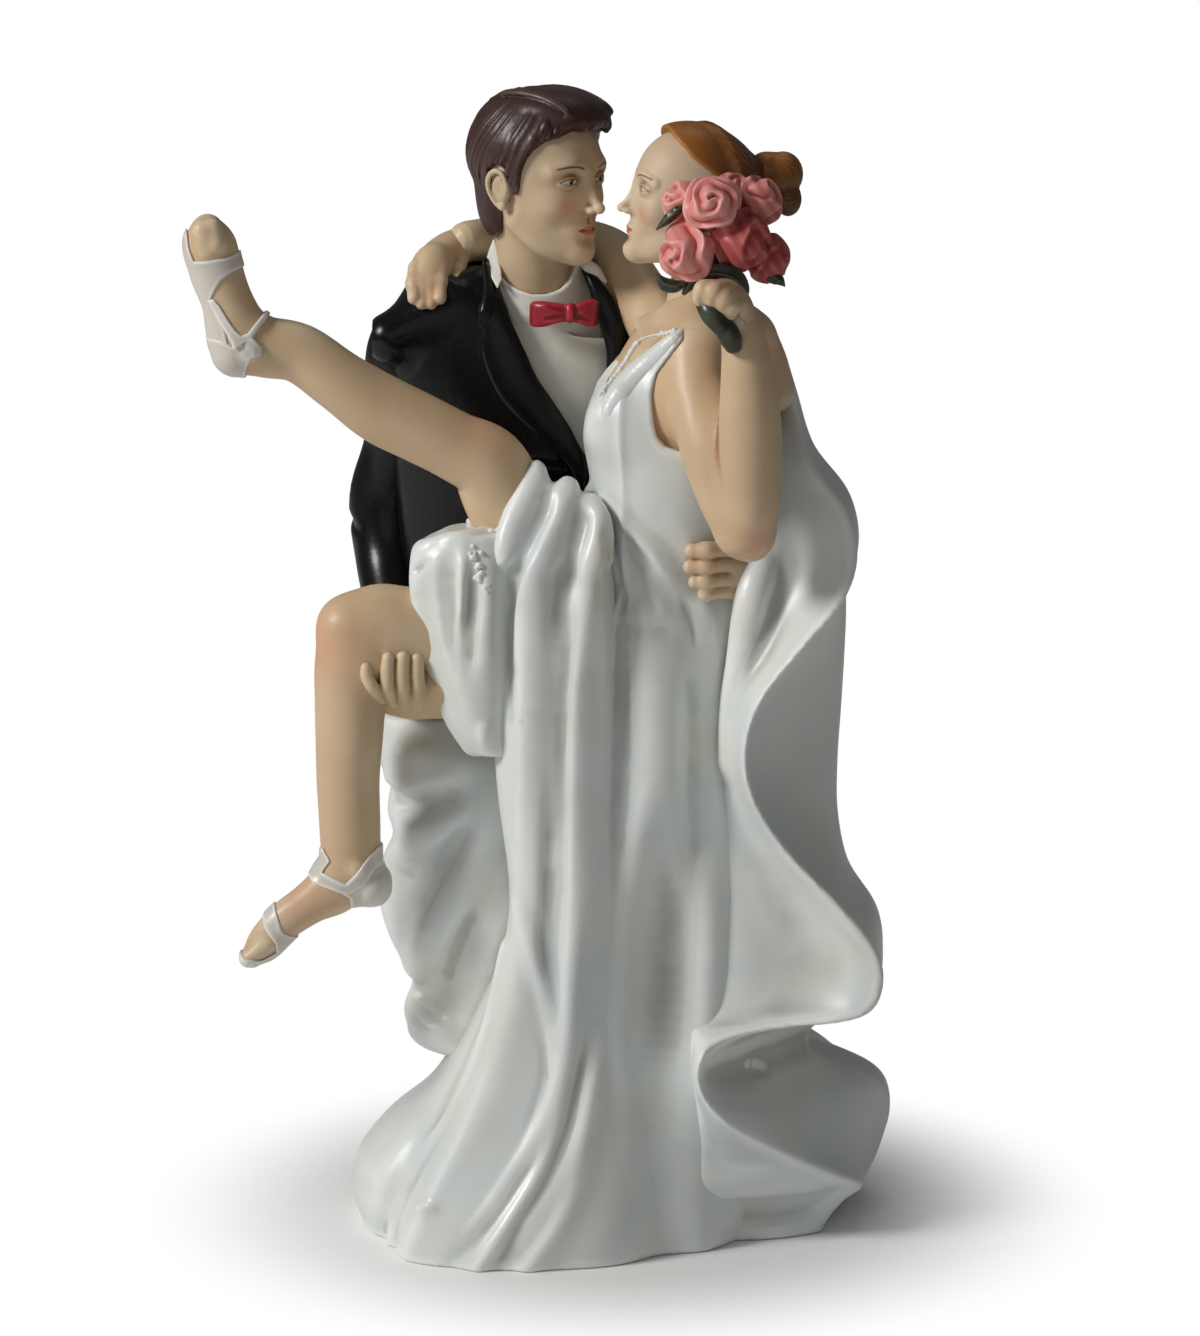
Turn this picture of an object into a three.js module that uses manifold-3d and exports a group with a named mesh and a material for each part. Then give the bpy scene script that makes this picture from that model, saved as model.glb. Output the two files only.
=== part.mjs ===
import * as THREE from 'three';
import { mergeVertices } from 'three/addons/utils/BufferGeometryUtils.js';
import Module from 'manifold-3d';

// Wedding cake topper: a groom lifts his bride, who holds a bouquet over her shoulder.
// Lengths are in millimetres. X runs to the viewer's right, Y away from the viewer and Z up.
// The figure stands on the plane Z = 0, and the X = 0 line passes through the middle of the hem.

// Overall frame. Places are written as shares of these three sizes.
const OVERALL_WIDTH = 90;
const OVERALL_DEPTH = 60;
const OVERALL_HEIGHT = 145;

// Clearance between neighbouring pieces
const SEAM_GAP = 0.3;

// Heads
const GROOM_HEAD_HEIGHT = 21.2;
const BRIDE_HEAD_HEIGHT = 18.4;
const GROOM_HAIR_COVER = 1.1;
const BRIDE_HAIR_COVER = 0.9;
const BUN_RADIUS = 3.0;
const CURL_RADIUS = 1.7;
const EAR_RADIUS = 2.5;

// Limbs and hands. Each is the half thickness at the thickest place.
const RAISED_LEG_RADIUS = 6.4;
const LOWER_LEG_RADIUS = 6.4;
const BRIDE_ARM_RADIUS = 3.7;
const BRIDE_NECK_RADIUS = 4.0;
const BRIDE_CHEST_RADIUS = 9.6;
const BRIDE_FINGER_RADIUS = 0.8;
const BRIDE_FINGER_PITCH = 1.24;
const BRIDE_PALM_RADIUS = 2.5;
const GROOM_NECK_RADIUS = 5.2;
const GROOM_SLEEVE_RADIUS = 5.0;
const GROOM_PALM_RADIUS = 3.4;
const GROOM_FINGER_RADIUS = 0.95;
const TROUSER_RADIUS = 6.2;
const SHOE_RADIUS = 3.6;

// Suit
const JACKET_RADIUS = 18.5;
const SHIRT_INSET = 1.0;
const SHIRT_DEPTH = 9;
const COLLAR_RADIUS = 6.3;
const BOW_WING_RADIUS = 1.9;
const BOW_KNOT_RADIUS = 1.35;
const LAPEL_RADIUS = 2.3;

// Dress
const BODICE_RADIUS = 11.7;
const NEAR_STRAP_RADIUS = 1.9;
const BEADED_STRAP_RADIUS = 0.85;
const PLEAT_WIDTH = 2.3;
const PLEAT_HEIGHT = 1.5;
const SMALL_PLEAT_HEIGHT = 0.9;
const PEAK_RADIUS = 2.6;
const GARTER_COVER = 0.5;
const TRAIN_RIM = 1.4;
const TRAIN_HOLLOW = 5.5;

// Sandals
const SANDAL_COVER = 0.7;
const STRAP_RADIUS = 0.6;

// Bouquet
const ROSE_RADIUS = 3.2;
const PETAL_RIPPLE = 0.35;
const LEAF_RADIUS = 2.1;
const STEM_RADIUS = 1.25;

// Colours
const SKIN = { color: 0xcdb491, roughness: 0.6 };
const SUIT_BLACK = { color: 0x0b0b0d, roughness: 0.3 };
const SHIRT_WHITE = { color: 0xe9ebe4, roughness: 0.55 };
const BOW_RED = { color: 0x9c1428, roughness: 0.45 };
const GROOM_HAIR_BROWN = { color: 0x46302e, roughness: 0.6 };
const BRIDE_HAIR_AUBURN = { color: 0x96560f, roughness: 0.55 };
const DRESS_WHITE = { color: 0xeef1f2, roughness: 0.45 };
const SANDAL_WHITE = { color: 0xf2ece6, roughness: 0.45 };
const ROSE_PINK = { color: 0xe18886, roughness: 0.55 };
const LEAF_GREEN = { color: 0x2c2a1a, roughness: 0.5 };

const wasm = await Module();
wasm.setup();

// Turns three shares into a point of the part.
function place(shares) {
  return new THREE.Vector3(
    shares[0] * OVERALL_WIDTH,
    shares[1] * OVERALL_DEPTH,
    shares[2] * OVERALL_HEIGHT,
  );
}

// Closes a stack of rings with equal point counts into one solid, with a pole at each end.
function solidFromRings(rings, firstPole, lastPole) {
  const sides = rings[0].length;
  const points = rings.flat().concat([firstPole, lastPole]);
  const firstIndex = rings.length * sides;
  const lastIndex = firstIndex + 1;
  const faces = [];
  for (let side = 0; side < sides; side += 1) {
    const next = (side + 1) % sides;
    faces.push([firstIndex, next, side]);
    for (let ring = 0; ring + 1 < rings.length; ring += 1) {
      const low = ring * sides;
      const high = low + sides;
      faces.push([low + side, low + next, high + next]);
      faces.push([low + side, high + next, high + side]);
    }
    const top = (rings.length - 1) * sides;
    faces.push([lastIndex, top + side, top + next]);
  }
  let volume = 0;
  const cross = new THREE.Vector3();
  for (const [a, b, c] of faces) {
    cross.crossVectors(points[b], points[c]);
    volume += points[a].dot(cross);
  }
  const order = volume < 0 ? [0, 2, 1] : [0, 1, 2];
  const vertProperties = new Float32Array(points.length * 3);
  points.forEach((point, index) => point.toArray(vertProperties, index * 3));
  const triVerts = new Uint32Array(faces.length * 3);
  faces.forEach((face, index) => {
    triVerts[index * 3] = face[order[0]];
    triVerts[index * 3 + 1] = face[order[1]];
    triVerts[index * 3 + 2] = face[order[2]];
  });
  return new wasm.Manifold(new wasm.Mesh({ numProp: 3, vertProperties, triVerts }));
}

// Turns a closed geometry into a solid that can be joined and cut.
function toSolid(geometry) {
  geometry.deleteAttribute('normal');
  geometry.deleteAttribute('uv');
  const closed = mergeVertices(geometry);
  const vertProperties = new Float32Array(closed.getAttribute('position').array);
  const triVerts = new Uint32Array(closed.getIndex().array);
  return new wasm.Manifold(new wasm.Mesh({ numProp: 3, vertProperties, triVerts }));
}

// A block to cut with, turned and placed by the caller.
function block(width, depth, height, move) {
  return toSolid(new THREE.BoxGeometry(width, depth, height).applyMatrix4(move));
}

// A window to cut with: an outline of x and z shares, pushed through from one y to another.
function frontWindow(outlineShares, nearY, farY) {
  const shape = new THREE.Shape(
    outlineShares.map(([x, z]) => new THREE.Vector2(x * OVERALL_WIDTH, z * OVERALL_HEIGHT)),
  );
  const geometry = new THREE.ExtrudeGeometry(shape, { depth: farY - nearY, bevelEnabled: false });
  geometry.rotateX(Math.PI / 2);
  geometry.translate(0, farY, 0);
  return toSolid(geometry);
}

function middle(ring) {
  const sum = new THREE.Vector3();
  ring.forEach((point) => sum.add(point));
  return sum.divideScalar(ring.length);
}

// A limb: oval rings along a line of places. Each row is x, y, z shares, then the shares of the
// limb's radius across the front view and through its depth. Round ends close it.
function limb(rows, radius, grow, sides = 10, flatEnds = false) {
  const centres = rows.map(place);
  const depthAxis = new THREE.Vector3(0, 1, 0);
  const rings = [];
  const ends = [];
  rows.forEach((row, index) => {
    const before = centres[Math.max(index - 1, 0)];
    const after = centres[Math.min(index + 1, rows.length - 1)];
    const along = after.clone().sub(before).normalize();
    const across = along.clone().cross(depthAxis).normalize();
    const through = across.clone().cross(along).normalize();
    const wide = row[3] * radius + grow;
    const deep = row[4] * radius + grow;
    const makeRing = (centre, share) => {
      const ring = [];
      for (let side = 0; side < sides; side += 1) {
        const angle = (2 * Math.PI * side) / sides;
        ring.push(
          centre
            .clone()
            .addScaledVector(across, Math.cos(angle) * wide * share)
            .addScaledVector(through, Math.sin(angle) * deep * share),
        );
      }
      return ring;
    };
    const first = index === 0;
    const last = index === rows.length - 1;
    const reach = flatEnds ? grow : Math.min(wide, deep);
    const outward = first ? -1 : 1;
    const endRings = [];
    if ((first || last) && flatEnds) {
      endRings.push(makeRing(centres[index].clone().addScaledVector(along, outward * reach), 1));
      ends.push(middle(endRings[0]));
      rings.push(endRings[0]);
      return;
    }
    if (first || last) {
      const bend = Math.PI / 4;
      const shoulder = centres[index].clone();
      shoulder.addScaledVector(along, outward * reach * Math.sin(bend));
      endRings.push(makeRing(shoulder, Math.cos(bend)));
      ends.push(centres[index].clone().addScaledVector(along, outward * reach));
    }
    if (first) {
      rings.push(...endRings);
    }
    rings.push(makeRing(centres[index], 1));
    if (last) {
      rings.push(...endRings);
    }
  });
  return solidFromRings(rings, ends[0], ends[1]);
}

// An egg: a rounded body given by its three radii, turned about Z and then tilted about Y.
function egg(centreShares, radii, turn, tilt, grow, sides = 10, levels = 5) {
  const centre = place(centreShares);
  const rotation = new THREE.Euler(0, tilt, turn, 'ZYX');
  const at = (level, angle) => {
    const height = Math.PI * (level / (levels + 1)) - Math.PI / 2;
    return new THREE.Vector3(
      Math.cos(height) * Math.cos(angle) * (radii[0] + grow),
      Math.cos(height) * Math.sin(angle) * (radii[1] + grow),
      Math.sin(height) * (radii[2] + grow),
    )
      .applyEuler(rotation)
      .add(centre);
  };
  const rings = [];
  for (let level = 1; level <= levels; level += 1) {
    const ring = [];
    for (let side = 0; side < sides; side += 1) {
      ring.push(at(level, (2 * Math.PI * side) / sides));
    }
    rings.push(ring);
  }
  return solidFromRings(rings, at(0, 0), at(levels + 1, 0));
}

// Reads a value from rows of [z share, value], in falling or rising order.
function readRow(rows, z, column) {
  const rising = rows[0][0] < rows[rows.length - 1][0];
  const list = rising ? rows : [...rows].reverse();
  if (z <= list[0][0]) {
    return list[0][column];
  }
  for (let index = 0; index + 1 < list.length; index += 1) {
    const low = list[index];
    const high = list[index + 1];
    if (z <= high[0]) {
      const part = (z - low[0]) / (high[0] - low[0]);
      return low[column] + (high[column] - low[column]) * part;
    }
  }
  return list[list.length - 1][column];
}

// A garment: level outlines, one per row of z, left, right, front and back shares, with pleats on
// its front. Each pleat has rows of z and x shares, and a height.
function garment(rows, pleats, grow, sides, squareness = 0.8) {
  const rings = rows.map((row, index) => {
    const left = row[1] * OVERALL_WIDTH - grow;
    const right = row[2] * OVERALL_WIDTH + grow;
    const front = row[3] * OVERALL_DEPTH - grow;
    const back = row[4] * OVERALL_DEPTH + grow;
    const lift = index === 0 ? -grow : index === rows.length - 1 ? grow : 0;
    const height = row[0] * OVERALL_HEIGHT + lift;
    const centreX = (left + right) / 2;
    const centreY = (front + back) / 2;
    const ring = [];
    for (let side = 0; side < sides; side += 1) {
      const angle = (2 * Math.PI * side) / sides;
      const cos = Math.cos(angle);
      const sin = Math.sin(angle);
      const x = centreX + ((right - left) / 2) * Math.sign(cos) * Math.abs(cos) ** squareness;
      let y = centreY + ((back - front) / 2) * Math.sign(sin) * Math.abs(sin) ** squareness;
      if (sin < 0) {
        for (const pleat of pleats) {
          const crest = readRow(pleat.rows, row[0], 1) * OVERALL_WIDTH;
          const off = (x - crest) / PLEAT_WIDTH;
          y -= pleat.height * Math.exp(-off * off) * Math.min(1, -2 * sin);
        }
      }
      ring.push(new THREE.Vector3(x, y, height));
    }
    return ring;
  });
  return solidFromRings(rings, middle(rings[0]), middle(rings[rings.length - 1]));
}

function joined(solids) {
  return solids.reduce((whole, solid) => whole.add(solid));
}

// Head of plain proportions. Rows give the level, front, back and half width, and how far the nose
// stands out, as shares of the head's height, from under the chin to the crown.
const headShares = [
  [0.02, 0.3, 0.02, 0.12, 0],
  [0.08, 0.38, 0.14, 0.19, 0],
  [0.16, 0.37, 0.22, 0.24, 0],
  [0.22, 0.4, 0.26, 0.27, 0],
  [0.3, 0.385, 0.3, 0.29, 0.06],
  [0.35, 0.38, 0.34, 0.3, 0.11],
  [0.42, 0.38, 0.38, 0.315, 0.06],
  [0.49, 0.365, 0.4, 0.325, 0.02],
  [0.57, 0.4, 0.42, 0.335, 0],
  [0.72, 0.39, 0.43, 0.335, 0],
  [0.86, 0.31, 0.37, 0.29, 0],
  [0.95, 0.2, 0.28, 0.19, 0],
];
const headAngles = [0, 14, 38, 70, 105, 142, 180, 218, 255, 290, 322, 346];

function head(chinShares, height, turn, tilt, grow) {
  const base = place(chinShares);
  const rotation = new THREE.Euler(0, tilt, turn, 'ZYX');
  const rings = headShares.map((row) => {
    const [level, front, back, half, nose] = row;
    return headAngles.map((degrees) => {
      const angle = (degrees * Math.PI) / 180;
      const cos = Math.cos(angle);
      const reach = cos > 0 ? front : back;
      const noseHere = degrees === 0 ? nose : 0;
      return new THREE.Vector3(
        cos * (reach * height + grow) + noseHere * height,
        Math.sin(angle) * (half * height + grow),
        level * height,
      )
        .applyEuler(rotation)
        .add(base);
    });
  });
  const chin = new THREE.Vector3(0.2 * height, 0, -grow).applyEuler(rotation).add(base);
  const crown = new THREE.Vector3(0, 0, height + grow).applyEuler(rotation).add(base);
  return solidFromRings(rings, chin, crown);
}

// Groom
const groomChinShares = [-0.126, 0.08, 0.849];
const groomTurn = -0.7;
const groomTilt = 0.02;
const groomNeckShares = [
  [-0.128, 0.12, 0.885, 0.9, 0.9],
  [-0.122, 0.13, 0.86, 0.92, 0.92],
  [-0.116, 0.15, 0.835, 0.98, 0.98],
  [-0.112, 0.18, 0.8, 1, 1],
];

function groomHead(grow) {
  const skull = head(groomChinShares, GROOM_HEAD_HEIGHT, groomTurn, groomTilt, grow);
  const neck = limb(groomNeckShares, GROOM_NECK_RADIUS, grow, 12);
  const rightEar = egg([-0.17, 0.025, 0.905], [EAR_RADIUS * 0.7, EAR_RADIUS * 0.4, EAR_RADIUS], 0.5, 0, grow, 6, 3);
  return joined([skull, neck, rightEar]);
}

function groomHair(grow) {
  const size = GROOM_HEAD_HEIGHT;
  const cap = head(groomChinShares, size, groomTurn, groomTilt, grow + GROOM_HAIR_COVER);
  const move = new THREE.Matrix4().makeTranslation(place(groomChinShares));
  const turned = move.clone().multiply(new THREE.Matrix4().makeRotationZ(groomTurn));
  const toFace = new THREE.Matrix4().makeTranslation(size * 0.62, 0, size * 0.27);
  const toNape = new THREE.Matrix4().makeTranslation(0, 0, -size * 0.27);
  const face = block(size, size, size, turned.multiply(toFace));
  const below = block(size * 2, size * 2, size, move.multiply(toNape));
  const tuft = limb(groomQuiffShares, EAR_RADIUS, grow, 8);
  return joined([cap.subtract(face).subtract(below), tuft]);
}
const groomQuiffShares = [
  [-0.11, 0.03, 0.972, 0.9, 0.9],
  [-0.075, 0.0, 0.972, 0.95, 0.95],
  [-0.048, -0.02, 0.965, 0.7, 0.7],
];

const collarShares = [
  [-0.116, 0.15, 0.846, 0.92, 0.92],
  [-0.113, 0.16, 0.83, 0.98, 0.98],
  [-0.112, 0.17, 0.808, 1, 1],
];

function groomCollar(grow) {
  return limb(collarShares, COLLAR_RADIUS, grow, 10, true);
}

const bowLeftShares = [
  [-0.134, 0.072, 0.803, 1, 0.5],
  [-0.11, 0.053, 0.803, 0.85, 0.5],
  [-0.087, 0.046, 0.803, 0.5, 0.45],
];
const bowRightShares = [
  [-0.045, 0.072, 0.803, 0.95, 0.5],
  [-0.06, 0.055, 0.803, 0.85, 0.5],
  [-0.079, 0.046, 0.803, 0.5, 0.45],
];
const bowKnotShares = [-0.083, 0.042, 0.803];

function bowTie(grow) {
  return joined([
    limb(bowLeftShares, BOW_WING_RADIUS, grow, 8),
    limb(bowRightShares, BOW_WING_RADIUS, grow, 8),
    egg(bowKnotShares, [BOW_KNOT_RADIUS * 0.8, BOW_KNOT_RADIUS * 0.8, BOW_KNOT_RADIUS], 0, 0, grow, 8, 3),
  ]);
}

const jacketShares = [
  [-0.11, 0.18, 0.822, 0.33, 0.33],
  [-0.118, 0.19, 0.805, 0.62, 0.38],
  [-0.125, 0.2, 0.788, 0.93, 0.45],
  [-0.13, 0.2, 0.75, 1, 0.52],
  [-0.134, 0.2, 0.67, 0.96, 0.54],
  [-0.13, 0.2, 0.58, 0.93, 0.53],
  [-0.122, 0.2, 0.53, 0.93, 0.53],
  [-0.115, 0.2, 0.475, 0.92, 0.52],
];
const shirtOpeningShares = [
  [-0.19, 0.86],
  [-0.03, 0.86],
  [-0.026, 0.79],
  [-0.026, 0.72],
  [-0.05, 0.655],
  [-0.088, 0.714],
  [-0.134, 0.738],
  [-0.158, 0.79],
];

function shirtOpening(grow) {
  const backY = place([0, 0.2, 0]).y;
  return frontWindow(shirtOpeningShares, backY - SHIRT_DEPTH * 2, backY + grow);
}

function shirtFront(grow) {
  return limb(jacketShares, JACKET_RADIUS, grow - SHIRT_INSET, 14).intersect(shirtOpening(0));
}

function jacketBody(grow) {
  return limb(jacketShares, JACKET_RADIUS, grow, 14, true).subtract(shirtOpening(SEAM_GAP));
}

const leftLapelShares = [
  [-0.19, 0.09, 0.848, 0.5, 0.35],
  [-0.187, 0.055, 0.822, 0.85, 0.35],
  [-0.178, 0.035, 0.788, 1, 0.35],
  [-0.155, 0.033, 0.742, 1, 0.35],
  [-0.115, 0.03, 0.708, 0.8, 0.35],
  [-0.07, 0.03, 0.675, 0.4, 0.35],
];
const rightLapelShares = [
  [-0.04, 0.1, 0.84, 0.4, 0.35],
  [-0.02, 0.075, 0.811, 0.8, 0.35],
  [-0.008, 0.06, 0.78, 0.9, 0.35],
  [-0.006, 0.06, 0.74, 0.7, 0.35],
];

const rightSleeveShares = [
  [-0.306, 0.217, 0.772, 0.95, 0.95],
  [-0.315, 0.233, 0.735, 1, 1],
  [-0.322, 0.26, 0.674, 0.93, 0.95],
  [-0.342, 0.275, 0.62, 1, 0.95],
  [-0.338, 0.233, 0.57, 0.9, 0.85],
  [-0.328, 0.15, 0.529, 0.8, 0.8],
  [-0.32, 0.06, 0.492, 0.72, 0.72],
];
const leftSleeveShares = [
  [0.045, 0.2, 0.782, 0.85, 0.8],
  [0.13, 0.25, 0.735, 0.95, 0.9],
  [0.22, 0.27, 0.67, 0.9, 0.9],
  [0.268, 0.255, 0.628, 0.9, 0.9],
  [0.283, 0.2, 0.6, 0.88, 0.88],
  [0.272, 0.12, 0.588, 0.8, 0.8],
  [0.23, 0, 0.585, 0.7, 0.7],
  [0.18, -0.09, 0.592, 0.55, 0.55],
];

function groomHand(palmShares, fingers, grow) {
  const palm = limb(palmShares, GROOM_PALM_RADIUS, grow, 8);
  return joined([palm, ...fingers.map((rows) => limb(rows, GROOM_FINGER_RADIUS, grow, 5))]);
}
const rightPalmShares = [
  [-0.318, 0.02, 0.474, 0.7, 0.62],
  [-0.322, -0.1, 0.467, 1.15, 0.45],
  [-0.33, -0.19, 0.469, 1.25, 0.4],
];
const rightFingers = [
  [-0.37, -0.33],
  [-0.346, -0.325],
  [-0.322, -0.31],
  [-0.298, -0.3],
].map(([x, y]) => [
  [x * 0.98, -0.19, 0.463, 1, 1],
  [x, y + 0.02, 0.474, 1, 1],
  [x, y, 0.495, 0.95, 0.95],
  [x, y, 0.514, 0.85, 0.85],
]);
const leftPalmShares = [
  [0.175, -0.115, 0.592, 0.6, 0.5],
  [0.15, -0.2, 0.598, 0.95, 0.55],
  [0.13, -0.235, 0.599, 1.05, 0.45],
];
const leftFingers = [0.618, 0.604, 0.591, 0.578].map((z) => [
  [0.135, -0.235, z, 0.9, 0.9],
  [0.11, -0.245, z, 1, 1],
  [0.09, -0.235, z, 0.95, 0.95],
  [0.075, -0.215, z, 0.8, 0.8],
]);

const rightTrouserShares = [
  [-0.19, 0.25, 0.46, 1.25, 1.1],
  [-0.19, 0.26, 0.36, 1.05, 0.95],
  [-0.18, 0.27, 0.22, 0.9, 0.85],
  [-0.175, 0.29, 0.1, 0.85, 0.8],
  [-0.175, 0.3, 0.033, 0.9, 0.85],
];
const leftTrouserShares = [
  [-0.03, 0.25, 0.46, 1.25, 1.1],
  [-0.01, 0.26, 0.36, 1.05, 0.95],
  [0.01, 0.27, 0.22, 0.9, 0.85],
  [0.02, 0.29, 0.1, 0.85, 0.8],
  [0.02, 0.3, 0.033, 0.9, 0.85],
];
const shoeShares = [
  [0, 0.38, 0.012, 0.85, 0.8],
  [0, 0.3, 0.015, 1, 1],
  [0, 0.2, 0.012, 1.05, 0.8],
  [0, 0.12, 0.008, 0.85, 0.6],
];

function shoe(xShare, grow) {
  const level = shoeShares.map(([x, y, z, wide, high]) => {
    const middlePlace = place([x + xShare, y, z]);
    return { middlePlace, wide: wide * SHOE_RADIUS + grow, high: high * SHOE_RADIUS + grow };
  });
  const rings = level.map(({ middlePlace, wide, high }) => {
    const ring = [];
    for (let side = 0; side < 10; side += 1) {
      const angle = (2 * Math.PI * side) / 10;
      ring.push(
        new THREE.Vector3(
          middlePlace.x + Math.cos(angle) * wide,
          middlePlace.y,
          Math.max(middlePlace.z + Math.sin(angle) * high, -grow),
        ),
      );
    }
    return ring;
  });
  const heel = middle(rings[0]);
  heel.y += SHOE_RADIUS * 0.3 + grow;
  const toe = middle(rings[rings.length - 1]);
  toe.y -= SHOE_RADIUS * 0.5 + grow;
  return solidFromRings(rings, heel, toe);
}

// Bride
const brideChinShares = [0.075, -0.1, 0.851];
const brideTurn = Math.PI + 0.12;
const brideTilt = -0.16;
const brideNeckShares = [
  [0.105, -0.07, 0.88, 0.95, 0.95],
  [0.108, -0.065, 0.85, 0.95, 0.95],
  [0.102, -0.065, 0.82, 1, 1],
  [0.094, -0.07, 0.788, 1.1, 1.1],
];

function brideHead(grow) {
  const skull = head(brideChinShares, BRIDE_HEAD_HEIGHT, brideTurn, brideTilt, grow);
  return joined([skull, limb(brideNeckShares, BRIDE_NECK_RADIUS, grow, 12)]);
}

// Side view of what the hair leaves bare: brow, cheek, ear and neck
const brideFaceShares = [
  [-0.05, 0.992],
  [0.072, 0.992],
  [0.092, 0.966],
  [0.128, 0.945],
  [0.14, 0.914],
  [0.168, 0.888],
  [0.215, 0.882],
  [0.215, 0.82],
  [-0.05, 0.82],
];

function brideHair(grow) {
  const cover = grow + BRIDE_HAIR_COVER;
  const cap = head(brideChinShares, BRIDE_HEAD_HEIGHT, brideTurn, brideTilt, cover);
  const reach = BRIDE_HEAD_HEIGHT;
  const centreY = place(brideChinShares).y;
  return cap.subtract(frontWindow(brideFaceShares, centreY - reach, centreY + reach));
}

// Places on the bride's head, as shares of its height from the chin
const bunShares = [0.719, 0.13, 0.607];
const curlShares = [0.768, 0.065, 0.386];

function brideBun(grow) {
  const onHead = (shares) => {
    const offset = new THREE.Vector3(...shares).multiplyScalar(BRIDE_HEAD_HEIGHT);
    const point = place(brideChinShares).add(offset);
    return [point.x / OVERALL_WIDTH, point.y / OVERALL_DEPTH, point.z / OVERALL_HEIGHT];
  };
  return joined([
    egg(onHead(bunShares), [BUN_RADIUS, BUN_RADIUS, BUN_RADIUS], 0, 0, grow, 10, 5),
    egg(onHead(curlShares), [CURL_RADIUS, CURL_RADIUS, CURL_RADIUS * 1.3], 0, 0, grow, 8, 4),
  ]);
}

const chestShares = [
  [0.095, -0.067, 0.8, 0.42, 0.42],
  [0.092, -0.075, 0.786, 0.72, 0.55],
  [0.09, -0.09, 0.77, 0.92, 0.72],
  [0.088, -0.1, 0.752, 0.97, 0.8],
  [0.085, -0.11, 0.73, 0.97, 0.8],
  [0.085, -0.115, 0.712, 0.85, 0.7],
];
const armholeShares = [0.066, -0.2, 0.722];

function brideShoulders(grow) {
  const side = [BRIDE_CHEST_RADIUS * 0.34, BRIDE_CHEST_RADIUS * 0.34, BRIDE_CHEST_RADIUS * 0.52];
  return joined([
    limb(chestShares, BRIDE_CHEST_RADIUS, grow, 12),
    egg(armholeShares, side, 0, 0, grow, 8, 4),
  ]);
}

const leftUpperArmShares = [
  [0.11, -0.16, 0.775, 0.95, 0.95],
  [0.15, -0.24, 0.745, 1, 1],
  [0.173, -0.3, 0.705, 0.98, 0.98],
  [0.175, -0.33, 0.665, 0.92, 0.92],
  [0.172, -0.345, 0.64, 0.92, 0.92],
  [0.163, -0.37, 0.65, 0.85, 0.85],
  [0.16, -0.385, 0.69, 0.8, 0.8],
  [0.148, -0.385, 0.73, 0.8, 0.8],
  [0.136, -0.383, 0.775, 0.68, 0.68],
  [0.124, -0.383, 0.812, 0.56, 0.56],
];
const bouquetHandShares = [
  [0.122, -0.383, 0.812, 0.75, 0.7],
  [0.115, -0.385, 0.83, 1, 0.8],
  [0.112, -0.4, 0.842, 1.05, 0.7],
];
// Fingers lie side by side at their own pitch.
const bouquetFingers = [-1.5, -0.5, 0.5, 1.5].map((step, index) => {
  const x = 0.115 + (step * BRIDE_FINGER_PITCH) / OVERALL_WIDTH;
  return [
    [x, -0.405, 0.842 - index * 0.004, 1, 1],
    [x + 0.002, -0.43, 0.836 - index * 0.004, 1, 1],
    [x + 0.006, -0.44, 0.826 - index * 0.004, 0.9, 0.9],
  ];
});
function bouquetHand(grow) {
  return joined([
    limb(bouquetHandShares, BRIDE_PALM_RADIUS, grow, 8),
    ...bouquetFingers.map((rows) => limb(rows, BRIDE_FINGER_RADIUS, grow, 5)),
  ]);
}

const rightArmShares = [
  [0.05, 0.03, 0.79, 1, 1],
  [0.015, 0.12, 0.82, 0.95, 0.95],
  [-0.015, 0.215, 0.845, 0.9, 0.9],
  [-0.07, 0.31, 0.852, 0.85, 0.85],
  [-0.13, 0.33, 0.854, 0.82, 0.82],
  [-0.19, 0.3, 0.857, 0.75, 0.75],
  [-0.235, 0.235, 0.855, 0.62, 0.62],
];
const shoulderHandShares = [
  [-0.24, 0.225, 0.853, 0.85, 0.8],
  [-0.268, 0.19, 0.842, 1.05, 0.85],
  [-0.28, 0.16, 0.828, 1.15, 0.7],
];
const shoulderFingers = [-0.302, -0.288, -0.274, -0.26].map((x, index) => [
  [x, 0.14 + index * 0.004, 0.83, 1.1, 1.1],
  [x, 0.105, 0.815, 1.05, 1.05],
  [x, 0.088, 0.803, 0.9, 0.9],
]);
function shoulderHand(grow) {
  return joined([
    limb(shoulderHandShares, BRIDE_PALM_RADIUS, grow, 8),
    ...shoulderFingers.map((rows) => limb(rows, BRIDE_FINGER_RADIUS, grow, 5)),
  ]);
}

const raisedLegShares = [
  [-0.573, -0.217, 0.893, 0.22, 0.2],
  [-0.567, -0.217, 0.877, 0.45, 0.36],
  [-0.561, -0.217, 0.856, 0.5, 0.42],
  [-0.546, -0.217, 0.829, 0.48, 0.43],
  [-0.53, -0.217, 0.803, 0.6, 0.45],
  [-0.5, -0.208, 0.789, 0.6, 0.5],
  [-0.449, -0.2, 0.782, 0.58, 0.54],
  [-0.394, -0.2, 0.758, 0.6, 0.6],
  [-0.339, -0.192, 0.734, 0.68, 0.66],
  [-0.284, -0.183, 0.716, 0.68, 0.68],
  [-0.236, -0.175, 0.7, 0.68, 0.68],
  [-0.192, -0.167, 0.684, 0.76, 0.74],
  [-0.168, -0.15, 0.654, 0.82, 0.8],
  [-0.133, -0.125, 0.614, 0.92, 0.92],
  [-0.085, -0.1, 0.568, 1, 1],
];
const raisedHeelShares = [-0.537, -0.217, 0.783];
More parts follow.
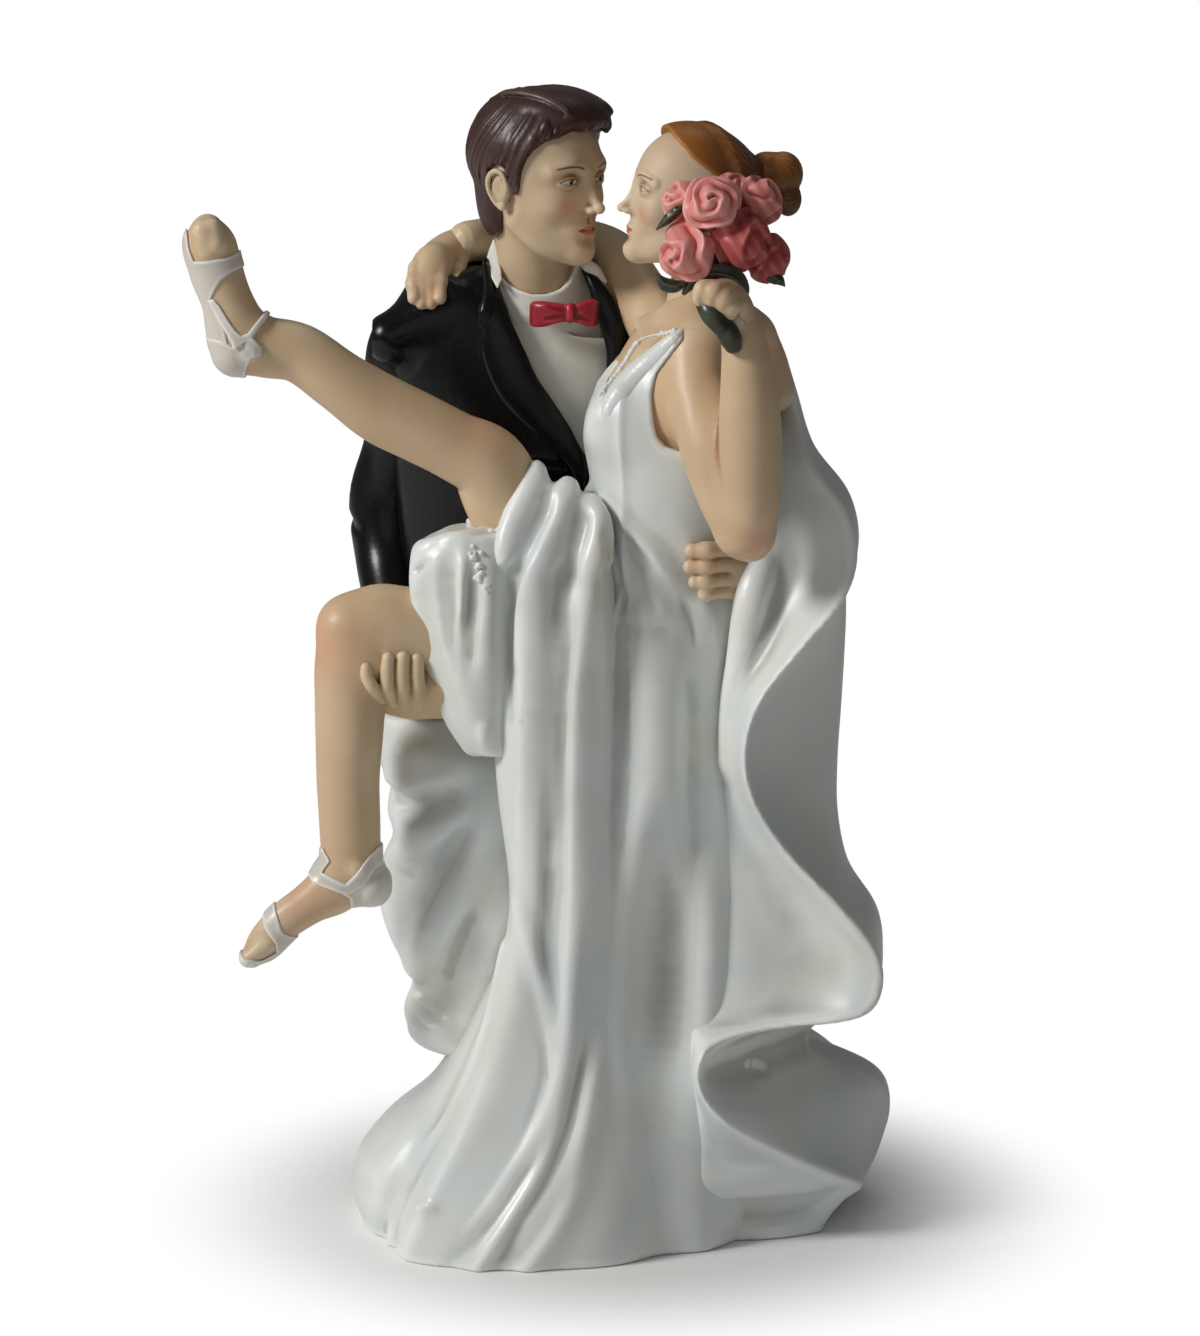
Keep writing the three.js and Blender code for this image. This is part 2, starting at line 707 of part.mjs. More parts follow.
const lowerLegShares = [
  [-0.525, -0.25, 0.255, 0.2, 0.18],
  [-0.508, -0.25, 0.266, 0.34, 0.3],
  [-0.477, -0.25, 0.287, 0.38, 0.36],
  [-0.442, -0.242, 0.302, 0.42, 0.4],
  [-0.408, -0.233, 0.316, 0.56, 0.44],
  [-0.386, -0.233, 0.337, 0.58, 0.5],
  [-0.385, -0.233, 0.366, 0.6, 0.56],
  [-0.387, -0.233, 0.411, 0.62, 0.6],
  [-0.385, -0.233, 0.447, 0.66, 0.66],
  [-0.383, -0.225, 0.481, 0.7, 0.7],
  [-0.38, -0.217, 0.511, 0.74, 0.72],
  [-0.37, -0.206, 0.535, 0.78, 0.76],
  [-0.345, -0.198, 0.545, 0.8, 0.8],
  [-0.31, -0.19, 0.541, 0.84, 0.84],
  [-0.245, -0.167, 0.532, 0.92, 0.92],
  [-0.148, -0.133, 0.525, 0.98, 0.98],
];
const lowerHeelShares = [-0.36, -0.233, 0.32];

function raisedLeg(grow) {
  const heel = [RAISED_LEG_RADIUS * 0.36, RAISED_LEG_RADIUS * 0.42, RAISED_LEG_RADIUS * 0.42];
  return joined([
    limb(raisedLegShares, RAISED_LEG_RADIUS, grow, 10),
    egg(raisedHeelShares, heel, 0, 0, grow, 8, 4),
  ]);
}

function lowerLeg(grow) {
  const heel = [LOWER_LEG_RADIUS * 0.36, LOWER_LEG_RADIUS * 0.4, LOWER_LEG_RADIUS * 0.42];
  return joined([
    limb(lowerLegShares, LOWER_LEG_RADIUS, grow, 10),
    egg(lowerHeelShares, heel, 0, 0, grow, 8, 4),
  ]);
}

// Sandals are sleeves round the foot: a vamp behind the open toe, a heel cup and an ankle strap.
function footSleeve(rows, first, last, radius, grow) {
  return limb(rows.slice(first, last), radius, grow + SANDAL_COVER, 10, true);
}

function heelCup(heelShares, radius, grow) {
  const cover = grow + SANDAL_COVER;
  return egg(heelShares, [radius * 0.36, radius * 0.42, radius * 0.42], 0, 0, cover, 8, 4);
}
const raisedStrapShares = [
  [-0.49, -0.206, 0.787, 0.62, 0.52],
  [-0.475, -0.204, 0.786, 0.6, 0.52],
];
const lowerStrapShares = [
  [-0.386, -0.233, 0.34, 0.58, 0.5],
  [-0.386, -0.233, 0.352, 0.58, 0.52],
];

// The garter is a sleeve round the thigh, just above the knee.
const garterShares = [
  [-0.158, -0.143, 0.642, 0.84, 0.82],
  [-0.148, -0.135, 0.63, 0.88, 0.87],
  [-0.139, -0.129, 0.62, 0.92, 0.92],
];

function garter(grow) {
  return limb(garterShares, RAISED_LEG_RADIUS, grow + GARTER_COVER, 10, true);
}

const bodiceShares = [
  [0.08, -0.1, 0.75, 0.78, 0.68],
  [0.073, -0.12, 0.73, 0.94, 0.72],
  [0.07, -0.125, 0.705, 1, 0.74],
  [0.067, -0.125, 0.665, 0.9, 0.69],
  [0.064, -0.117, 0.628, 0.83, 0.66],
  [0.061, -0.1, 0.6, 0.84, 0.7],
  [0.06, -0.083, 0.566, 0.9, 0.8],
  [0.052, -0.067, 0.528, 0.92, 0.86],
];
const nearStrapShares = [
  [0.075, -0.155, 0.793, 0.45, 0.45],
  [0.048, -0.195, 0.777, 0.7, 0.45],
  [0.026, -0.22, 0.761, 0.85, 0.45],
  [-0.006, -0.225, 0.741, 1, 0.5],
  [-0.03, -0.2, 0.724, 1, 0.5],
];
const beadedStrapShares = [
  [0.048, -0.03, 0.787, 1, 1],
  [0.02, -0.067, 0.771, 1, 1],
  [-0.008, -0.1, 0.757, 1, 1],
  [-0.03, -0.137, 0.738, 1, 1],
];

// Dress front: rows of level, left, right, front and back
const frontDrapeShares = [
  [0, -0.326, 0.034, -0.48, -0.2],
  [0.03, -0.318, 0.03, -0.475, -0.2],
  [0.07, -0.29, 0.022, -0.45, -0.2],
  [0.12, -0.253, 0.012, -0.41, -0.19],
  [0.17, -0.22, 0.002, -0.375, -0.18],
  [0.22, -0.19, -0.003, -0.35, -0.17],
  [0.27, -0.168, -0.006, -0.335, -0.16],
  [0.32, -0.162, -0.01, -0.325, -0.15],
  [0.4, -0.178, -0.012, -0.315, -0.14],
  [0.48, -0.186, -0.013, -0.31, -0.13],
  [0.55, -0.186, -0.014, -0.3, -0.11],
  [0.6, -0.182, -0.02, -0.28, -0.1],
  [0.635, -0.17, -0.045, -0.25, -0.1],
];
const pleatB = [
  [0.634, -0.111],
  [0.559, -0.146],
  [0.437, -0.153],
  [0.358, -0.147],
  [0.22, -0.182],
  [0.152, -0.223],
  [0.094, -0.272],
  [0.026, -0.32],
];
const pleatD = [
  [0.605, -0.036],
  [0.533, -0.077],
  [0.404, -0.08],
  [0.264, -0.09],
  [0.161, -0.098],
  [0.096, -0.133],
  [0.024, -0.209],
];
const pleatE = [
  [0.35, -0.05],
  [0.191, -0.043],
  [0.114, -0.063],
  [0.043, -0.126],
  [0.012, -0.167],
];
const leftPeakShares = [
  [-0.126, -0.17, 0.678, 0.25, 0.2],
  [-0.132, -0.2, 0.66, 0.7, 0.5],
  [-0.14, -0.23, 0.635, 1, 0.8],
];
const rightPeakShares = [
  [-0.072, -0.16, 0.668, 0.4, 0.25],
  [-0.085, -0.19, 0.652, 0.85, 0.55],
  [-0.1, -0.22, 0.628, 1.1, 0.9],
];

function frontDrape(grow) {
  const pleats = [
    { rows: pleatB, height: PLEAT_HEIGHT },
    { rows: pleatD, height: PLEAT_HEIGHT },
    { rows: pleatE, height: SMALL_PLEAT_HEIGHT },
  ];
  return joined([
    garment(frontDrapeShares, pleats, grow, 26),
    limb(leftPeakShares, PEAK_RADIUS, grow, 8),
    limb(rightPeakShares, PEAK_RADIUS, grow, 8),
  ]);
}

const sideDrapeShares = [
  [0.436, -0.205, -0.16, -0.29, -0.2],
  [0.456, -0.23, -0.16, -0.3, -0.14],
  [0.486, -0.25, -0.155, -0.31, -0.09],
  [0.513, -0.264, -0.15, -0.315, -0.07],
  [0.539, -0.275, -0.15, -0.315, -0.06],
  [0.565, -0.285, -0.15, -0.31, -0.05],
  [0.59, -0.293, -0.15, -0.3, -0.05],
  [0.613, -0.29, -0.15, -0.285, -0.07],
  [0.628, -0.25, -0.16, -0.27, -0.1],
];
const sidePleat = [
  [0.62, -0.235],
  [0.5, -0.215],
  [0.44, -0.2],
];

function sideDrape(grow) {
  return garment(sideDrapeShares, [{ rows: sidePleat, height: SMALL_PLEAT_HEIGHT }], grow, 16);
}

const skirtShares = [
  [0, -0.375, 0.2, -0.42, 0.24],
  [0.026, -0.389, 0.2, -0.42, 0.23],
  [0.045, -0.385, 0.2, -0.415, 0.22],
  [0.065, -0.377, 0.2, -0.405, 0.2],
  [0.093, -0.337, 0.2, -0.39, 0.18],
  [0.12, -0.287, 0.2, -0.37, 0.16],
  [0.15, -0.251, 0.2, -0.355, 0.15],
  [0.2, -0.21, 0.2, -0.33, 0.13],
  [0.27, -0.17, 0.2, -0.305, 0.12],
  [0.36, -0.17, 0.18, -0.29, 0.12],
  [0.44, -0.17, 0.17, -0.27, 0.12],
  [0.5, -0.16, 0.16, -0.25, 0.11],
  [0.55, -0.14, 0.15, -0.22, 0.1],
];
const pleatF = [
  [0.533, 0.06],
  [0.466, 0.07],
  [0.396, 0.055],
  [0.3, 0.04],
  [0.15, 0.04],
  [0.03, 0.05],
];

function skirt(grow) {
  return garment(skirtShares, [{ rows: pleatF, height: PLEAT_HEIGHT }], grow, 28, 0.9);
}

const backFoldShares = [
  [0.145, -0.25, -0.12, -0.15, 0.12],
  [0.157, -0.306, -0.12, -0.16, 0.13],
  [0.176, -0.31, -0.11, -0.14, 0.13],
  [0.208, -0.293, -0.1, -0.12, 0.13],
  [0.24, -0.315, -0.1, -0.13, 0.13],
  [0.277, -0.329, -0.1, -0.14, 0.13],
  [0.305, -0.326, -0.1, -0.13, 0.13],
  [0.337, -0.313, -0.1, -0.12, 0.13],
  [0.36, -0.338, -0.1, -0.13, 0.13],
  [0.396, -0.331, -0.1, -0.12, 0.13],
  [0.41, -0.342, -0.1, -0.12, 0.12],
  [0.438, -0.335, -0.1, -0.08, 0.1],
];

function backFolds(grow) {
  return garment(backFoldShares, [], grow, 14, 0.9);
}

// Train: one row for each level, with the x and y shares of its seam on the dress, of its
// waving free edge and of its outer side, then the share of the hollow between seam and edge.
// A share under zero swells the cloth outwards instead.
const trainShares = [
  [0, 0.1, -0.27, 0.275, -0.26, 0.31, -0.02, -0.55],
  [0.02, 0.1, -0.28, 0.29, -0.25, 0.345, 0, -0.5],
  [0.04, 0.098, -0.31, 0.325, -0.22, 0.357, -0.02, 0.3],
  [0.06, 0.097, -0.33, 0.3, -0.29, 0.37, -0.033, 0.6],
  [0.09, 0.096, -0.33, 0.216, -0.36, 0.382, -0.033, 1],
  [0.116, 0.096, -0.33, 0.146, -0.4, 0.368, -0.033, 1],
  [0.145, 0.093, -0.32, 0.105, -0.415, 0.295, -0.033, 1],
  [0.175, 0.09, -0.31, 0.102, -0.4, 0.3, -0.033, 1],
  [0.19, 0.09, -0.3, 0.145, -0.38, 0.345, -0.033, 1],
  [0.198, 0.088, -0.283, 0.28, -0.3, 0.355, -0.033, 1],
  [0.214, 0.085, -0.267, 0.345, -0.24, 0.367, -0.033, 1],
  [0.24, 0.085, -0.26, 0.357, -0.235, 0.369, -0.033, 1],
  [0.263, 0.085, -0.25, 0.35, -0.235, 0.364, -0.033, 1],
  [0.309, 0.093, -0.25, 0.297, -0.283, 0.321, -0.017, 1],
  [0.359, 0.115, -0.233, 0.221, -0.333, 0.304, 0, 1],
  [0.406, 0.122, -0.233, 0.173, -0.367, 0.303, 0, 1],
  [0.45, 0.125, -0.225, 0.161, -0.367, 0.307, 0, 1],
  [0.492, 0.129, -0.217, 0.182, -0.35, 0.31, -0.017, 1],
  [0.533, 0.131, -0.2, 0.237, -0.317, 0.312, -0.033, 1],
  [0.573, 0.134, -0.183, 0.296, -0.267, 0.313, -0.05, 1],
  [0.608, 0.138, -0.167, 0.317, -0.22, 0.328, -0.067, 1],
  [0.646, 0.15, -0.133, 0.306, -0.2, 0.316, -0.067, 1],
  [0.687, 0.175, -0.1, 0.257, -0.167, 0.266, -0.067, 1],
  [0.736, 0.195, -0.05, 0.232, -0.11, 0.24, -0.033, 1],
  [0.775, 0.19, -0.02, 0.21, -0.06, 0.22, -0.01, 1],
];
const trainBackShares = [
  [0, 0.2, 0.3],
  [0.1, 0.2, 0.36],
  [0.2, 0.17, 0.38],
  [0.35, 0.14, 0.4],
  [0.5, 0.13, 0.42],
  [0.6, 0.12, 0.44],
  [0.68, 0.11, 0.4],
  [0.74, 0.12, 0.22],
  [0.775, 0.15, 0.08],
];

function train(grow) {
  const rings = trainShares.map((row, index) => {
    const lift = index === 0 ? -grow : index === trainShares.length - 1 ? grow : 0;
    const height = row[0] * OVERALL_HEIGHT + lift;
    const flat = (x, y) => new THREE.Vector2(x * OVERALL_WIDTH, y * OVERALL_DEPTH);
    const seam = flat(row[1], row[2]);
    const edge = flat(row[3], row[4]);
    const side = flat(row[5], row[6]);
    const back = flat(readRow(trainBackShares, row[0], 1), readRow(trainBackShares, row[0], 2));
    const outline = [];
    const span = edge.distanceTo(seam);
    const hollow = Math.min(TRAIN_HOLLOW, span * 0.4) * row[7];
    const inner = seam.clone().lerp(edge, 0.5);
    inner.y += hollow * 2;
    for (let step = 0; step < 5; step += 1) {
      const t = step / 4;
      const point = seam.clone().multiplyScalar((1 - t) * (1 - t));
      point.addScaledVector(inner, 2 * t * (1 - t)).addScaledVector(edge, t * t);
      outline.push(point);
    }
    const toSide = side.clone().sub(edge);
    const rim = Math.min(TRAIN_RIM, toSide.length() * 0.45);
    outline.push(edge.clone().addScaledVector(toSide.clone().normalize(), rim));
    outline.push(edge.clone().lerp(side, 0.55));
    outline.push(side.clone());
    for (let step = 1; step < 4; step += 1) {
      const angle = (Math.PI / 2) * (step / 4);
      outline.push(
        new THREE.Vector2(
          back.x + (side.x - back.x) * Math.cos(angle),
          side.y + (back.y - side.y) * Math.sin(angle),
        ),
      );
    }
    outline.push(back.clone());
    outline.push(back.clone().lerp(seam, 0.5));
    const centre = new THREE.Vector2();
    outline.forEach((point) => centre.add(point));
    centre.divideScalar(outline.length);
    return outline.map((point) => {
      const away = point.clone().sub(centre).normalize();
      return new THREE.Vector3(point.x + away.x * grow, point.y + away.y * grow, height);
    });
  });
  return solidFromRings(rings, middle(rings[0]), middle(rings[rings.length - 1]));
}

// Bouquet
const roses = [
  { name: 'rose_spiral', at: [0.11, -0.41, 0.922], size: 0.92 },
  { name: 'rose_front_left', at: [0.08, -0.4, 0.883], size: 1.05 },
  { name: 'rose_front_right', at: [0.148, -0.405, 0.888], size: 1 },
  { name: 'rose_outer_right', at: [0.192, -0.345, 0.872], size: 0.9 },
  { name: 'rose_upper_right', at: [0.178, -0.34, 0.918], size: 0.95 },
  { name: 'rose_upper_left', at: [0.078, -0.345, 0.92], size: 0.85 },
  { name: 'rose_top', at: [0.143, -0.335, 0.94], size: 0.8 },
];

function rose(centreShares, size, grow) {
  const centre = place(centreShares);
  const levels = 6;
  const sides = 8;
  const rings = [];
  for (let level = 1; level < levels; level += 1) {
    const height = Math.PI * (level / levels) - Math.PI / 2;
    const ring = [];
    for (let side = 0; side < sides; side += 1) {
      const angle = (2 * Math.PI * side) / sides;
      const ripple = PETAL_RIPPLE * Math.cos(Math.PI * (side + level));
      const radius = ROSE_RADIUS * size + ripple + grow;
      ring.push(
        new THREE.Vector3(
          Math.cos(height) * Math.cos(angle) * radius,
          Math.sin(height) * (ROSE_RADIUS * size + grow),
          Math.cos(height) * Math.sin(angle) * radius,
        ).add(centre),
      );
    }
    rings.push(ring);
  }
  const pole = new THREE.Vector3(0, ROSE_RADIUS * size + grow, 0);
  return solidFromRings(rings, centre.clone().sub(pole), centre.clone().add(pole));
}

const stemShares = [
  [0.128, -0.345, 0.9, 0.8, 0.8],
  [0.118, -0.37, 0.868, 0.9, 0.9],
  [0.108, -0.375, 0.845, 0.9, 0.9],
  [0.116, -0.43, 0.826, 0.85, 0.85],
  [0.136, -0.44, 0.811, 1.1, 1],
  [0.146, -0.43, 0.797, 0.9, 0.9],
];
const leaves = [
  [
    [0.052, -0.38, 0.9, 0.35, 0.2],
    [0.044, -0.37, 0.912, 0.75, 0.22],
    [0.048, -0.36, 0.922, 0.2, 0.2],
  ],
  [
    [0.07, -0.4, 0.855, 0.35, 0.2],
    [0.056, -0.41, 0.85, 0.75, 0.22],
    [0.044, -0.41, 0.862, 0.2, 0.2],
  ],
  [
    [0.125, -0.42, 0.86, 0.35, 0.22],
    [0.138, -0.45, 0.85, 0.85, 0.24],
    [0.15, -0.45, 0.84, 0.2, 0.2],
  ],
  [
    [0.19, -0.36, 0.852, 0.35, 0.2],
    [0.203, -0.35, 0.843, 0.75, 0.22],
    [0.212, -0.34, 0.848, 0.2, 0.2],
  ],
];

// Pieces in the order in which they keep their shape. Each is cut to clear those before it.
const pieces = [
  ['groom_head', SKIN, groomHead],
  ['bride_head', SKIN, brideHead],
  ['bride_left_arm', SKIN, (grow) => limb(leftUpperArmShares, BRIDE_ARM_RADIUS, grow, 10)],
  ['bride_right_arm', SKIN, (grow) => limb(rightArmShares, BRIDE_ARM_RADIUS, grow, 10)],
  ['bride_left_hand', SKIN, bouquetHand],
  ['bride_right_hand', SKIN, shoulderHand],
  ['bride_raised_leg', SKIN, raisedLeg],
  ['bride_lower_leg', SKIN, lowerLeg],
  ['groom_right_hand', SKIN, (grow) => groomHand(rightPalmShares, rightFingers, grow)],
  ['groom_left_hand', SKIN, (grow) => groomHand(leftPalmShares, leftFingers, grow)],
  ['raised_sandal_vamp', SANDAL_WHITE, (grow) => footSleeve(raisedLegShares, 2, 5, RAISED_LEG_RADIUS, grow)],
  ['raised_sandal_strap', SANDAL_WHITE, (grow) => limb(raisedStrapShares, RAISED_LEG_RADIUS, grow + STRAP_RADIUS, 10, true)],
  ['raised_sandal_heel', SANDAL_WHITE, (grow) => heelCup(raisedHeelShares, RAISED_LEG_RADIUS, grow)],
  ['lower_sandal_vamp', SANDAL_WHITE, (grow) => footSleeve(lowerLegShares, 1, 4, LOWER_LEG_RADIUS, grow)],
  ['lower_sandal_strap', SANDAL_WHITE, (grow) => limb(lowerStrapShares, LOWER_LEG_RADIUS, grow + STRAP_RADIUS, 10, true)],
  ['lower_sandal_heel', SANDAL_WHITE, (grow) => heelCup(lowerHeelShares, LOWER_LEG_RADIUS, grow)],
  ['groom_hair', GROOM_HAIR_BROWN, groomHair],
  ['bride_bun', BRIDE_HAIR_AUBURN, brideBun],
  ['bride_hair', BRIDE_HAIR_AUBURN, brideHair],
  ['bouquet_stem', LEAF_GREEN, (grow) => limb(stemShares, STEM_RADIUS, grow, 8)],
  ...roses.map((row) => [row.name, ROSE_PINK, (grow) => rose(row.at, row.size, grow)]),
  ...leaves.map((rows, index) => [`bouquet_leaf_${index + 1}`, LEAF_GREEN, (grow) => limb(rows, LEAF_RADIUS, grow, 6)]),
  ['bow_tie', BOW_RED, bowTie],
  ['groom_collar', SHIRT_WHITE, groomCollar],
  ['beaded_strap', DRESS_WHITE, (grow) => limb(beadedStrapShares, BEADED_STRAP_RADIUS, grow, 8)],
  ['near_strap', DRESS_WHITE, (grow) => limb(nearStrapShares, NEAR_STRAP_RADIUS, grow, 8)],
  ['bride_shoulders', SKIN, brideShoulders],
  ['dress_bodice', DRESS_WHITE, (grow) => limb(bodiceShares, BODICE_RADIUS, grow, 14)],
  ['dress_front_drape', DRESS_WHITE, frontDrape],
  ['garter_frill', DRESS_WHITE, garter],
  ['dress_side_drape', DRESS_WHITE, sideDrape],
  ['lapel_left', SUIT_BLACK, (grow) => limb(leftLapelShares, LAPEL_RADIUS, grow, 8)],
  ['lapel_right', SUIT_BLACK, (grow) => limb(rightLapelShares, LAPEL_RADIUS, grow, 8)],
  ['shirt_front', SHIRT_WHITE, shirtFront],
  ['sleeve_right', SUIT_BLACK, (grow) => limb(rightSleeveShares, GROOM_SLEEVE_RADIUS, grow, 10)],
  ['sleeve_left', SUIT_BLACK, (grow) => limb(leftSleeveShares, GROOM_SLEEVE_RADIUS, grow, 10)],
  ['jacket_body', SUIT_BLACK, jacketBody],
  ['shoe_right', SUIT_BLACK, (grow) => shoe(-0.175, grow)],
  ['shoe_left', SUIT_BLACK, (grow) => shoe(0.02, grow)],
  ['trouser_leg_right', SUIT_BLACK, (grow) => limb(rightTrouserShares, TROUSER_RADIUS, grow, 8)],
  ['trouser_leg_left', SUIT_BLACK, (grow) => limb(leftTrouserShares, TROUSER_RADIUS, grow, 8)],
  ['dress_skirt', DRESS_WHITE, skirt],
  ['dress_back_folds', DRESS_WHITE, backFolds],
  ['dress_train', DRESS_WHITE, train],
];

function overlaps(one, other) {
  const a = one.boundingBox();
  const b = other.boundingBox();
  return [0, 1, 2].every((axis) => a.min[axis] < b.max[axis] && b.min[axis] < a.max[axis]);
}

// Keeps the biggest body of a solid and leaves loose offcuts out.
function biggest(solid) {
  const bodies = solid.decompose();
  return bodies.reduce((best, body) => (body.volume() > best.volume() ? body : best));
}

function toMesh(name, look, solid) {
  const { vertProperties, triVerts, numProp } = solid.getMesh();
  const positions = [];
  for (let index = 0; index < vertProperties.length; index += numProp) {
    positions.push(vertProperties[index], vertProperties[index + 1], vertProperties[index + 2]);
  }
  const geometry = new THREE.BufferGeometry();
  geometry.setAttribute('position', new THREE.Float32BufferAttribute(positions, 3));
  geometry.setIndex(Array.from(triVerts));
  geometry.computeVertexNormals();
  const material = new THREE.MeshStandardMaterial({ ...look, metalness: 0 });
  const mesh = new THREE.Mesh(geometry, material);
  mesh.name = name;
  return mesh;
}

const group = new THREE.Group();
group.name = 'wedding_cake_topper';
const cutters = [];
for (const [name, look, make] of pieces) {
  let solid = make(0);
  for (const cutter of cutters) {
    if (overlaps(solid, cutter)) {
      solid = solid.subtract(cutter);
    }
  }
  solid = biggest(solid);
  cutters.push(make(SEAM_GAP), solid);
  group.add(toMesh(name, look, solid));
}

export default group;
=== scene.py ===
# %% [markdown]
# # A wedding cake topper, sculpted in code
# The real object is one small resin casting, painted by hand: a groom in a black suit holds up the
# bride, half hidden behind pink roses. Nothing on it has a sharp machine edge. Every form is a soft
# swelling, a groove or a thin painted sheet. That is why all pieces here are made as digital clay
# (distances on a fine grid) and not from stretched primitives: clay lets a finger, a pleat or a
# petal melt into what carries it, exactly as a mould-maker's wax does.

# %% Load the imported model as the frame
import copy
import math
import bpy
import numpy as np
import openvdb as vdb
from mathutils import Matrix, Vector


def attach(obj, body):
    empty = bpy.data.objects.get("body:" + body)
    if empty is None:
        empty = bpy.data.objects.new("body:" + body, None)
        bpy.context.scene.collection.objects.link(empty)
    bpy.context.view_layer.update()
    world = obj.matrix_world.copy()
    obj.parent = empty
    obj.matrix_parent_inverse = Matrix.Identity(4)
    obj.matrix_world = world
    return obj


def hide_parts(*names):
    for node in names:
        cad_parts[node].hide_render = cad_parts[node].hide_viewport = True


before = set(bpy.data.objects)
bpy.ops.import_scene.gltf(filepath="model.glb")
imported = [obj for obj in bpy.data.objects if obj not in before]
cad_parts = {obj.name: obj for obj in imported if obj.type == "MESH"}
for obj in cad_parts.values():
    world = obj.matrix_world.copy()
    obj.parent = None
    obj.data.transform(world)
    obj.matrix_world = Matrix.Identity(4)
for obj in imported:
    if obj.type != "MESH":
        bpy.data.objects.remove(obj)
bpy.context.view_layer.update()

# %% [markdown]
# ## Units and places
# The figure was measured in millimetres, as shares of its width, depth and height. A second way to
# name a place is by where it is seen: a point of the front picture (1200 by 1336) and how far away it
# lies. Both are needed, because a fold is easiest to follow in the picture, while a limb runs in
# space.

# %% Shares, picture points and the camera's numbers
WIDTH, DEPTH, HEIGHT = 90.0, 60.0, 145.0
CAMERA_AWAY, CAMERA_RISE, FOCAL = 700.0, math.radians(12.0), 5484.0
AIM = np.array([-3.2, 0.0, 71.0])
MIDDLE_X, MIDDLE_Y = 600.0, 668.0
RISE_SIN, RISE_COS = math.sin(CAMERA_RISE), math.cos(CAMERA_RISE)


def place(shares):
    return np.asarray(shares, float) * np.array([WIDTH, DEPTH, HEIGHT])


def seen(px, py, away):
    """The point that the front picture shows at (px, py), at the depth away."""
    slope = (MIDDLE_Y - py) / FOCAL
    rise = slope * (CAMERA_AWAY + away * RISE_COS) - away * RISE_SIN
    rise /= RISE_COS + slope * RISE_SIN
    reach = CAMERA_AWAY + away * RISE_COS - rise * RISE_SIN
    return np.array([(px - MIDDLE_X) / FOCAL * reach + AIM[0], away, rise + AIM[2]])


def picture(x, y, z):
    """Where the front picture shows the point x, y, z."""
    rise = z - AIM[2]
    reach = CAMERA_AWAY + y * RISE_COS - rise * RISE_SIN
    px = MIDDLE_X + FOCAL * (x - AIM[0]) / reach
    py = MIDDLE_Y - FOCAL * (y * RISE_SIN + rise * RISE_COS) / reach
    return px, py


PICTURE_MM = CAMERA_AWAY / FOCAL
print("one picture point is", round(PICTURE_MM, 4), "mm on the figure")

# %% [markdown]
# ## Digital clay
# A lump of clay is a box of small cells. Each cell holds its distance to the surface, in
# millimetres, less than zero inside. Adding a form takes the smaller of two distances, cutting takes
# the larger, and rounding that choice off makes a fillet like the one a wet brush leaves. At the
# end openvdb draws a skin of quads where the distance is zero. Modifiers such as Remesh and Smooth
# could do something similar, but they blur every edge alike, and here each joint needs its own.

# %% Soft joins
COARSER = 1.0
FAR = 5.0
LOOK_THROUGH = (-34.0, 26.0, 0.1)


def join(one, other, soft=0.0):
    if soft <= 0:
        return np.minimum(one, other)
    melt = np.maximum(soft - np.abs(one - other), 0) / soft
    return np.minimum(one, other) - melt * melt * (soft * 0.25)


def smooth_line(rows, steps):
    """More rows between the given ones, on a curve that passes through each."""
    rows = np.asarray(rows, float)
    ends = np.vstack([2 * rows[:1] - rows[1:2], rows, 2 * rows[-1:] - rows[-2:-1]])
    out = []
    for a, b, c, d in zip(ends[:-3], ends[1:-2], ends[2:-1], ends[3:]):
        for t in np.arange(steps) / steps:
            out.append(0.5 * (2 * b + (c - a) * t + (2 * a - 5 * b + 4 * c - d) * t * t
                              + (3 * b - a - 3 * c + d) * t ** 3))
    out.append(rows[-1])
    return np.array(out)


# %% Outlines seen from the front or the side
def outline_gap(outline, x, z):
    """Distance to a closed outline of x and z, less than zero inside."""
    a, b = np.asarray(outline, float), np.roll(np.asarray(outline, float), -1, axis=0)
    nearest, inside = None, None
    for (ax, az), (bx, bz) in zip(a, b):
        ex, ez = bx - ax, bz - az
        t = np.clip(((x - ax) * ex + (z - az) * ez) / (ex * ex + ez * ez), 0, 1)
        gap = (x - ax - t * ex) ** 2 + (z - az - t * ez) ** 2
        crosses = ((az > z) != (bz > z)) & (x < ax + (z - az) * ex / (ez if abs(ez) > 1e-9 else 1e-9))
        nearest = gap if nearest is None else np.minimum(nearest, gap)
        inside = crosses if inside is None else inside ^ crosses
    return np.where(inside, -1, 1) * np.sqrt(nearest)


def flat_outline(places, away):
    """Picture places as an x and z outline at one depth."""
    return np.array([seen(px, py, away)[[0, 2]] for px, py in places])


# %% The lump itself
def seen_box(left, top, right, bottom, front, rear):
    """Low and high corner round a picture window between two depths."""
    spots = np.array([seen(px, py, away) for px in (left, right) for py in (top, bottom)
                      for away in (front, rear)])
    return spots.min(0), spots.max(0)


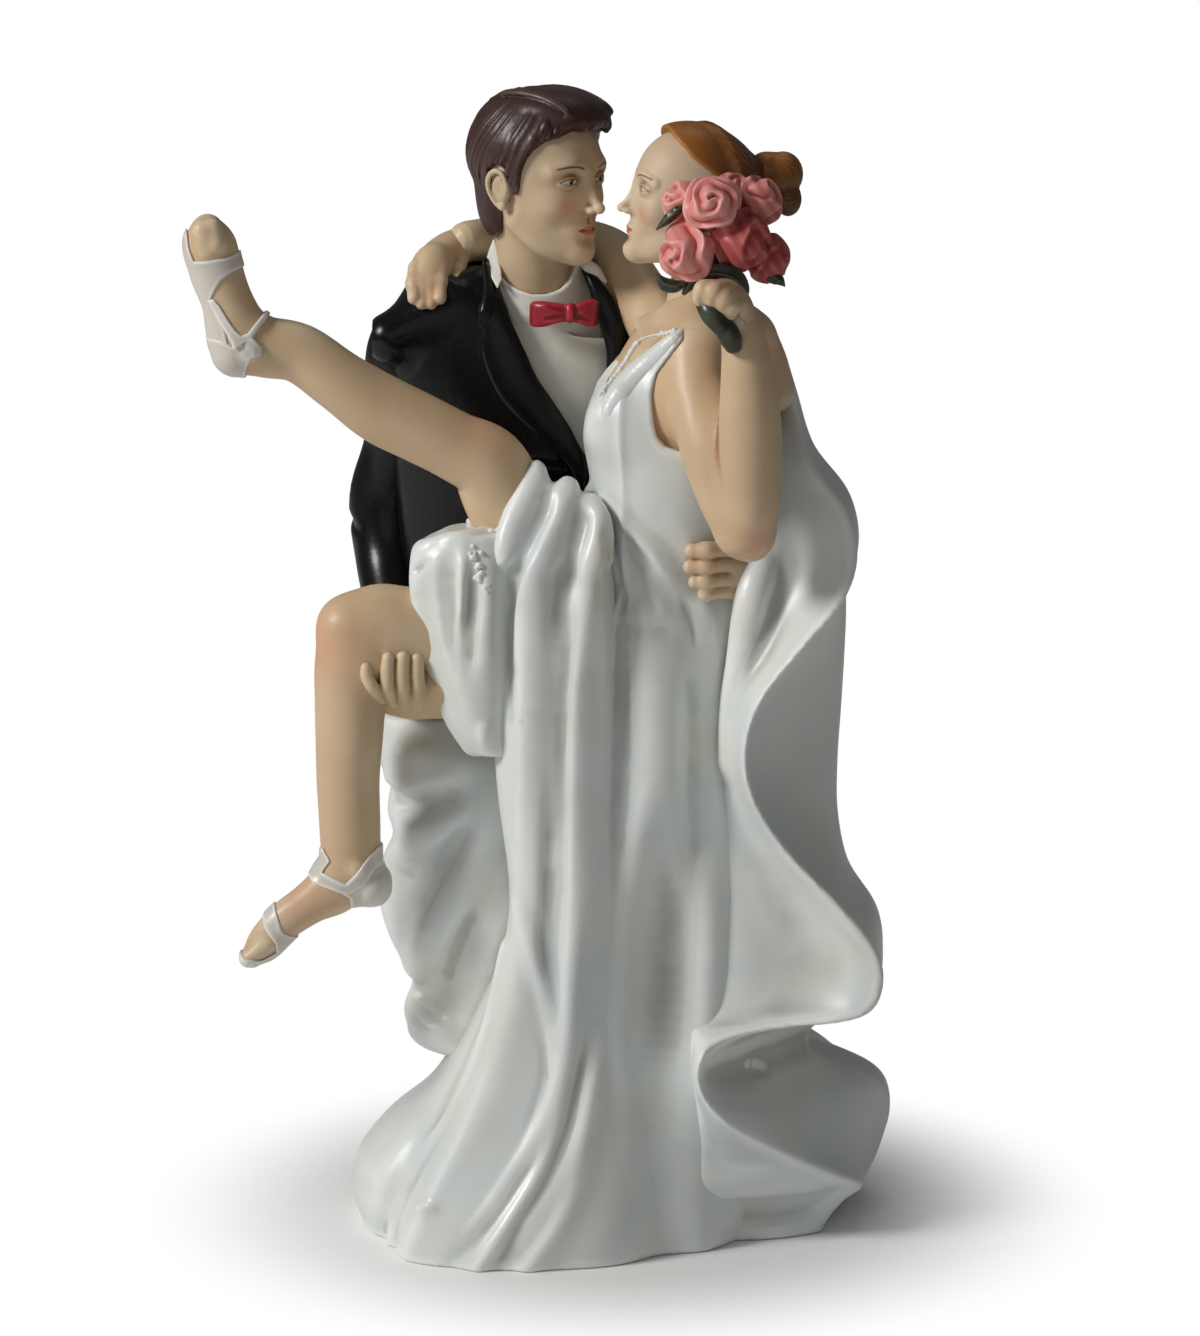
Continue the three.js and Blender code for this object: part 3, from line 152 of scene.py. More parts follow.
class Clay:
    def __init__(self, low, high, cell, reach=0.6):
        self.cell = cell * COARSER
        self.reach = reach
        self.start = np.floor(np.asarray(low, float) / self.cell).astype(int) - 3
        stop = np.ceil(np.asarray(high, float) / self.cell).astype(int) + 3
        self.size = stop - self.start + 1
        self.field = np.full(self.size, FAR, np.float32)

    def window(self, low, high):
        a = np.floor(np.asarray(low, float) / self.cell).astype(int) - self.start
        b = np.ceil(np.asarray(high, float) / self.cell).astype(int) - self.start + 1
        a, b = np.clip(a, 0, self.size), np.clip(b, 0, self.size)
        if np.any(b - a < 2):
            return None
        axes = [((self.start[k] + np.arange(a[k], b[k])) * self.cell).astype(np.float32)
                for k in range(3)]
        cells = tuple(slice(i, j) for i, j in zip(a, b))
        return cells, axes[0][:, None, None], axes[1][None, :, None], axes[2][None, None, :]

    def axes(self):
        """x, y and z of all cells."""
        return self.window(self.start * self.cell, (self.start + self.size - 1) * self.cell)[1:]

    def blank(self):
        """Empty clay on the same cells."""
        other = copy.copy(self)
        other.field = np.full(self.size, FAR, np.float32)
        return other

    def outside(self, outline):
        """How far every cell lies outside an outline of x and z, the same at every depth."""
        x, y, z = self.axes()
        return outline_gap(outline, x[:, 0, :], z[0]).astype(np.float32)[:, None, :] + 0 * y

    def press(self, cells, distance, soft=0.0, cut=False):
        here = self.field[cells]
        if cut:
            self.field[cells] = -join(-here, distance, soft)
        else:
            self.field[cells] = join(here, distance, soft)

    def carve(self, gap, soft):
        """Cuts away the cells where gap is less than zero."""
        self.press(..., gap, soft, cut=True)

    def ball(self, centre, radii, turn=None, soft=0.0, cut=False):
        centre, radii = np.asarray(centre, float), np.asarray(radii, float) * np.ones(3)
        reach = radii.max() + soft + 2 * self.cell
        found = self.window(centre - reach, centre + reach)
        if found is None:
            return
        cells, x, y, z = found
        x, y, z = x - centre[0], y - centre[1], z - centre[2]
        turn = np.eye(3) if turn is None else turn
        near, far = 0.0, 0.0
        for k in range(3):
            along = (x * turn[0, k] + y * turn[1, k] + z * turn[2, k]) / radii[k]
            near = near + along ** 2
            far = far + (along / radii[k]) ** 2
        near = np.sqrt(near)
        self.press(cells, near * (near - 1) / np.maximum(np.sqrt(far), 1e-4), soft, cut)

    def tube(self, points, radii, soft=0.0, cut=False, steps=6):
        points = np.asarray(points, float)
        radii = np.ones(len(points)) * np.asarray(radii, float)
        if steps > 1 and len(points) > 2:
            both = smooth_line(np.column_stack([points, radii]), steps)
            points, radii = both[:, :3], np.maximum(both[:, 3], 0.02)
        reach = radii.max() + soft + 2 * self.cell
        found = self.window(points.min(0) - reach, points.max(0) + reach)
        if found is None:
            return
        cells = found[0]
        whole = np.full([s.stop - s.start for s in cells], FAR, np.float32)
        for a, b, ra, rb in zip(points[:-1], points[1:], radii[:-1], radii[1:]):
            reach = max(ra, rb) + soft + 2 * self.cell
            near = self.window(np.minimum(a, b) - reach, np.maximum(a, b) + reach)
            if near is None:
                continue
            part, x, y, z = near
            step = b - a
            length = max(float(step @ step), 1e-9)
            t = ((x - a[0]) * step[0] + (y - a[1]) * step[1] + (z - a[2]) * step[2]) / length
            t = np.clip(t, 0, 1)
            away = np.sqrt((x - a[0] - t * step[0]) ** 2 + (y - a[1] - t * step[1]) ** 2
                           + (z - a[2] - t * step[2]) ** 2) - (ra + (rb - ra) * t)
            inner = tuple(slice(p.start - c.start, p.stop - c.start) for p, c in zip(part, cells))
            whole[inner] = np.minimum(whole[inner], away)
        self.press(cells, whole, soft, cut)

    def skin(self, points, quads, triangles=None, soft=0.0, cut=False):
        """Presses in a closed mesh of millimetre points."""
        points = np.ascontiguousarray(points, np.float32)
        band = max(soft, self.reach) + 2 * self.cell
        move = vdb.createLinearTransform(self.cell)
        faces = {"quads": np.ascontiguousarray(quads, np.uint32)}
        if triangles is not None:
            faces["triangles"] = np.ascontiguousarray(triangles, np.uint32)
        shell = vdb.FloatGrid.createLevelSetFromPolygons(points, transform=move,
                halfWidth=band / self.cell, **faces)
        found = self.window(points.min(0) - band, points.max(0) + band)
        if found is None:
            return
        cells = found[0]
        whole = np.zeros([s.stop - s.start for s in cells], np.float32)
        shell.copyToArray(whole, ijk=tuple(int(s.start + o) for s, o in zip(cells, self.start)))
        self.press(cells, whole, soft, cut)

    def loft(self, rings, soft=0.0, cut=False):
        count, sides = rings.shape[:2]
        ring, side = np.meshgrid(np.arange(count - 1), np.arange(sides), indexing="ij")
        turn = (side + 1) % sides
        low, high = ring * sides, (ring + 1) * sides
        quads = np.stack([low + side, low + turn, high + turn, high + side], -1).reshape(-1, 4)
        points = np.vstack([rings.reshape(-1, 3), rings[0].mean(0), rings[-1].mean(0)])
        side = np.arange(sides)
        turn = (side + 1) % sides
        top = (count - 1) * sides
        first = np.stack([np.full(sides, count * sides), turn, side], -1)
        last = np.stack([np.full(sides, count * sides + 1), top + side, top + turn], -1)
        self.skin(points, quads, np.vstack([first, last]), soft, cut)

    def front_of(self, px, py):
        """Depth at which a look through the picture point first meets the clay, or None."""
        away = np.arange(*LOOK_THROUGH)
        spots = seen(px, py, away[0]) + (away - away[0])[:, None] * (seen(px, py, 1.0)
                - seen(px, py, 0.0))
        index = np.round(spots / self.cell).astype(int) - self.start
        inside = np.all((index >= 0) & (index < self.size), axis=1)
        if not inside.any():
            return None
        away, index = away[inside], index[inside]
        values = self.field[index[:, 0], index[:, 1], index[:, 2]]
        hit = np.nonzero(values < 0)[0]
        return None if len(hit) == 0 else away[hit[0]] + values[hit[0]]

    def draw(self, rows, soft=1.5, cut=False, steps=5):
        """A soft ridge or groove on the front, which fades at both ends. rows: picture x, y, radius,
        and how far it stands out or sinks in."""
        rows = smooth_line(rows, steps)
        depths, last = [], None
        for px, py in rows[:, :2]:
            found = self.front_of(px, py)
            last = found if found is not None else last
            depths.append(np.nan if last is None else last)
        depths = np.array(depths)
        if np.isnan(depths).all():
            return
        depths[np.isnan(depths)] = depths[~np.isnan(depths)][0]
        padded = np.concatenate([[depths[0]] * 2, depths, [depths[-1]] * 2])
        depths = sum(padded[k:k + len(depths)] for k in range(5)) / 5
        radii = np.maximum(rows[:, 2], 0.05)
        t = np.linspace(0, 1, len(rows))
        end = 0.6 * soft * (1 - np.clip(np.minimum(t, 1 - t) * 5, 0, 1))
        middle = depths + (-radii + rows[:, 3] - end if cut else radii - rows[:, 3] + end)
        points = np.array([seen(px, py, a) for (px, py), a in zip(rows[:, :2], middle)])
        self.tube(points, radii, soft=soft, cut=cut, steps=1)

    def sheet(self, outline, anchors, thick, soft=0.0, edge=0.6, cut=False):
        """An upright sheet inside a picture outline. anchors are three picture places with depths
        that it passes."""
        spots = np.array([seen(*row) for row in anchors])
        tilt = np.linalg.lstsq(np.column_stack([spots[:, 0], spots[:, 2], np.ones(len(spots))]),
                               spots[:, 1], rcond=None)[0]
        edges = flat_outline(outline, float(np.mean([row[2] for row in anchors])))
        low = np.array([edges[:, 0].min() - 3, spots[:, 1].min() - thick - 4, edges[:, 1].min() - 3])
        high = np.array([edges[:, 0].max() + 3, spots[:, 1].max() + thick + 4, edges[:, 1].max() + 3])
        found = self.window(low, high)
        if found is None:
            return
        cells, x, y, z = found
        gap = outline_gap(edges, x[:, 0, :], z[0]).astype(np.float32)[:, None, :]
        flat = np.abs(y - (tilt[0] * x + tilt[1] * z + tilt[2])) - thick
        self.press(cells, -join(-gap - 0 * flat, -flat, edge), soft, cut)

    def read(self, x, y, z):
        """This clay's distances on another lattice."""
        spots, result = [], 0.0
        for k, values in enumerate((x, y, z)):
            at = np.asarray(values, float).ravel() / self.cell - self.start[k]
            low = np.clip(np.floor(at).astype(int), 0, self.size[k] - 2)
            spots.append((low, np.clip(at - low, 0, 1).astype(np.float32)))
        for corner in range(8):
            picks, share = [], np.float32(1.0)
            for k, (low, part) in enumerate(spots):
                far = corner >> k & 1
                picks.append(low + far)
                share = share * (part if far else 1
                        - part).reshape([-1 if j == k else 1 for j in range(3)])
            result = result + self.field[np.ix_(*picks)] * share
        return result

    def share_skin(self, other, soft, lap=1.2, lift=0.05):
        """Melts two pieces into one surface. Each keeps its own side of it, and where they meet they
        pass under each other so flatly that no edge shows."""
        def melted(clay, neighbour):
            theirs = neighbour.read(*clay.axes())
            gap = clay.field - theirs
            both = join(clay.field, theirs, soft) + lift * np.clip(gap / lap, -1, 1)
            return np.maximum(both, gap - 1.4 * lap).astype(np.float32)

        self.field, other.field = melted(self, other), melted(other, self)

    def relax(self, passes=1):
        for _ in range(passes):
            for axis in range(3):
                f = np.moveaxis(self.field, axis, 0)
                f[1:-1] = 0.25 * f[:-2] + 0.5 * f[1:-1] + 0.25 * f[2:]


print("clay is ready, cells are", COARSER, "times the plan's size")

# %% [markdown]
# ## From clay to a Blender object
# The skin of quads becomes a mesh with smooth shading. Two facts are stored on its points for the
# paint: how hollow or proud the surface is there, which the paints turn into painted shade in the
# grooves and a painted highlight on the crests, and later for skin how rosy it is. The hollow value
# comes from letting every point drift to the middle of its neighbours and seeing which way it went.

# %% Make the mesh, measure the hollows
MM = 0.001
FULLY_HOLLOW = 0.12
made = {}


def drift(points, edges, passes):
    count = np.bincount(edges.ravel(), minlength=len(points)).astype(float)[:, None]
    now = points.copy()
    for _ in range(passes):
        total = np.stack([np.bincount(edges[:, 0], now[edges[:, 1], k], len(points))
                          + np.bincount(edges[:, 1], now[edges[:, 0], k], len(points)) for k in range(3)],
                          -1)
        now = 0.35 * now + 0.65 * total / np.maximum(count, 1)
    return now


def biggest_part(points, quads):
    """Drops loose crumbs of clay."""
    label = np.arange(len(points))
    edges = np.vstack([quads[:, [k, k + 1]] for k in range(3)])
    while True:
        before = label.copy()
        low = np.minimum(label[edges[:, 0]], label[edges[:, 1]])
        np.minimum.at(label, edges[:, 0], low)
        np.minimum.at(label, edges[:, 1], low)
        label = label[label]
        if np.array_equal(before, label):
            break
    names, sizes = np.unique(label, return_counts=True)
    keep = label == names[sizes.argmax()]
    index = np.cumsum(keep) - 1
    return points[keep], index[quads[keep[quads[:, 0]]]]


def finish_piece(name, points, quads, material, nodes, slot=None, whole=True, passes=26, **values):
    """Makes the mesh object from millimetre points, with its paint values, and puts it in the frame.
    The slot argument is not used."""
    slot = slot or material.name.split(".")[0]
    if whole:
        points, quads = biggest_part(points, quads)
    edges = np.vstack([quads[:, [k, (k + 1) % 4]] for k in range(4)])
    edges = np.unique(np.sort(edges, axis=1), axis=0)
    a, b, c = points[quads[:, 0]], points[quads[:, 1]], points[quads[:, 2]]
    if np.einsum("ij,ij->i", a, np.cross(b, c)).sum() < 0:
        quads = quads[:, ::-1]
    mesh = bpy.data.meshes.new(name)
    mesh.vertices.add(len(points))
    mesh.vertices.foreach_set("co", (points * MM).astype(np.float32).ravel())
    mesh.loops.add(quads.size)
    mesh.loops.foreach_set("vertex_index", quads.astype(np.int32).ravel())
    mesh.polygons.add(len(quads))
    mesh.polygons.foreach_set("loop_start", np.arange(0, quads.size, 4, dtype=np.int32))
    mesh.update(calc_edges=True)
    mesh.shade_smooth()
    normals = np.zeros(len(points) * 3, np.float32)
    mesh.vertices.foreach_get("normal", normals)
    moved = drift(points, edges, passes) - points
    hollow = np.einsum("ij,ij->i", moved, normals.reshape(-1, 3)) / FULLY_HOLLOW
    values["hollow"] = np.clip(hollow, -1, 1)
    for label, numbers in values.items():
        numbers = np.asarray(numbers(points) if callable(numbers) else numbers, np.float32)
        kind = "FLOAT_VECTOR" if numbers.ndim == 2 else "FLOAT"
        layer = mesh.attributes.new(label, kind, "POINT")
        layer.data.foreach_set("vector" if numbers.ndim == 2 else "value", numbers.ravel())
    piece = bpy.data.objects.new(name, mesh)
    bpy.context.scene.collection.objects.link(piece)
    mesh.materials.append(material)
    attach(piece, "root")
    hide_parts(*nodes)
    made[name] = len(quads)
    print(f"{name:22s} {len(quads):7d} quads")
    return piece


def skin_of(clay, level=0.0):
    grid = vdb.FloatGrid()
    grid.background = FAR
    grid.transform = vdb.createLinearTransform(clay.cell)
    grid.copyFromArray(np.ascontiguousarray(clay.field), ijk=tuple(int(v) for v in clay.start))
    points, quads = grid.convertToQuads(level)
    return points.astype(float), quads.astype(np.int64)


def cast(name, clay, material, nodes, **values):
    points, quads = skin_of(clay)
    return finish_piece(name, points, quads, material, nodes, **values)


# %% [markdown]
# ## The paints
# The real figure has ten finishes, each brushed on by hand over white resin. A flat colour would
# look like plastic, so every paint here varies slowly in tone, gets painted shade in the grooves and a
# painted highlight on the crests, and carries a faint brush grain that only the gloss shows. All of it
# is made of procedural nodes on object coordinates, with the hollow value from the mesh.

# %% Small node helpers
def node(tree, kind, **settings):
    made_node = tree.nodes.new(kind)
    for key, value in settings.items():
        if isinstance(key, str) and hasattr(made_node, key):
            setattr(made_node, key, value)
    return made_node


def put(tree, socket, value):
    if isinstance(value, bpy.types.NodeSocket):
        tree.links.new(value, socket)
    else:
        socket.default_value = value


def maths(tree, operation, *values, clamp=False):
    step = node(tree, "ShaderNodeMath", operation=operation, use_clamp=clamp)
    for socket, value in zip(step.inputs, values):
        put(tree, socket, value)
    return step.outputs[0]


def spread(tree, value, low, high, out_low=0.0, out_high=1.0):
    step = node(tree, "ShaderNodeMapRange", interpolation_type="SMOOTHSTEP")
    for socket, entry in zip(step.inputs, (value, low, high, out_low, out_high)):
        put(tree, socket, entry)
    return step.outputs[0]


def tint(tree, share, one, other):
    step = node(tree, "ShaderNodeMix", data_type="RGBA")
    put(tree, step.inputs[0], share)
    put(tree, step.inputs[6], one)
    put(tree, step.inputs[7], other)
    return step.outputs[2]


def stored(tree, label, output="Fac"):
    return node(tree, "ShaderNodeAttribute", attribute_name=label).outputs[output]


def grain(tree, where, scale, detail=3.0, rough=0.55):
    step = node(tree, "ShaderNodeTexNoise")
    put(tree, step.inputs["Vector"], where)
    put(tree, step.inputs["Scale"], scale)
    put(tree, step.inputs["Detail"], detail)
    put(tree, step.inputs["Roughness"], rough)
    return step.outputs["Fac"]


def rgb(red, green, blue):
    """A colour as it is read on screen, 0 to 255, turned into light."""
    parts = [c / 255.0 for c in (red, green, blue)]
    return tuple(c / 12.92 if c <= 0.04045 else ((c + 0.055) / 1.055) ** 2.4 for c in parts) + (1.0,)


# %% The paint recipe
def paint(name, body, groove, crest, gloss, coat=0.0, grain_mm=0.5, bump=0.05, blotch=0.12, extra=None):
    """body is the paint's own colour; groove is painted shade for hollows and crest a painted highlight for
    proud places; gloss is the roughness at a typical place.
    """
    material = bpy.data.materials.new(name)
    material.use_nodes = True
    tree = material.node_tree
    shader = tree.nodes["Principled BSDF"]
    where = node(tree, "ShaderNodeTexCoord").outputs["Object"]
    slow = grain(tree, where, 110.0, 2.0)
    quick = grain(tree, where, 1000.0 / grain_mm, 4.0, 0.6)
    hollow = stored(tree, "hollow")
    tone_and_hollow = maths(tree, "MULTIPLY_ADD", maths(tree, "SUBTRACT", slow, 0.5), 0.8, hollow)
    # Painted shade: the groove colour darkens the hollows. Painted highlight: the crest colour lightens proud
    # places.
    colour = tint(tree, spread(tree, tone_and_hollow, 0.12, 0.9), body, groove)
    colour = tint(tree, spread(tree, tone_and_hollow, -0.15, -0.9), colour, crest)
    blot = tint(tree, spread(tree, slow, 0.35, 0.7, 0.0, blotch), colour, groove)
    if extra is not None:
        blot = extra(tree, blot, where)
    put(tree, shader.inputs["Base Color"], blot)
    rough = maths(tree, "MULTIPLY_ADD", maths(tree, "SUBTRACT", quick, 0.5), 0.22, gloss)
    rough = maths(tree, "MULTIPLY_ADD", maths(tree, "SUBTRACT", slow, 0.5), 0.16, rough, clamp=True)
    put(tree, shader.inputs["Roughness"], rough)
    shader.inputs["Coat Weight"].default_value = coat
    shader.inputs["Coat Roughness"].default_value = 0.18
    shader.inputs["IOR"].default_value = 1.47
    ripple = maths(tree, "ADD", quick, maths(tree, "MULTIPLY", grain(tree, where, 420.0, 2.0), 1.6))
    rise = node(tree, "ShaderNodeBump")
    rise.inputs["Strength"].default_value = 1.0
    rise.inputs["Distance"].default_value = bump * MM
    put(tree, rise.inputs["Height"], ripple)
    put(tree, shader.inputs["Normal"], rise.outputs["Normal"])
    return material


def rosy(tree, colour, where):
    return tint(tree, spread(tree, stored(tree, "rosy"), 0.0, 1.0, 0.0, 0.6), colour, rgb(214, 150, 118))


skin_paint = paint("skin_paint", rgb(212, 184, 148), rgb(160, 120, 84), rgb(224, 202, 170), 0.46,
                   bump=0.015, coat=0.08, extra=rosy)
suit_paint = paint("suit_paint", rgb(13, 13, 14), rgb(7, 7, 7), rgb(14, 14, 15), 0.3, coat=0.14,
                   bump=0.006, blotch=0.2)
suit_paint.node_tree.nodes["Principled BSDF"].inputs["Specular IOR Level"].default_value = 0.24
shirt_paint = paint("shirt_paint", rgb(226, 227, 218), rgb(176, 178, 165), rgb(238, 239, 232), 0.5,
                    bump=0.03)
bow_paint = paint("bow_paint", rgb(158, 18, 38), rgb(92, 8, 22), rgb(188, 50, 66), 0.36, coat=0.2,
                  bump=0.05)


def pearl(tree, colour, where):
    """Milky paint: bluish in places, warmer in others, with brownish painted shade in the folds where the
    mesh carries it.
    """
    cool = tint(tree, spread(tree, grain(tree, where, 60.0, 2.0), 0.42, 0.66, 0.0, 0.55), colour,
                rgb(216, 223, 226))
    warm = tint(tree, spread(tree, grain(tree, where, 85.0, 3.0), 0.5, 0.75, 0.0, 0.5), cool,
                rgb(224, 221, 206))
    # Brownish painted shade in the valleys of the folds, broken up by a fine noise.
    patchy_fold_shade = maths(tree, "MULTIPLY", stored(tree, "stain"),
                   spread(tree, grain(tree, where, 260.0, 4.0), 0.3, 0.65, 0.35, 1.0))
    return tint(tree, maths(tree, "MULTIPLY", patchy_fold_shade, 0.6), warm, rgb(168, 156, 136))


gown_paint = paint("gown_paint", rgb(228, 231, 226), rgb(188, 191, 185), rgb(240, 242, 239), 0.38,
                   coat=0.12, bump=0.015, blotch=0.05, extra=pearl)
sandal_paint = paint("sandal_paint", rgb(214, 207, 197), rgb(176, 165, 150), rgb(238, 235, 230), 0.35,
                     coat=0.2, bump=0.02)


# Deep red where the mesh's depth value is high: partly the roses' own darker paint, partly painted shade on
# the roses that face away from the light.
def tint_deep_red_and_shade(tree, colour, where):
    return tint(tree, spread(tree, stored(tree, "depth"), 0.0, 1.0, 0.0, 0.9), colour, rgb(160, 46, 50))


rose_paint = paint("rose_paint", rgb(233, 150, 142), rgb(192, 86, 84), rgb(240, 178, 168), 0.45,
                   bump=0.02, extra=tint_deep_red_and_shade)
leaf_paint = paint("leaf_paint", rgb(36, 37, 24), rgb(16, 16, 11), rgb(78, 80, 60), 0.36, coat=0.2,
                   bump=0.03)
print(len(bpy.data.materials), "materials")

# %% [markdown]
# ## Limbs
# An arm or leg is an oval that changes size along a line. The rows below give the line in shares of
# the whole figure and the oval's two half sizes as shares of the limb's radius. The frame model
# uses the same rows with few sides; here a curve runs through them, and muscles, ankles and knees
# are pressed on as soft balls.

# %% Rings along a limb and levels of a garment
def limb_rings(rows, radius, grow=0.0, sides=44, steps=7, round_ends=True):
    rows = smooth_line(rows, steps)
    centres = place(rows[:, :3])
    along = np.gradient(centres, axis=0)
    along /= np.linalg.norm(along, axis=1)[:, None]
    across = np.cross(along, [0.0, 1.0, 0.0])
    across /= np.linalg.norm(across, axis=1)[:, None]
    through = np.cross(across, along)
    angle = np.linspace(0, 2 * np.pi, sides, endpoint=False)[None, :, None]
    wide, deep = rows[:, 3] * radius + grow, rows[:, 4] * radius + grow

    def ring(i, share, shift):
        sideways = np.cos(angle[0]) * wide[i] * share * across[i]
        inwards = np.sin(angle[0]) * deep[i] * share * through[i]
        return centres[i] + along[i] * shift + sideways + inwards

    rings = [ring(i, 1.0, 0.0) for i in range(len(rows))]
    if round_ends:
        bends = np.radians([25, 50, 75])
        first = [ring(0, math.cos(t), -math.sin(t) * min(wide[0], deep[0])) for t in bends]
        last = [ring(-1, math.cos(t), math.sin(t) * min(wide[-1], deep[-1])) for t in bends]
        rings = first[::-1] + rings + last
    return np.array(rings)


def box_of(*ring_sets, margin=1.0):
    points = np.vstack([r.reshape(-1, 3) for r in ring_sets])
    return points.min(0) - margin, points.max(0) + margin


def bulges(clay, rows):
    """Soft balls, each given by picture place, depth, three radii and how softly it melts in."""
    for px, py, away, rx, ry, rz, soft in rows:
        clay.ball(seen(px, py, away), (rx, ry, rz), soft=soft)


def nearest(spot, clays, otherwise):
    """Depth of whichever clay shows at a point of the picture."""
    found = [clay.front_of(*spot) for clay in clays]
    return min([away for away in found if away is not None], default=otherwise)


def laid(clay, carriers, rows, steps=5, last=-11.0):
    """A roll that lies on the front of other clays. rows: picture x, y, radius, and how far it stands out."""
    rows = smooth_line(rows, steps)
    points = []
    for px, py, radius, out in rows:
        found = nearest((px, py), carriers, last)
        last = found if found < last + 3 else last
        points.append(seen(px, py, last + radius - out))
    points = np.array(points)
    points[1:-1] = 0.25 * points[:-2] + 0.5 * points[1:-1] + 0.25 * points[2:]
    clay.tube(points, np.maximum(rows[:, 2], 0.05), soft=0.0, steps=1)
    return points


def flat_bottom(clay, level=0.03):
    """Cuts a piece off at a height above the table."""
    clay.field[:] = np.maximum(clay.field, level - clay.axes()[2])


def near(points, px, py, away, size):
    """One at a place, falling to nothing at about twice its size."""
    gap = points - seen(px, py, away)
    return np.exp(-(gap ** 2).sum(1) / size ** 2)


# %% [markdown]
# ### The raised leg
# It runs from under the gathered skirt up to a pointed foot at the far left. The heel, the front of
# the foot and the ankle knobs catch the light, so they are pressed on one by one, and the five toes
# are short tubes side by side.

# %% Raised leg
RAISED_LEG_RADIUS = 6.4
raised_leg_rows = [
    [-0.573, -0.217, 0.893, 0.22, 0.2], [-0.567, -0.217, 0.877, 0.45, 0.36],
    [-0.561, -0.217, 0.856, 0.5, 0.42],
    [-0.546, -0.217, 0.829, 0.48, 0.43], [-0.53, -0.217, 0.803, 0.6, 0.45],
    [-0.5, -0.208, 0.789, 0.6, 0.5],
    [-0.449, -0.2, 0.782, 0.58, 0.54], [-0.394, -0.2, 0.758, 0.6, 0.6],
    [-0.339, -0.192, 0.734, 0.68, 0.66],
    [-0.284, -0.183, 0.716, 0.68, 0.68], [-0.236, -0.175, 0.7, 0.68, 0.68],
    [-0.192, -0.167, 0.684, 0.76, 0.74],
    [-0.168, -0.15, 0.654, 0.82, 0.8], [-0.133, -0.125, 0.614, 0.92, 0.92],
    [-0.085, -0.1, 0.568, 1.0, 1.0],
]
raised_rings = limb_rings(raised_leg_rows, RAISED_LEG_RADIUS)


def toes(clay, tip, root, spread_mm, radius):
    """Five toes side by side through the depth, the big one nearest the viewer."""
    for k in range(5):
        shift = np.array([0, (k - 2) * spread_mm, 0])
        short = np.array(tip) + (np.array(root) - np.array(tip)) * 0.13 * k
        clay.tube([np.array(root) + shift, short + shift], [radius * 0.9, radius * (1.05 - 0.08 * k)],
                  soft=1.0)


def raised_leg_clay(one, other, cell):
    clay = Clay(np.minimum(one, other), np.maximum(one, other), cell)
    clay.loft(raised_rings)
    bulges(clay, [(236, 350, -13.0, 2.2, 2.6, 2.4, 2.4), (208, 243, -13.0, 2.75, 2.4, 2.9, 1.5),
                  (252, 352, -15.4, 0.9, 0.9, 1.0, 1.2), (252, 352, -10.4, 0.9, 0.9, 1.0, 1.2)])
    toes(clay, seen(203, 228, -13.0), seen(208, 248, -13.0), 0.98, 0.95)
    clay.tube([seen(214, 226, -14.8), seen(217, 244, -15.2)], [0.75, 0.9], soft=1.2)
    return clay


raised_leg = raised_leg_clay(*box_of(raised_rings), cell=0.22)
cast("raised_leg", raised_leg, skin_paint, ["bride_raised_leg"],
     rosy=lambda p: 0.5 * near(p, 490, 430, -12, 6) + 0.4 * near(p, 400, 425, -12, 6)
     + 0.8 * near(p, 236, 372, -13, 3.5))

# %% [markdown]
# ### The lower leg
# The other leg hangs from the knee at the left, over the groom's hand. It is the same kind of form,
# with a firm calf, a narrow ankle and the foot pointing down.

# %% Lower leg
LOWER_LEG_RADIUS = 6.4
lower_leg_rows = [
    [-0.525, -0.25, 0.255, 0.2, 0.18], [-0.508, -0.25, 0.266, 0.34, 0.3],
    [-0.477, -0.25, 0.287, 0.38, 0.36],
    [-0.442, -0.242, 0.302, 0.42, 0.4], [-0.408, -0.233, 0.316, 0.56, 0.44],
    [-0.386, -0.233, 0.337, 0.58, 0.5],
    [-0.385, -0.233, 0.366, 0.6, 0.56], [-0.387, -0.233, 0.411, 0.62, 0.6],
    [-0.385, -0.233, 0.447, 0.66, 0.66],
    [-0.383, -0.225, 0.481, 0.7, 0.7], [-0.38, -0.217, 0.511, 0.74, 0.72],
    [-0.37, -0.206, 0.535, 0.78, 0.76],
    [-0.345, -0.198, 0.545, 0.8, 0.8], [-0.31, -0.19, 0.541, 0.84, 0.84],
    [-0.245, -0.167, 0.532, 0.92, 0.92],
    [-0.148, -0.133, 0.525, 0.98, 0.98],
]
lower_rings = limb_rings(lower_leg_rows, LOWER_LEG_RADIUS)


def lower_leg_clay(one, other, cell):
    clay = Clay(np.minimum(one, other), np.maximum(one, other), cell)
    clay.loft(lower_rings)
    bulges(clay, [(371, 884, -14.0, 2.1, 2.5, 2.4, 2.0), (357, 868, -16.6, 0.9, 0.9, 1.0, 1.2),
                  (357, 868, -11.6, 0.9, 0.9, 1.0, 1.2), (342, 622, -12.6, 2.6, 3.2, 2.6, 2.6),
                  (374, 660, -12.0, 2.6, 3.4, 2.6, 3.5), (383, 650, -13.0, 2.4, 2.6, 2.2, 3.0)])
    toes(clay, seen(249, 955, -15.0), seen(268, 941, -15.0), 0.82, 0.82)
    return clay


lower_leg = lower_leg_clay(*box_of(lower_rings), cell=0.22)
cast("lower_leg", lower_leg, skin_paint, ["bride_lower_leg"],
     rosy=lambda p: 0.9 * near(p, 330, 640, -13, 6) + 0.8 * near(p, 305, 905, -15, 4)
     + 0.4 * near(p, 372, 890, -14, 3))

# %% [markdown]
# ### The bride's shoulders and arms
# Chest, neck base and shoulders are one piece of skin, made first. The left arm folds in front: the
# upper arm goes down to a bent elbow and the forearm comes straight up again to the flowers. The
# crease between the two is what makes it read as an arm, so they are two separate lofts that melt
# only at the elbow. The right arm lies behind the groom's neck.

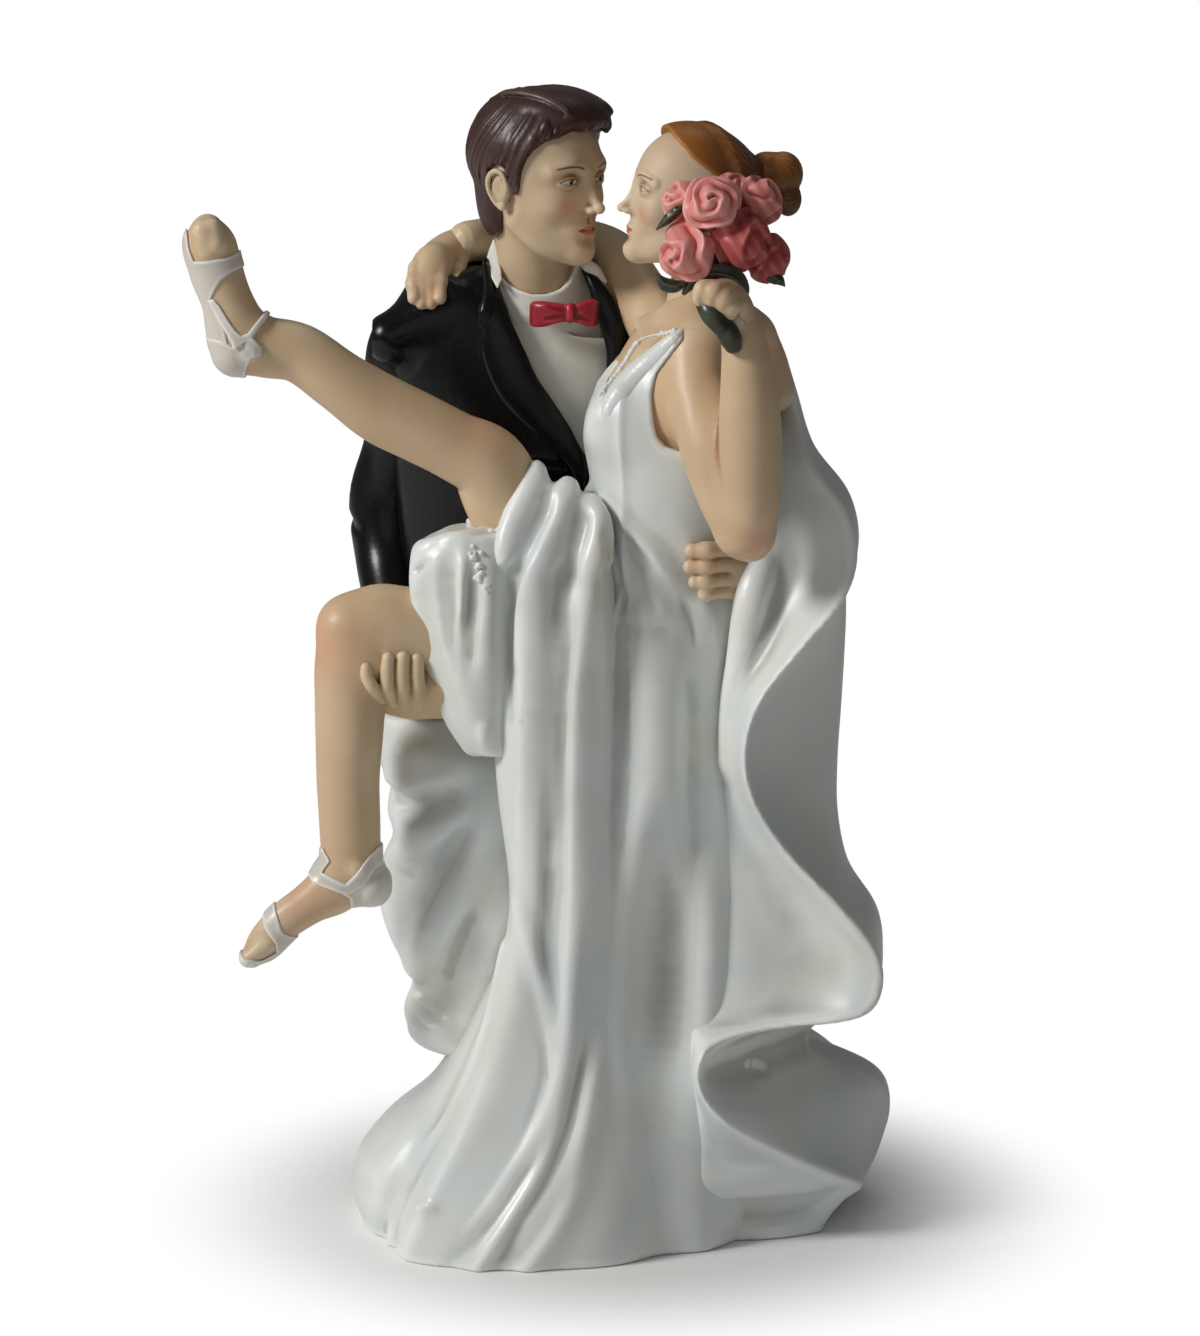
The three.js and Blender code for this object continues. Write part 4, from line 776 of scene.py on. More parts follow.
# %% Chest and shoulders
shoulders = Clay(*seen_box(575, 290, 805, 490, -26, 9), cell=0.22, reach=3.0)
chest_rows = [[0.095, -0.067, 0.805, 0.42, 0.42], [0.094, -0.072, 0.79, 0.7, 0.58],
              [0.088, -0.09, 0.772, 0.94, 0.78], [0.084, -0.105, 0.752, 1.0, 0.88],
              [0.08, -0.115, 0.73, 1.0, 0.9], [0.08, -0.118, 0.708, 0.92, 0.82]]
shoulders.loft(limb_rings(chest_rows, 9.6, sides=60, steps=8))
shoulders.ball(seen(688, 392, -12.6), (3.4, 3.4, 5.4), soft=2.0)
shoulders.ball(seen(701, 344, -11.4), (3.5, 3.4, 3.4), soft=3.0)
shoulders.tube([seen(700, 330, -9.0), seen(728, 326, -9.0), seen(752, 334, -8.0)], [3.0, 3.2, 2.6],
               soft=3.0)
shoulders.tube([seen(692, 311, -8.5), seen(668, 317, -8.0), seen(650, 323, -6.0)], [1.5, 1.4, 1.0],
               soft=2.5)
shoulders.tube([seen(740, 330, -7.0), seen(760, 356, -5.6), seen(774, 392, -5.0)], [2.6, 3.0, 2.6],
               soft=2.6)
shoulders.tube([seen(668, 330, -8.4), seen(652, 326, -6.5), seen(634, 330, -3.0)], [0.5, 0.7, 0.4],
               soft=1.6)


# %% Line of ovals through picture places
def tube_rows(rows, steps=7, sides=40):
    """Rings through rows of picture x, y, depth and radius."""
    rows = np.asarray(rows, float)
    points = np.array([seen(*row[:3]) for row in rows])
    shares = points / np.array([WIDTH, DEPTH, HEIGHT])
    return limb_rings(np.column_stack([shares, rows[:, 3], rows[:, 3]]), 1.0, sides=sides, steps=steps)


def finger(clay, rows, radius, soft=0.3, tip=0.85):
    """A finger through picture places: a slim tube with a knuckle in its middle and a rounded tip."""
    points = np.array([seen(*row) for row in rows])
    sizes = np.linspace(1.05, tip, len(points)) * radius
    clay.tube(points, sizes, soft=soft)
    middle = points[len(points) // 2]
    clay.ball(middle, radius * 1.1, soft=0.5)


upper_rows = [(700, 352, -12.0, 3.1), (699, 385, -14.5, 3.5), (704, 425, -17.0, 3.6),
              (714, 462, -19.0, 3.6),
              (728, 500, -20.2, 3.5), (742, 528, -20.6, 3.3)]
fore_rows = [(748, 531, -21.2, 3.1), (751, 505, -22.4, 3.5), (751, 465, -23.0, 3.8),
             (750, 420, -23.4, 3.75),
             (748, 378, -23.6, 3.3), (744, 345, -23.6, 2.75), (737, 318, -23.8, 2.35)]
upper_rings, fore_rings = tube_rows(upper_rows), tube_rows(fore_rows)


def left_arm_clay():
    clay = Clay(*box_of(upper_rings, fore_rings, margin=3.5), cell=0.2, reach=3.0)
    clay.loft(upper_rings)
    clay.loft(fore_rings, soft=1.4)
    clay.tube([seen(716, 395, -16.8), seen(722, 430, -18.6), seen(731, 470, -20.0),
               seen(741, 505, -20.8)], [1.4, 2.5, 3.0, 3.1], soft=1.6)
    bulges(clay, [(746, 532, -20.6, 3.3, 3.0, 2.9, 1.6), (752, 545, -20.0, 1.8, 1.9, 1.7, 1.4),
                  (735, 322, -26.2, 0.8, 0.7, 0.9, 1.0)])
    return clay


left_arm = left_arm_clay()
left_arm.share_skin(shoulders, 3.0)
cast("left_arm", left_arm, skin_paint, ["bride_left_arm"],
     rosy=lambda p: 0.8 * near(p, 752, 545, -22, 4.5) + 0.3 * near(p, 700, 380, -17, 5))

# %% Bouquet hand: a loose fist round the stem
def bouquet_hand_clay():
    clay = Clay(*seen_box(680, 265, 765, 360, -31, -20), cell=0.14)
    clay.tube([seen(739, 326, -23.8), seen(733, 309, -24.2), seen(724, 298, -24.8)], [2.3, 2.5, 2.5])
    clay.ball(seen(722, 298, -24.9), (2.7, 2.0, 1.9), soft=1.0)
    for rows in ([(722, 293, -25.2), (712, 287, -26.6), (703, 289, -27.4), (699, 297, -27.3),
                  (703, 303, -26.6)],
                 [(728, 296, -25.4), (722, 289, -26.9), (714, 291, -27.9), (711, 299, -27.8),
                  (714, 304, -27)],
                 [(735, 302, -25.2), (731, 296, -26.9), (724, 298, -27.9), (722, 306, -27.7),
                  (724, 311, -27)],
                 [(741, 311, -25.0), (738, 305, -26.5), (732, 307, -27.5), (730, 314, -27.2)]):
        finger(clay, rows, 0.95, soft=0.7)
    finger(clay, [(736, 322, -25.4), (726, 322, -26.4), (716, 316, -26.8), (709, 308, -26.6)], 0.95)
    return clay


cast("bouquet_hand", bouquet_hand_clay(), skin_paint, ["bride_left_hand"],
     rosy=lambda p: 0.5 * near(p, 712, 288, -28, 2.5))

# %% Right arm behind the neck, and its hand on the groom's shoulder
right_arm_rows = [
    [0.062, -0.03, 0.775, 1.0, 1.0], [0.042, 0.04, 0.795, 1.02, 1.0], [0.012, 0.13, 0.822, 0.97, 0.95],
    [-0.018, 0.22, 0.843, 0.9, 0.9], [-0.07, 0.31, 0.85, 0.84, 0.85], [-0.13, 0.33, 0.852, 0.8, 0.8],
    [-0.19, 0.3, 0.854, 0.72, 0.72], [-0.225, 0.25, 0.855, 0.66, 0.66],
]
right_arm_rings = limb_rings(right_arm_rows, 3.7)
shoulder_hand_rows = [(487, 242, 17.5, 2.35), (468, 244, 16.2, 2.35), (450, 250, 14.4, 2.4),
                      (437, 262, 12.4, 2.6),
                      (430, 277, 10.2, 2.6), (428, 290, 8.4, 2.2)]
hand_rings = tube_rows(shoulder_hand_rows)

arm = Clay(*box_of(right_arm_rings), cell=0.2)
arm.loft(right_arm_rings)
cast("right_arm", arm, skin_paint, ["bride_right_arm"], rosy=lambda p: p[:, 0] * 0)


def shoulder_hand_clay():
    clay = Clay(*seen_box(402, 212, 496, 330, 1, 22), cell=0.15)
    clay.loft(hand_rings)
    clay.ball(seen(433, 272, 10.5), (2.5, 2.0, 3.4), soft=1.4)
    for x, end in ((414, 298), (422, 303), (431, 303), (440, 298)):
        finger(clay, [(x + 2, 268, 9.6), (x, 284, 7.8), (x, end, 5.9)], 1.0, soft=0.35)
    finger(clay, [(462, 256, 13.6), (457, 272, 11.0), (456, 285, 8.6)], 0.98, soft=0.6)
    return clay


cast("shoulder_hand", shoulder_hand_clay(), skin_paint, ["bride_right_hand"],
     rosy=lambda p: 0.6 * near(p, 470, 243, 14, 4) + 0.5 * near(p, 428, 296, 5, 3))

# %% [markdown]
# ### The groom's hands
# One hand holds the bride's knee from below, so only the fingers stand out on the skin. The other
# comes round the waist from behind, four fingers one above the other.

# %% Knee hand and waist hand
def knee_hand_clay():
    clay = Clay(*seen_box(350, 645, 455, 730, -22, 6), cell=0.14)
    clay.tube([place((-0.318, 0.05, 0.48)), place((-0.315, -0.06, 0.474)), seen(411, 694, -12.0)],
              [2.3, 2.3, 2.2])
    clay.tube([seen(388, 690, -14.2), seen(410, 693, -14.8), seen(438, 690, -14.0)], [1.5, 1.9, 2.3],
              soft=1.2)
    clay.tube([seen(386, 704, -13.4), seen(410, 707, -13.6), seen(440, 706, -12.8)], [1.2, 1.5, 1.6],
              soft=1.6)
    clay.ball(seen(430, 680, -13.4), (1.6, 1.4, 1.9), soft=1.5)
    for spots, radius in (([(382, 698), (373, 688), (367, 677), (366, 668)], 0.8),
                          ([(393, 700), (388, 688), (387, 672), (388, 658)], 0.86),
                          ([(406, 702), (403, 688), (402, 672), (403, 657)], 0.96),
                          ([(419, 702), (418, 688), (417, 674), (417, 659)], 0.92)):
        under = [nearest(spot, (lower_leg,), -15.0) for spot in spots]
        skin = min(min(under[1:]), -15.2)
        depths = (-15.4, skin - 0.25, skin - 0.3, skin - 0.05)
        points = [seen(px, py, away) for (px, py), away in zip(spots, depths)]
        clay.tube(np.array(points), np.array([1.0, 1.02, 1.0, 0.86]) * radius, soft=0.45)
    return clay


cast("knee_hand", knee_hand_clay(), skin_paint, ["groom_right_hand"],
     rosy=lambda p: 0.3 * near(p, 404, 700, -16, 3))


def waist_hand_clay():
    clay = Clay(*seen_box(672, 525, 768, 612, -19, -3), cell=0.14)
    clay.tube([place((0.18, -0.1, 0.592)), seen(744, 572, -9.0), seen(733, 571, -12.0)], [2.6, 2.7, 2.6])
    clay.ball(seen(731, 571, -12.9), (1.7, 1.5, 3.1), soft=1.0)
    for k, (left, level, radius) in enumerate(((692, 551, 1.02), (690, 567, 0.96), (695, 582, 0.92),
            (704, 594, 0.78))):
        finger(clay, [(737, level - 1, -13.2), (721, level - 2, -14.6), (706, level, -15.4),
                      (left, level, -15.3)],
               1.08 * radius, soft=0.5)
    return clay


cast("waist_hand", waist_hand_clay(), skin_paint, ["groom_left_hand"],
     rosy=lambda p: 0.3 * near(p, 700, 570, -16, 3))

# %% [markdown]
# ## The two heads
# Doll makers build a head from a few big masses first: an egg for the skull, a smaller one for the
# face, and a jaw. Brow, eye sockets, nose, lips and ears then go on as small lumps, on the usual
# proportions: eyes half way up, the nose a third up, the mouth a fifth. Both faces are plain figurine
# faces made in that way. Each head is modelled upright at the origin and then set in its place.

# %% A head's own frame, in shares of its height
class Head:
    def __init__(self, chin, height, turn, tilt):
        self.chin, self.height = place(chin), height
        about_z = np.array([[math.cos(turn), -math.sin(turn), 0], [math.sin(turn), math.cos(turn), 0],
                            [0, 0, 1]])
        about_y = np.array([[math.cos(tilt), 0, math.sin(tilt)], [0, 1, 0],
                            [-math.sin(tilt), 0, math.cos(tilt)]])
        self.turn = about_z @ about_y

    def outward(self, local):
        return local @ self.turn.T + self.chin

    def inward(self, points):
        return (points - self.chin) @ self.turn

    def clay(self, low, high, cell):
        return Clay(np.array(low) * self.height, np.array(high) * self.height, cell)

    def ball(self, lump, centre, radii, soft=0.0, cut=False, both=False):
        radii = np.asarray(radii, float) * self.height * np.ones(3)
        for side in ((1, -1) if both else (1,)):
            spot = np.array(centre, float) * self.height * np.array([1, side, 1])
            lump.ball(spot, radii, soft=soft * self.height, cut=cut)

    def tube(self, lump, points, radii, soft=0.0, cut=False, both=False):
        for side in ((1, -1) if both else (1,)):
            path = np.array(points, float) * self.height * np.array([1, side, 1])
            lump.tube(path, np.array(radii, float) * self.height, soft=soft * self.height, cut=cut)

    def cast(self, name, lump, material, nodes, slot=None, **values):
        """Makes the mesh upright, takes its paint values there, and sets it in its place."""
        points, quads = skin_of(lump)
        values = {key: value(points / self.height) for key, value in values.items()}
        kept, quads = biggest_part(np.column_stack([points, np.arange(len(points))]), quads)
        points, index = kept[:, :3], kept[:, 3].astype(int)
        values = {key: value[index] for key, value in values.items()}
        return finish_piece(name, self.outward(points), quads, material, nodes, slot, whole=False,
                            **values)


groom = Head((-0.122, 0.08, 0.849), 21.2, -0.7, 0.02)
bride = Head((0.075, -0.1, 0.851), 18.4, math.pi + 0.12, -0.16)


# %% Masses of the face
def face_masses(head, lump, soft, nose, jaw):
    """soft rounds off the brow's join, nose and jaw scale those two parts."""
    head.ball(lump, (-0.01, 0, 0.60), (0.40, 0.325, 0.355))
    head.ball(lump, (0.10, 0, 0.40), (0.285, 0.262 * (0.4 + 0.6 * jaw), 0.36), soft=0.10)
    head.tube(lump, [(0.30, 0.03, 0.075), (0.17, 0.16 * jaw, 0.12), (0.03, 0.215 * jaw, 0.24)],
              [0.06, 0.065, 0.07], soft=0.11, both=True)
    head.ball(lump, (0.19, 0, 0.13), (0.15, 0.13 * jaw, 0.10), soft=0.10)
    head.ball(lump, (0.325, 0, 0.07), (0.062, 0.07 * jaw, 0.06), soft=0.07)
    head.ball(lump, (0.235, 0.155, 0.36), (0.085, 0.075, 0.07), soft=0.10, both=True)
    head.tube(lump, [(0.352, 0.05, 0.566), (0.345, 0.13, 0.585), (0.285, 0.215, 0.555)],
              [0.030, 0.036, 0.028], soft=soft * 0.07, both=True)
    head.ball(lump, (0.412, 0.138, 0.508), (0.062, 0.078, 0.044), soft=0.06, cut=True, both=True)
    head.ball(lump, (0.292, 0.136, 0.498), 0.072, soft=0.012, both=True)
    head.tube(lump, [(0.340, 0.078, 0.486), (0.362, 0.108, 0.514), (0.362, 0.146, 0.519),
                     (0.326, 0.196, 0.494)],
              [0.008, 0.011, 0.011, 0.007], soft=0.008, both=True)
    head.tube(lump, [(0.342, 0.080, 0.484), (0.358, 0.115, 0.473), (0.352, 0.155, 0.473),
                     (0.326, 0.196, 0.488)],
              [0.006, 0.008, 0.008, 0.006], soft=0.012, both=True)
    tip = 0.405 + 0.068 * nose
    head.tube(lump, [(0.342, 0, 0.53), (0.352, 0, 0.44), (0.366, 0, 0.36)], [0.034, 0.04, 0.05],
              soft=0.05)
    head.tube(lump, [(0.366, 0, 0.545), (0.392, 0, 0.47), (0.395 + 0.03 * nose, 0, 0.40),
                     (tip - 0.012, 0, 0.345)],
              [0.026, 0.024 * nose, 0.027 * nose, 0.030 * nose], soft=0.035)
    head.ball(lump, (tip, 0, 0.338), 0.028 * nose, soft=0.025)
    head.ball(lump, (tip - 0.046, 0.038 * nose, 0.326), (0.028, 0.018, 0.020), soft=0.026, both=True)
    head.ball(lump, (0.305, 0, 0.215), (0.083, 0.105, 0.078), soft=0.07)
    head.tube(lump, [(0.386, 0, 0.272), (0.392, 0, 0.243)], [0.006, 0.008], soft=0.014, cut=True)
    head.tube(lump, [(0.338, -0.083, 0.207), (0.374, -0.04, 0.222), (0.386, 0, 0.219),
                     (0.374, 0.04, 0.222), (0.338, 0.083, 0.207)],
              [0.008, 0.017, 0.018, 0.017, 0.008], soft=0.014)
    head.tube(lump, [(0.338, -0.08, 0.202), (0.370, -0.035, 0.188), (0.381, 0, 0.185),
                     (0.370, 0.035, 0.188), (0.338, 0.08, 0.202)],
              [0.008, 0.018, 0.022, 0.018, 0.008], soft=0.014)
    head.tube(lump, [(0.350, -0.085, 0.2045), (0.388, -0.04, 0.2045), (0.404, 0, 0.2025),
                     (0.388, 0.04, 0.2045), (0.350, 0.085, 0.2045)],
              [0.004, 0.006, 0.006, 0.006, 0.004], soft=0.008, cut=True)
    head.ball(lump, (0.402, 0, 0.14), (0.022, 0.06, 0.022), soft=0.045, cut=True)


def ears(head, lump, sides):
    for side in sides:
        spot = lambda x, y, z: (x, side * y, z)
        head.ball(lump, spot(-0.03, 0.318, 0.44), (0.068, 0.038, 0.105), soft=0.03)
        head.ball(lump, spot(-0.012, 0.366, 0.445), (0.036, 0.022, 0.062), soft=0.02, cut=True)
        rim = [(0.02, 0.315, 0.41), (0.028, 0.335, 0.475), (0.005, 0.352, 0.535), (-0.045, 0.362, 0.545),
               (-0.085, 0.365, 0.50), (-0.088, 0.358, 0.43), (-0.05, 0.345, 0.36), (-0.01, 0.332, 0.335)]
        head.tube(lump, [spot(*p) for p in rim], [0.010, 0.013, 0.015, 0.016, 0.016, 0.014, 0.013, 0.02],
                  soft=0.012)
        head.ball(lump, spot(0.0, 0.33, 0.338), (0.024, 0.015, 0.026), soft=0.02)


def neck_into(head, lump, rows, radius):
    rings = limb_rings(rows, radius)
    lump.loft(head.inward(rings.reshape(-1, 3)).reshape(rings.shape), soft=2.2)


# %% Painted features: eyes, brows, lips and cheeks
def features(brow, iris, lip):
    """Brushed on by place: the mesh carries each point's place on its head, so the strokes stay crisp."""
    def extra(tree, colour, where):
        spot = node(tree, "ShaderNodeSeparateXYZ")
        put(tree, spot.inputs[0], stored(tree, "face_place", "Vector"))
        x, y, z = spot.outputs
        side = maths(tree, "ABSOLUTE", y)
        front = spread(tree, x, 0.2, 0.26)

        def band(value, low, high, soft=0.003):
            rise = spread(tree, value, low - soft, low + soft)
            fall = spread(tree, value, high - soft, high + soft, 1.0, 0.0)
            return maths(tree, "MULTIPLY", rise, fall)

        def arch(centre, half, height):
            u = maths(tree, "DIVIDE", maths(tree, "SUBTRACT", side, centre), half)
            return maths(tree, "MULTIPLY", maths(tree, "SUBTRACT", 1.0, maths(tree, "MULTIPLY", u, u)),
                         height)

        def dot(centre_y, centre_z, radius, soft=0.003):
            dy, dz = maths(tree, "SUBTRACT", side, centre_y), maths(tree, "SUBTRACT", z, centre_z)
            gap = maths(tree, "SQRT", maths(tree, "ADD", maths(tree, "MULTIPLY", dy, dy),
                    maths(tree, "MULTIPLY", dz, dz)))
            return spread(tree, gap, radius - soft, radius + soft, 1.0, 0.0)

        def lay(mask, over, strength=1.0):
            share = maths(tree, "MULTIPLY", maths(tree, "MULTIPLY", mask, front), strength)
            return tint(tree, share, colour, over)

        level = maths(tree, "SUBTRACT", z, 0.4965)
        above = maths(tree, "SUBTRACT", level, arch(0.136, 0.060, 0.0185))
        below = maths(tree, "SUBTRACT", level, arch(0.136, 0.060, -0.0145))
        opening = maths(tree, "MULTIPLY", spread(tree, above, -0.003, 0.002, 1.0, 0.0),
                        spread(tree, below, -0.002, 0.003))
        near_eye = dot(0.136, 0.4965, 0.066, 0.006)
        opening = maths(tree, "MULTIPLY", opening, near_eye)
        colour = lay(dot(0.165, 0.335, 0.05, 0.05), rgb(222, 132, 104), 0.5)
        # Painted shade: brown round each upper lid and eye socket.
        colour = lay(dot(0.140, 0.512, 0.052, 0.03), rgb(150, 108, 80), 0.45)
        colour = lay(opening, rgb(214, 206, 192))
        colour = lay(maths(tree, "MULTIPLY", opening, dot(0.134, 0.499, 0.0185)), iris)
        colour = lay(maths(tree, "MULTIPLY", opening, dot(0.134, 0.499, 0.0095)), rgb(12, 10, 10))
        # Painted highlight: a small white glint on each iris.
        colour = lay(dot(0.141, 0.505, 0.0032, 0.001), rgb(235, 235, 235))
        colour = lay(maths(tree, "MULTIPLY", band(above, -0.0015, 0.0045, 0.002),
                           dot(0.140, 0.505, 0.066, 0.004)), rgb(34, 20, 16))
        colour = lay(maths(tree, "MULTIPLY", band(below, -0.003, 0.0005, 0.002),
                           dot(0.145, 0.49, 0.06, 0.01)), rgb(96, 62, 46), 0.7)
        over = maths(tree, "SUBTRACT", z, maths(tree, "ADD", 0.565, arch(0.145, 0.10, 0.026)))
        stroke = maths(tree, "MULTIPLY", band(over, -0.007, 0.006, 0.005),
                       band(side, 0.062, 0.225, 0.012))
        colour = lay(stroke, brow, 0.9)
        mouth = maths(tree, "SUBTRACT", z, 0.2035)
        bow = maths(tree, "ADD", arch(0.0, 0.088, 0.026),
                    maths(tree, "MULTIPLY", dot(0.0, 0.2335, 0.012, 0.01), -0.004))
        upper = maths(tree, "MULTIPLY", spread(tree, mouth, -0.002, 0.002),
                      spread(tree, maths(tree, "SUBTRACT", mouth, bow), -0.003, 0.004, 1.0, 0.0))
        dip = maths(tree, "ADD", mouth, arch(0.0, 0.078, 0.034))
        lower = maths(tree, "MULTIPLY", spread(tree, mouth, -0.002, 0.002, 1.0, 0.0),
                      spread(tree, dip, -0.003, 0.004))
        lips = maths(tree, "MULTIPLY", maths(tree, "ADD", upper, lower, clamp=True),
                     band(side, -0.1, 0.084, 0.006))
        colour = lay(lips, lip, 0.85)
        colour = lay(maths(tree, "MULTIPLY", band(mouth, -0.002, 0.0012, 0.0016),
                           band(side, -0.1, 0.08, 0.008)), rgb(112, 44, 38), 0.8)
        return colour
    return extra


groom_face_paint = paint("groom_face_paint", rgb(208, 184, 152), rgb(160, 124, 92), rgb(220, 200, 170),
                         0.5, bump=0.015,
                         extra=features(rgb(66, 44, 38), rgb(64, 40, 26), rgb(192, 98, 78)))
bride_face_paint = paint("bride_face_paint", rgb(213, 190, 160), rgb(165, 130, 98), rgb(226, 208, 180),
                         0.5, bump=0.015,
                         extra=features(rgb(118, 72, 36), rgb(70, 58, 40), rgb(206, 92, 80)))

# %% Groom's head and neck
neck_rows = [[-0.134, 0.12, 0.885, 0.9, 0.9], [-0.131, 0.13, 0.86, 0.9, 0.92],
             [-0.127, 0.15, 0.835, 0.92, 0.98],
             [-0.12, 0.18, 0.8, 1, 1]]
lump = groom.clay((-0.52, -0.45, -0.62), (0.52, 0.45, 1.02), cell=0.14)
face_masses(groom, lump, 1.0, 1.0, 1.0)
neck_into(groom, lump, neck_rows, 5.2)
ears(groom, lump, (1, -1))
groom.cast("groom_face", lump, groom_face_paint, ["groom_head"], slot="skin_paint",
           face_place=lambda p: p)

# %% Bride's head and neck
bride_neck_rows = [[0.105, -0.07, 0.88, 0.95, 0.95], [0.108, -0.065, 0.85, 0.95, 0.95],
                   [0.102, -0.065, 0.82, 1, 1],
                   [0.094, -0.07, 0.788, 1.1, 1.1], [0.09, -0.08, 0.765, 1.3, 1.2]]
lump = bride.clay((-0.52, -0.5, -0.85), (0.52, 0.5, 1.02), cell=0.14)
face_masses(bride, lump, 0.5, 0.86, 0.86)
neck_into(bride, lump, bride_neck_rows, 4.0)
ears(bride, lump, (1, -1))
bride.cast("bride_face", lump, bride_face_paint, ["bride_head"], slot="skin_paint",
           face_place=lambda p: p)

# %% [markdown]
# ## Hair
# Sculpted hair is a cap that follows the skull, cut back along a hairline and scored with a comb. The
# cap here is the skull's egg made larger. The hairline is one closed outline in side view. The
# combing is a few hundred thin rolls laid over the cap, so it has real grooves, and finer strokes
# are painted between them.

# %% Keep clay inside an outline, and combed rolls
def keep_inside(lump, outline, soft, far_outline=None):
    """Cuts away what lies outside the outline (millimetres, side view). The far side may have its own."""
    gap = lump.outside(outline)
    if far_outline is not None:
        far_share = np.clip(0.2 - lump.axes()[1] / 4.0, 0, 1)
        gap = gap + (lump.outside(far_outline) - gap) * far_share
    lump.carve(-gap, soft)


def on_cap(centre, radii, side, rise, proud=0.0):
    """A point of the cap's egg. side is the angle from the front, rise from the level of the ears."""
    direction = np.stack([np.cos(rise) * np.cos(side), np.cos(rise) * np.sin(side), np.sin(rise)], -1)
    return np.asarray(centre) + direction * (np.asarray(radii) + proud)


chance = np.random.default_rng(7)


def comb(head, lump, centre, radii, strokes, radius, soft, outline):
    """Each stroke runs from (side, rise) to (side, rise), angles in degrees, on both sides of the head."""
    for (s0, r0), (s1, r1), lift in strokes:
        t = np.linspace(0, 1, 9)
        side, rise = np.radians(s0 + (s1 - s0) * t), np.radians(r0 + (r1 - r0) * t)
        points = on_cap(centre, radii, side, rise, lift)
        kept = outline_gap(outline, points[:, 0], points[:, 2]) < -0.004
        if kept.sum() < 3:
            continue
        points = points[kept] * head.height
        index = np.arange(len(points))
        size = radius * np.clip(np.minimum(index + 1.3, len(points) - index + 0.3) / 3, 0.35, 1)
        lump.tube(points, size, soft=soft, steps=2)


# %% Groom's hair, short at the sides and swept up at the front
groom_cap, groom_size = (-0.02, 0, 0.62), np.array([0.428, 0.347, 0.385])
groom_line = np.array([
    (0.46, 0.95), (0.415, 0.865), (0.37, 0.83), (0.325, 0.80), (0.29, 0.755), (0.235, 0.73),
    (0.185, 0.68), (0.15, 0.62),
    (0.125, 0.55), (0.11, 0.47), (0.095, 0.38), (0.06, 0.355), (0.04, 0.40), (0.035, 0.50),
    (0.005, 0.565),
    (-0.05, 0.585), (-0.10, 0.55), (-0.115, 0.46), (-0.10, 0.36), (-0.11, 0.26), (-0.15, 0.15),
    (-0.22, 0.11),
    (-0.34, 0.13), (-0.62, 0.2), (-0.62, 1.2), (0.46, 1.2)])
lump = groom.clay((-0.58, -0.46, 0.04), (0.56, 0.46, 1.1), cell=0.14)
groom.ball(lump, groom_cap, groom_size)
groom.ball(lump, (-0.20, 0, 0.33), (0.185, 0.26, 0.28), soft=0.12)
groom.ball(lump, (0.20, 0.03, 0.86), (0.18, 0.20, 0.105), soft=0.10)
groom.ball(lump, (0.08, 0.0, 0.895), (0.25, 0.24, 0.10), soft=0.10)
strokes = []
for side in (1, -1):
    for k in range(58):
        start = 14 + k * 2.9 + chance.uniform(-1, 1)
        strokes.append(((side * start, 66 + chance.uniform(-3, 6)),
                        (side * (start + 46), -22 + chance.uniform(-6, 4)),
                        0.006 + chance.uniform(0, 0.012)))
    for k in range(20):
        start = 35 + k * 3 + chance.uniform(-1, 1)
        strokes.append(((side * start, 32), (side * (start + 22), -40), 0.004 + chance.uniform(0, 0.012)))
comb(groom, lump, groom_cap, groom_size, strokes, 0.36, 0.22, groom_line)
for k in range(30):
    y0 = -0.2 + k * 0.0138 + chance.uniform(-0.004, 0.004)
    rise = 0.012 * math.sin(k * 1.9)
    path = [(-0.27, y0 * 0.7, 0.93), (-0.11, y0 * 0.95, 0.985 + rise),
            (0.07, y0 * 1.0 + 0.01, 0.992 + rise), (0.23, y0 + 0.025, 0.96 + rise),
            (0.34, y0 + 0.045, 0.898 + rise), (0.385 - 0.5 * abs(y0), y0 + 0.055, 0.85)]
    groom.tube(lump, path, [0.008, 0.013, 0.015, 0.015, 0.013, 0.007], soft=0.012)
keep_inside(lump, groom_line * groom.height, 0.35)
for path in ([(0.25, 0.10, 0.91), (0.34, 0.13, 0.885), (0.375, 0.15, 0.84), (0.372, 0.15, 0.81)],
             [(0.24, 0.06, 0.93), (0.33, 0.07, 0.905), (0.375, 0.085, 0.855), (0.37, 0.09, 0.815)],
             [(0.23, 0.14, 0.90), (0.31, 0.19, 0.865), (0.345, 0.21, 0.81), (0.335, 0.215, 0.77)],
             [(0.24, 0.00, 0.93), (0.33, 0.01, 0.90), (0.375, 0.03, 0.845), (0.365, 0.035, 0.805)],
             [(0.23, -0.06, 0.92), (0.31, -0.05, 0.88), (0.35, -0.035, 0.835), (0.345, -0.03, 0.80)]):
    groom.tube(lump, path, [0.024, 0.03, 0.026, 0.014], soft=0.05)


def comb_place(centre, slant):
    """A value that stays the same along a combed stroke, for fine painted lines."""
    def value(p):
        d = p - np.asarray(centre)
        side = np.arctan2(np.abs(d[:, 1]), d[:, 0])
        rise = np.arctan2(d[:, 2], np.hypot(d[:, 0], d[:, 1]))
        return side + slant * rise
    return value


def comb_strokes(scale, light, strength, dark=None):
    def extra(tree, colour, where):
        fine = node(tree, "ShaderNodeTexNoise", noise_dimensions="1D")
        put(tree, fine.inputs["W"], maths(tree, "MULTIPLY", stored(tree, "comb"), scale))
        fine.inputs["Scale"].default_value = 1.0
        fine.inputs["Detail"].default_value = 3.0
        broken = grain(tree, where, 300.0, 2.0)
        mask = maths(tree, "MULTIPLY", spread(tree, fine.outputs[0], 0.53, 0.68),
                     spread(tree, broken, 0.4, 0.6))
        if dark is not None:
            colour = tint(tree, maths(tree, "MULTIPLY", stored(tree, "shaded"), 0.85), colour, dark)
        return tint(tree, maths(tree, "MULTIPLY", mask, strength), colour, light)
    return extra


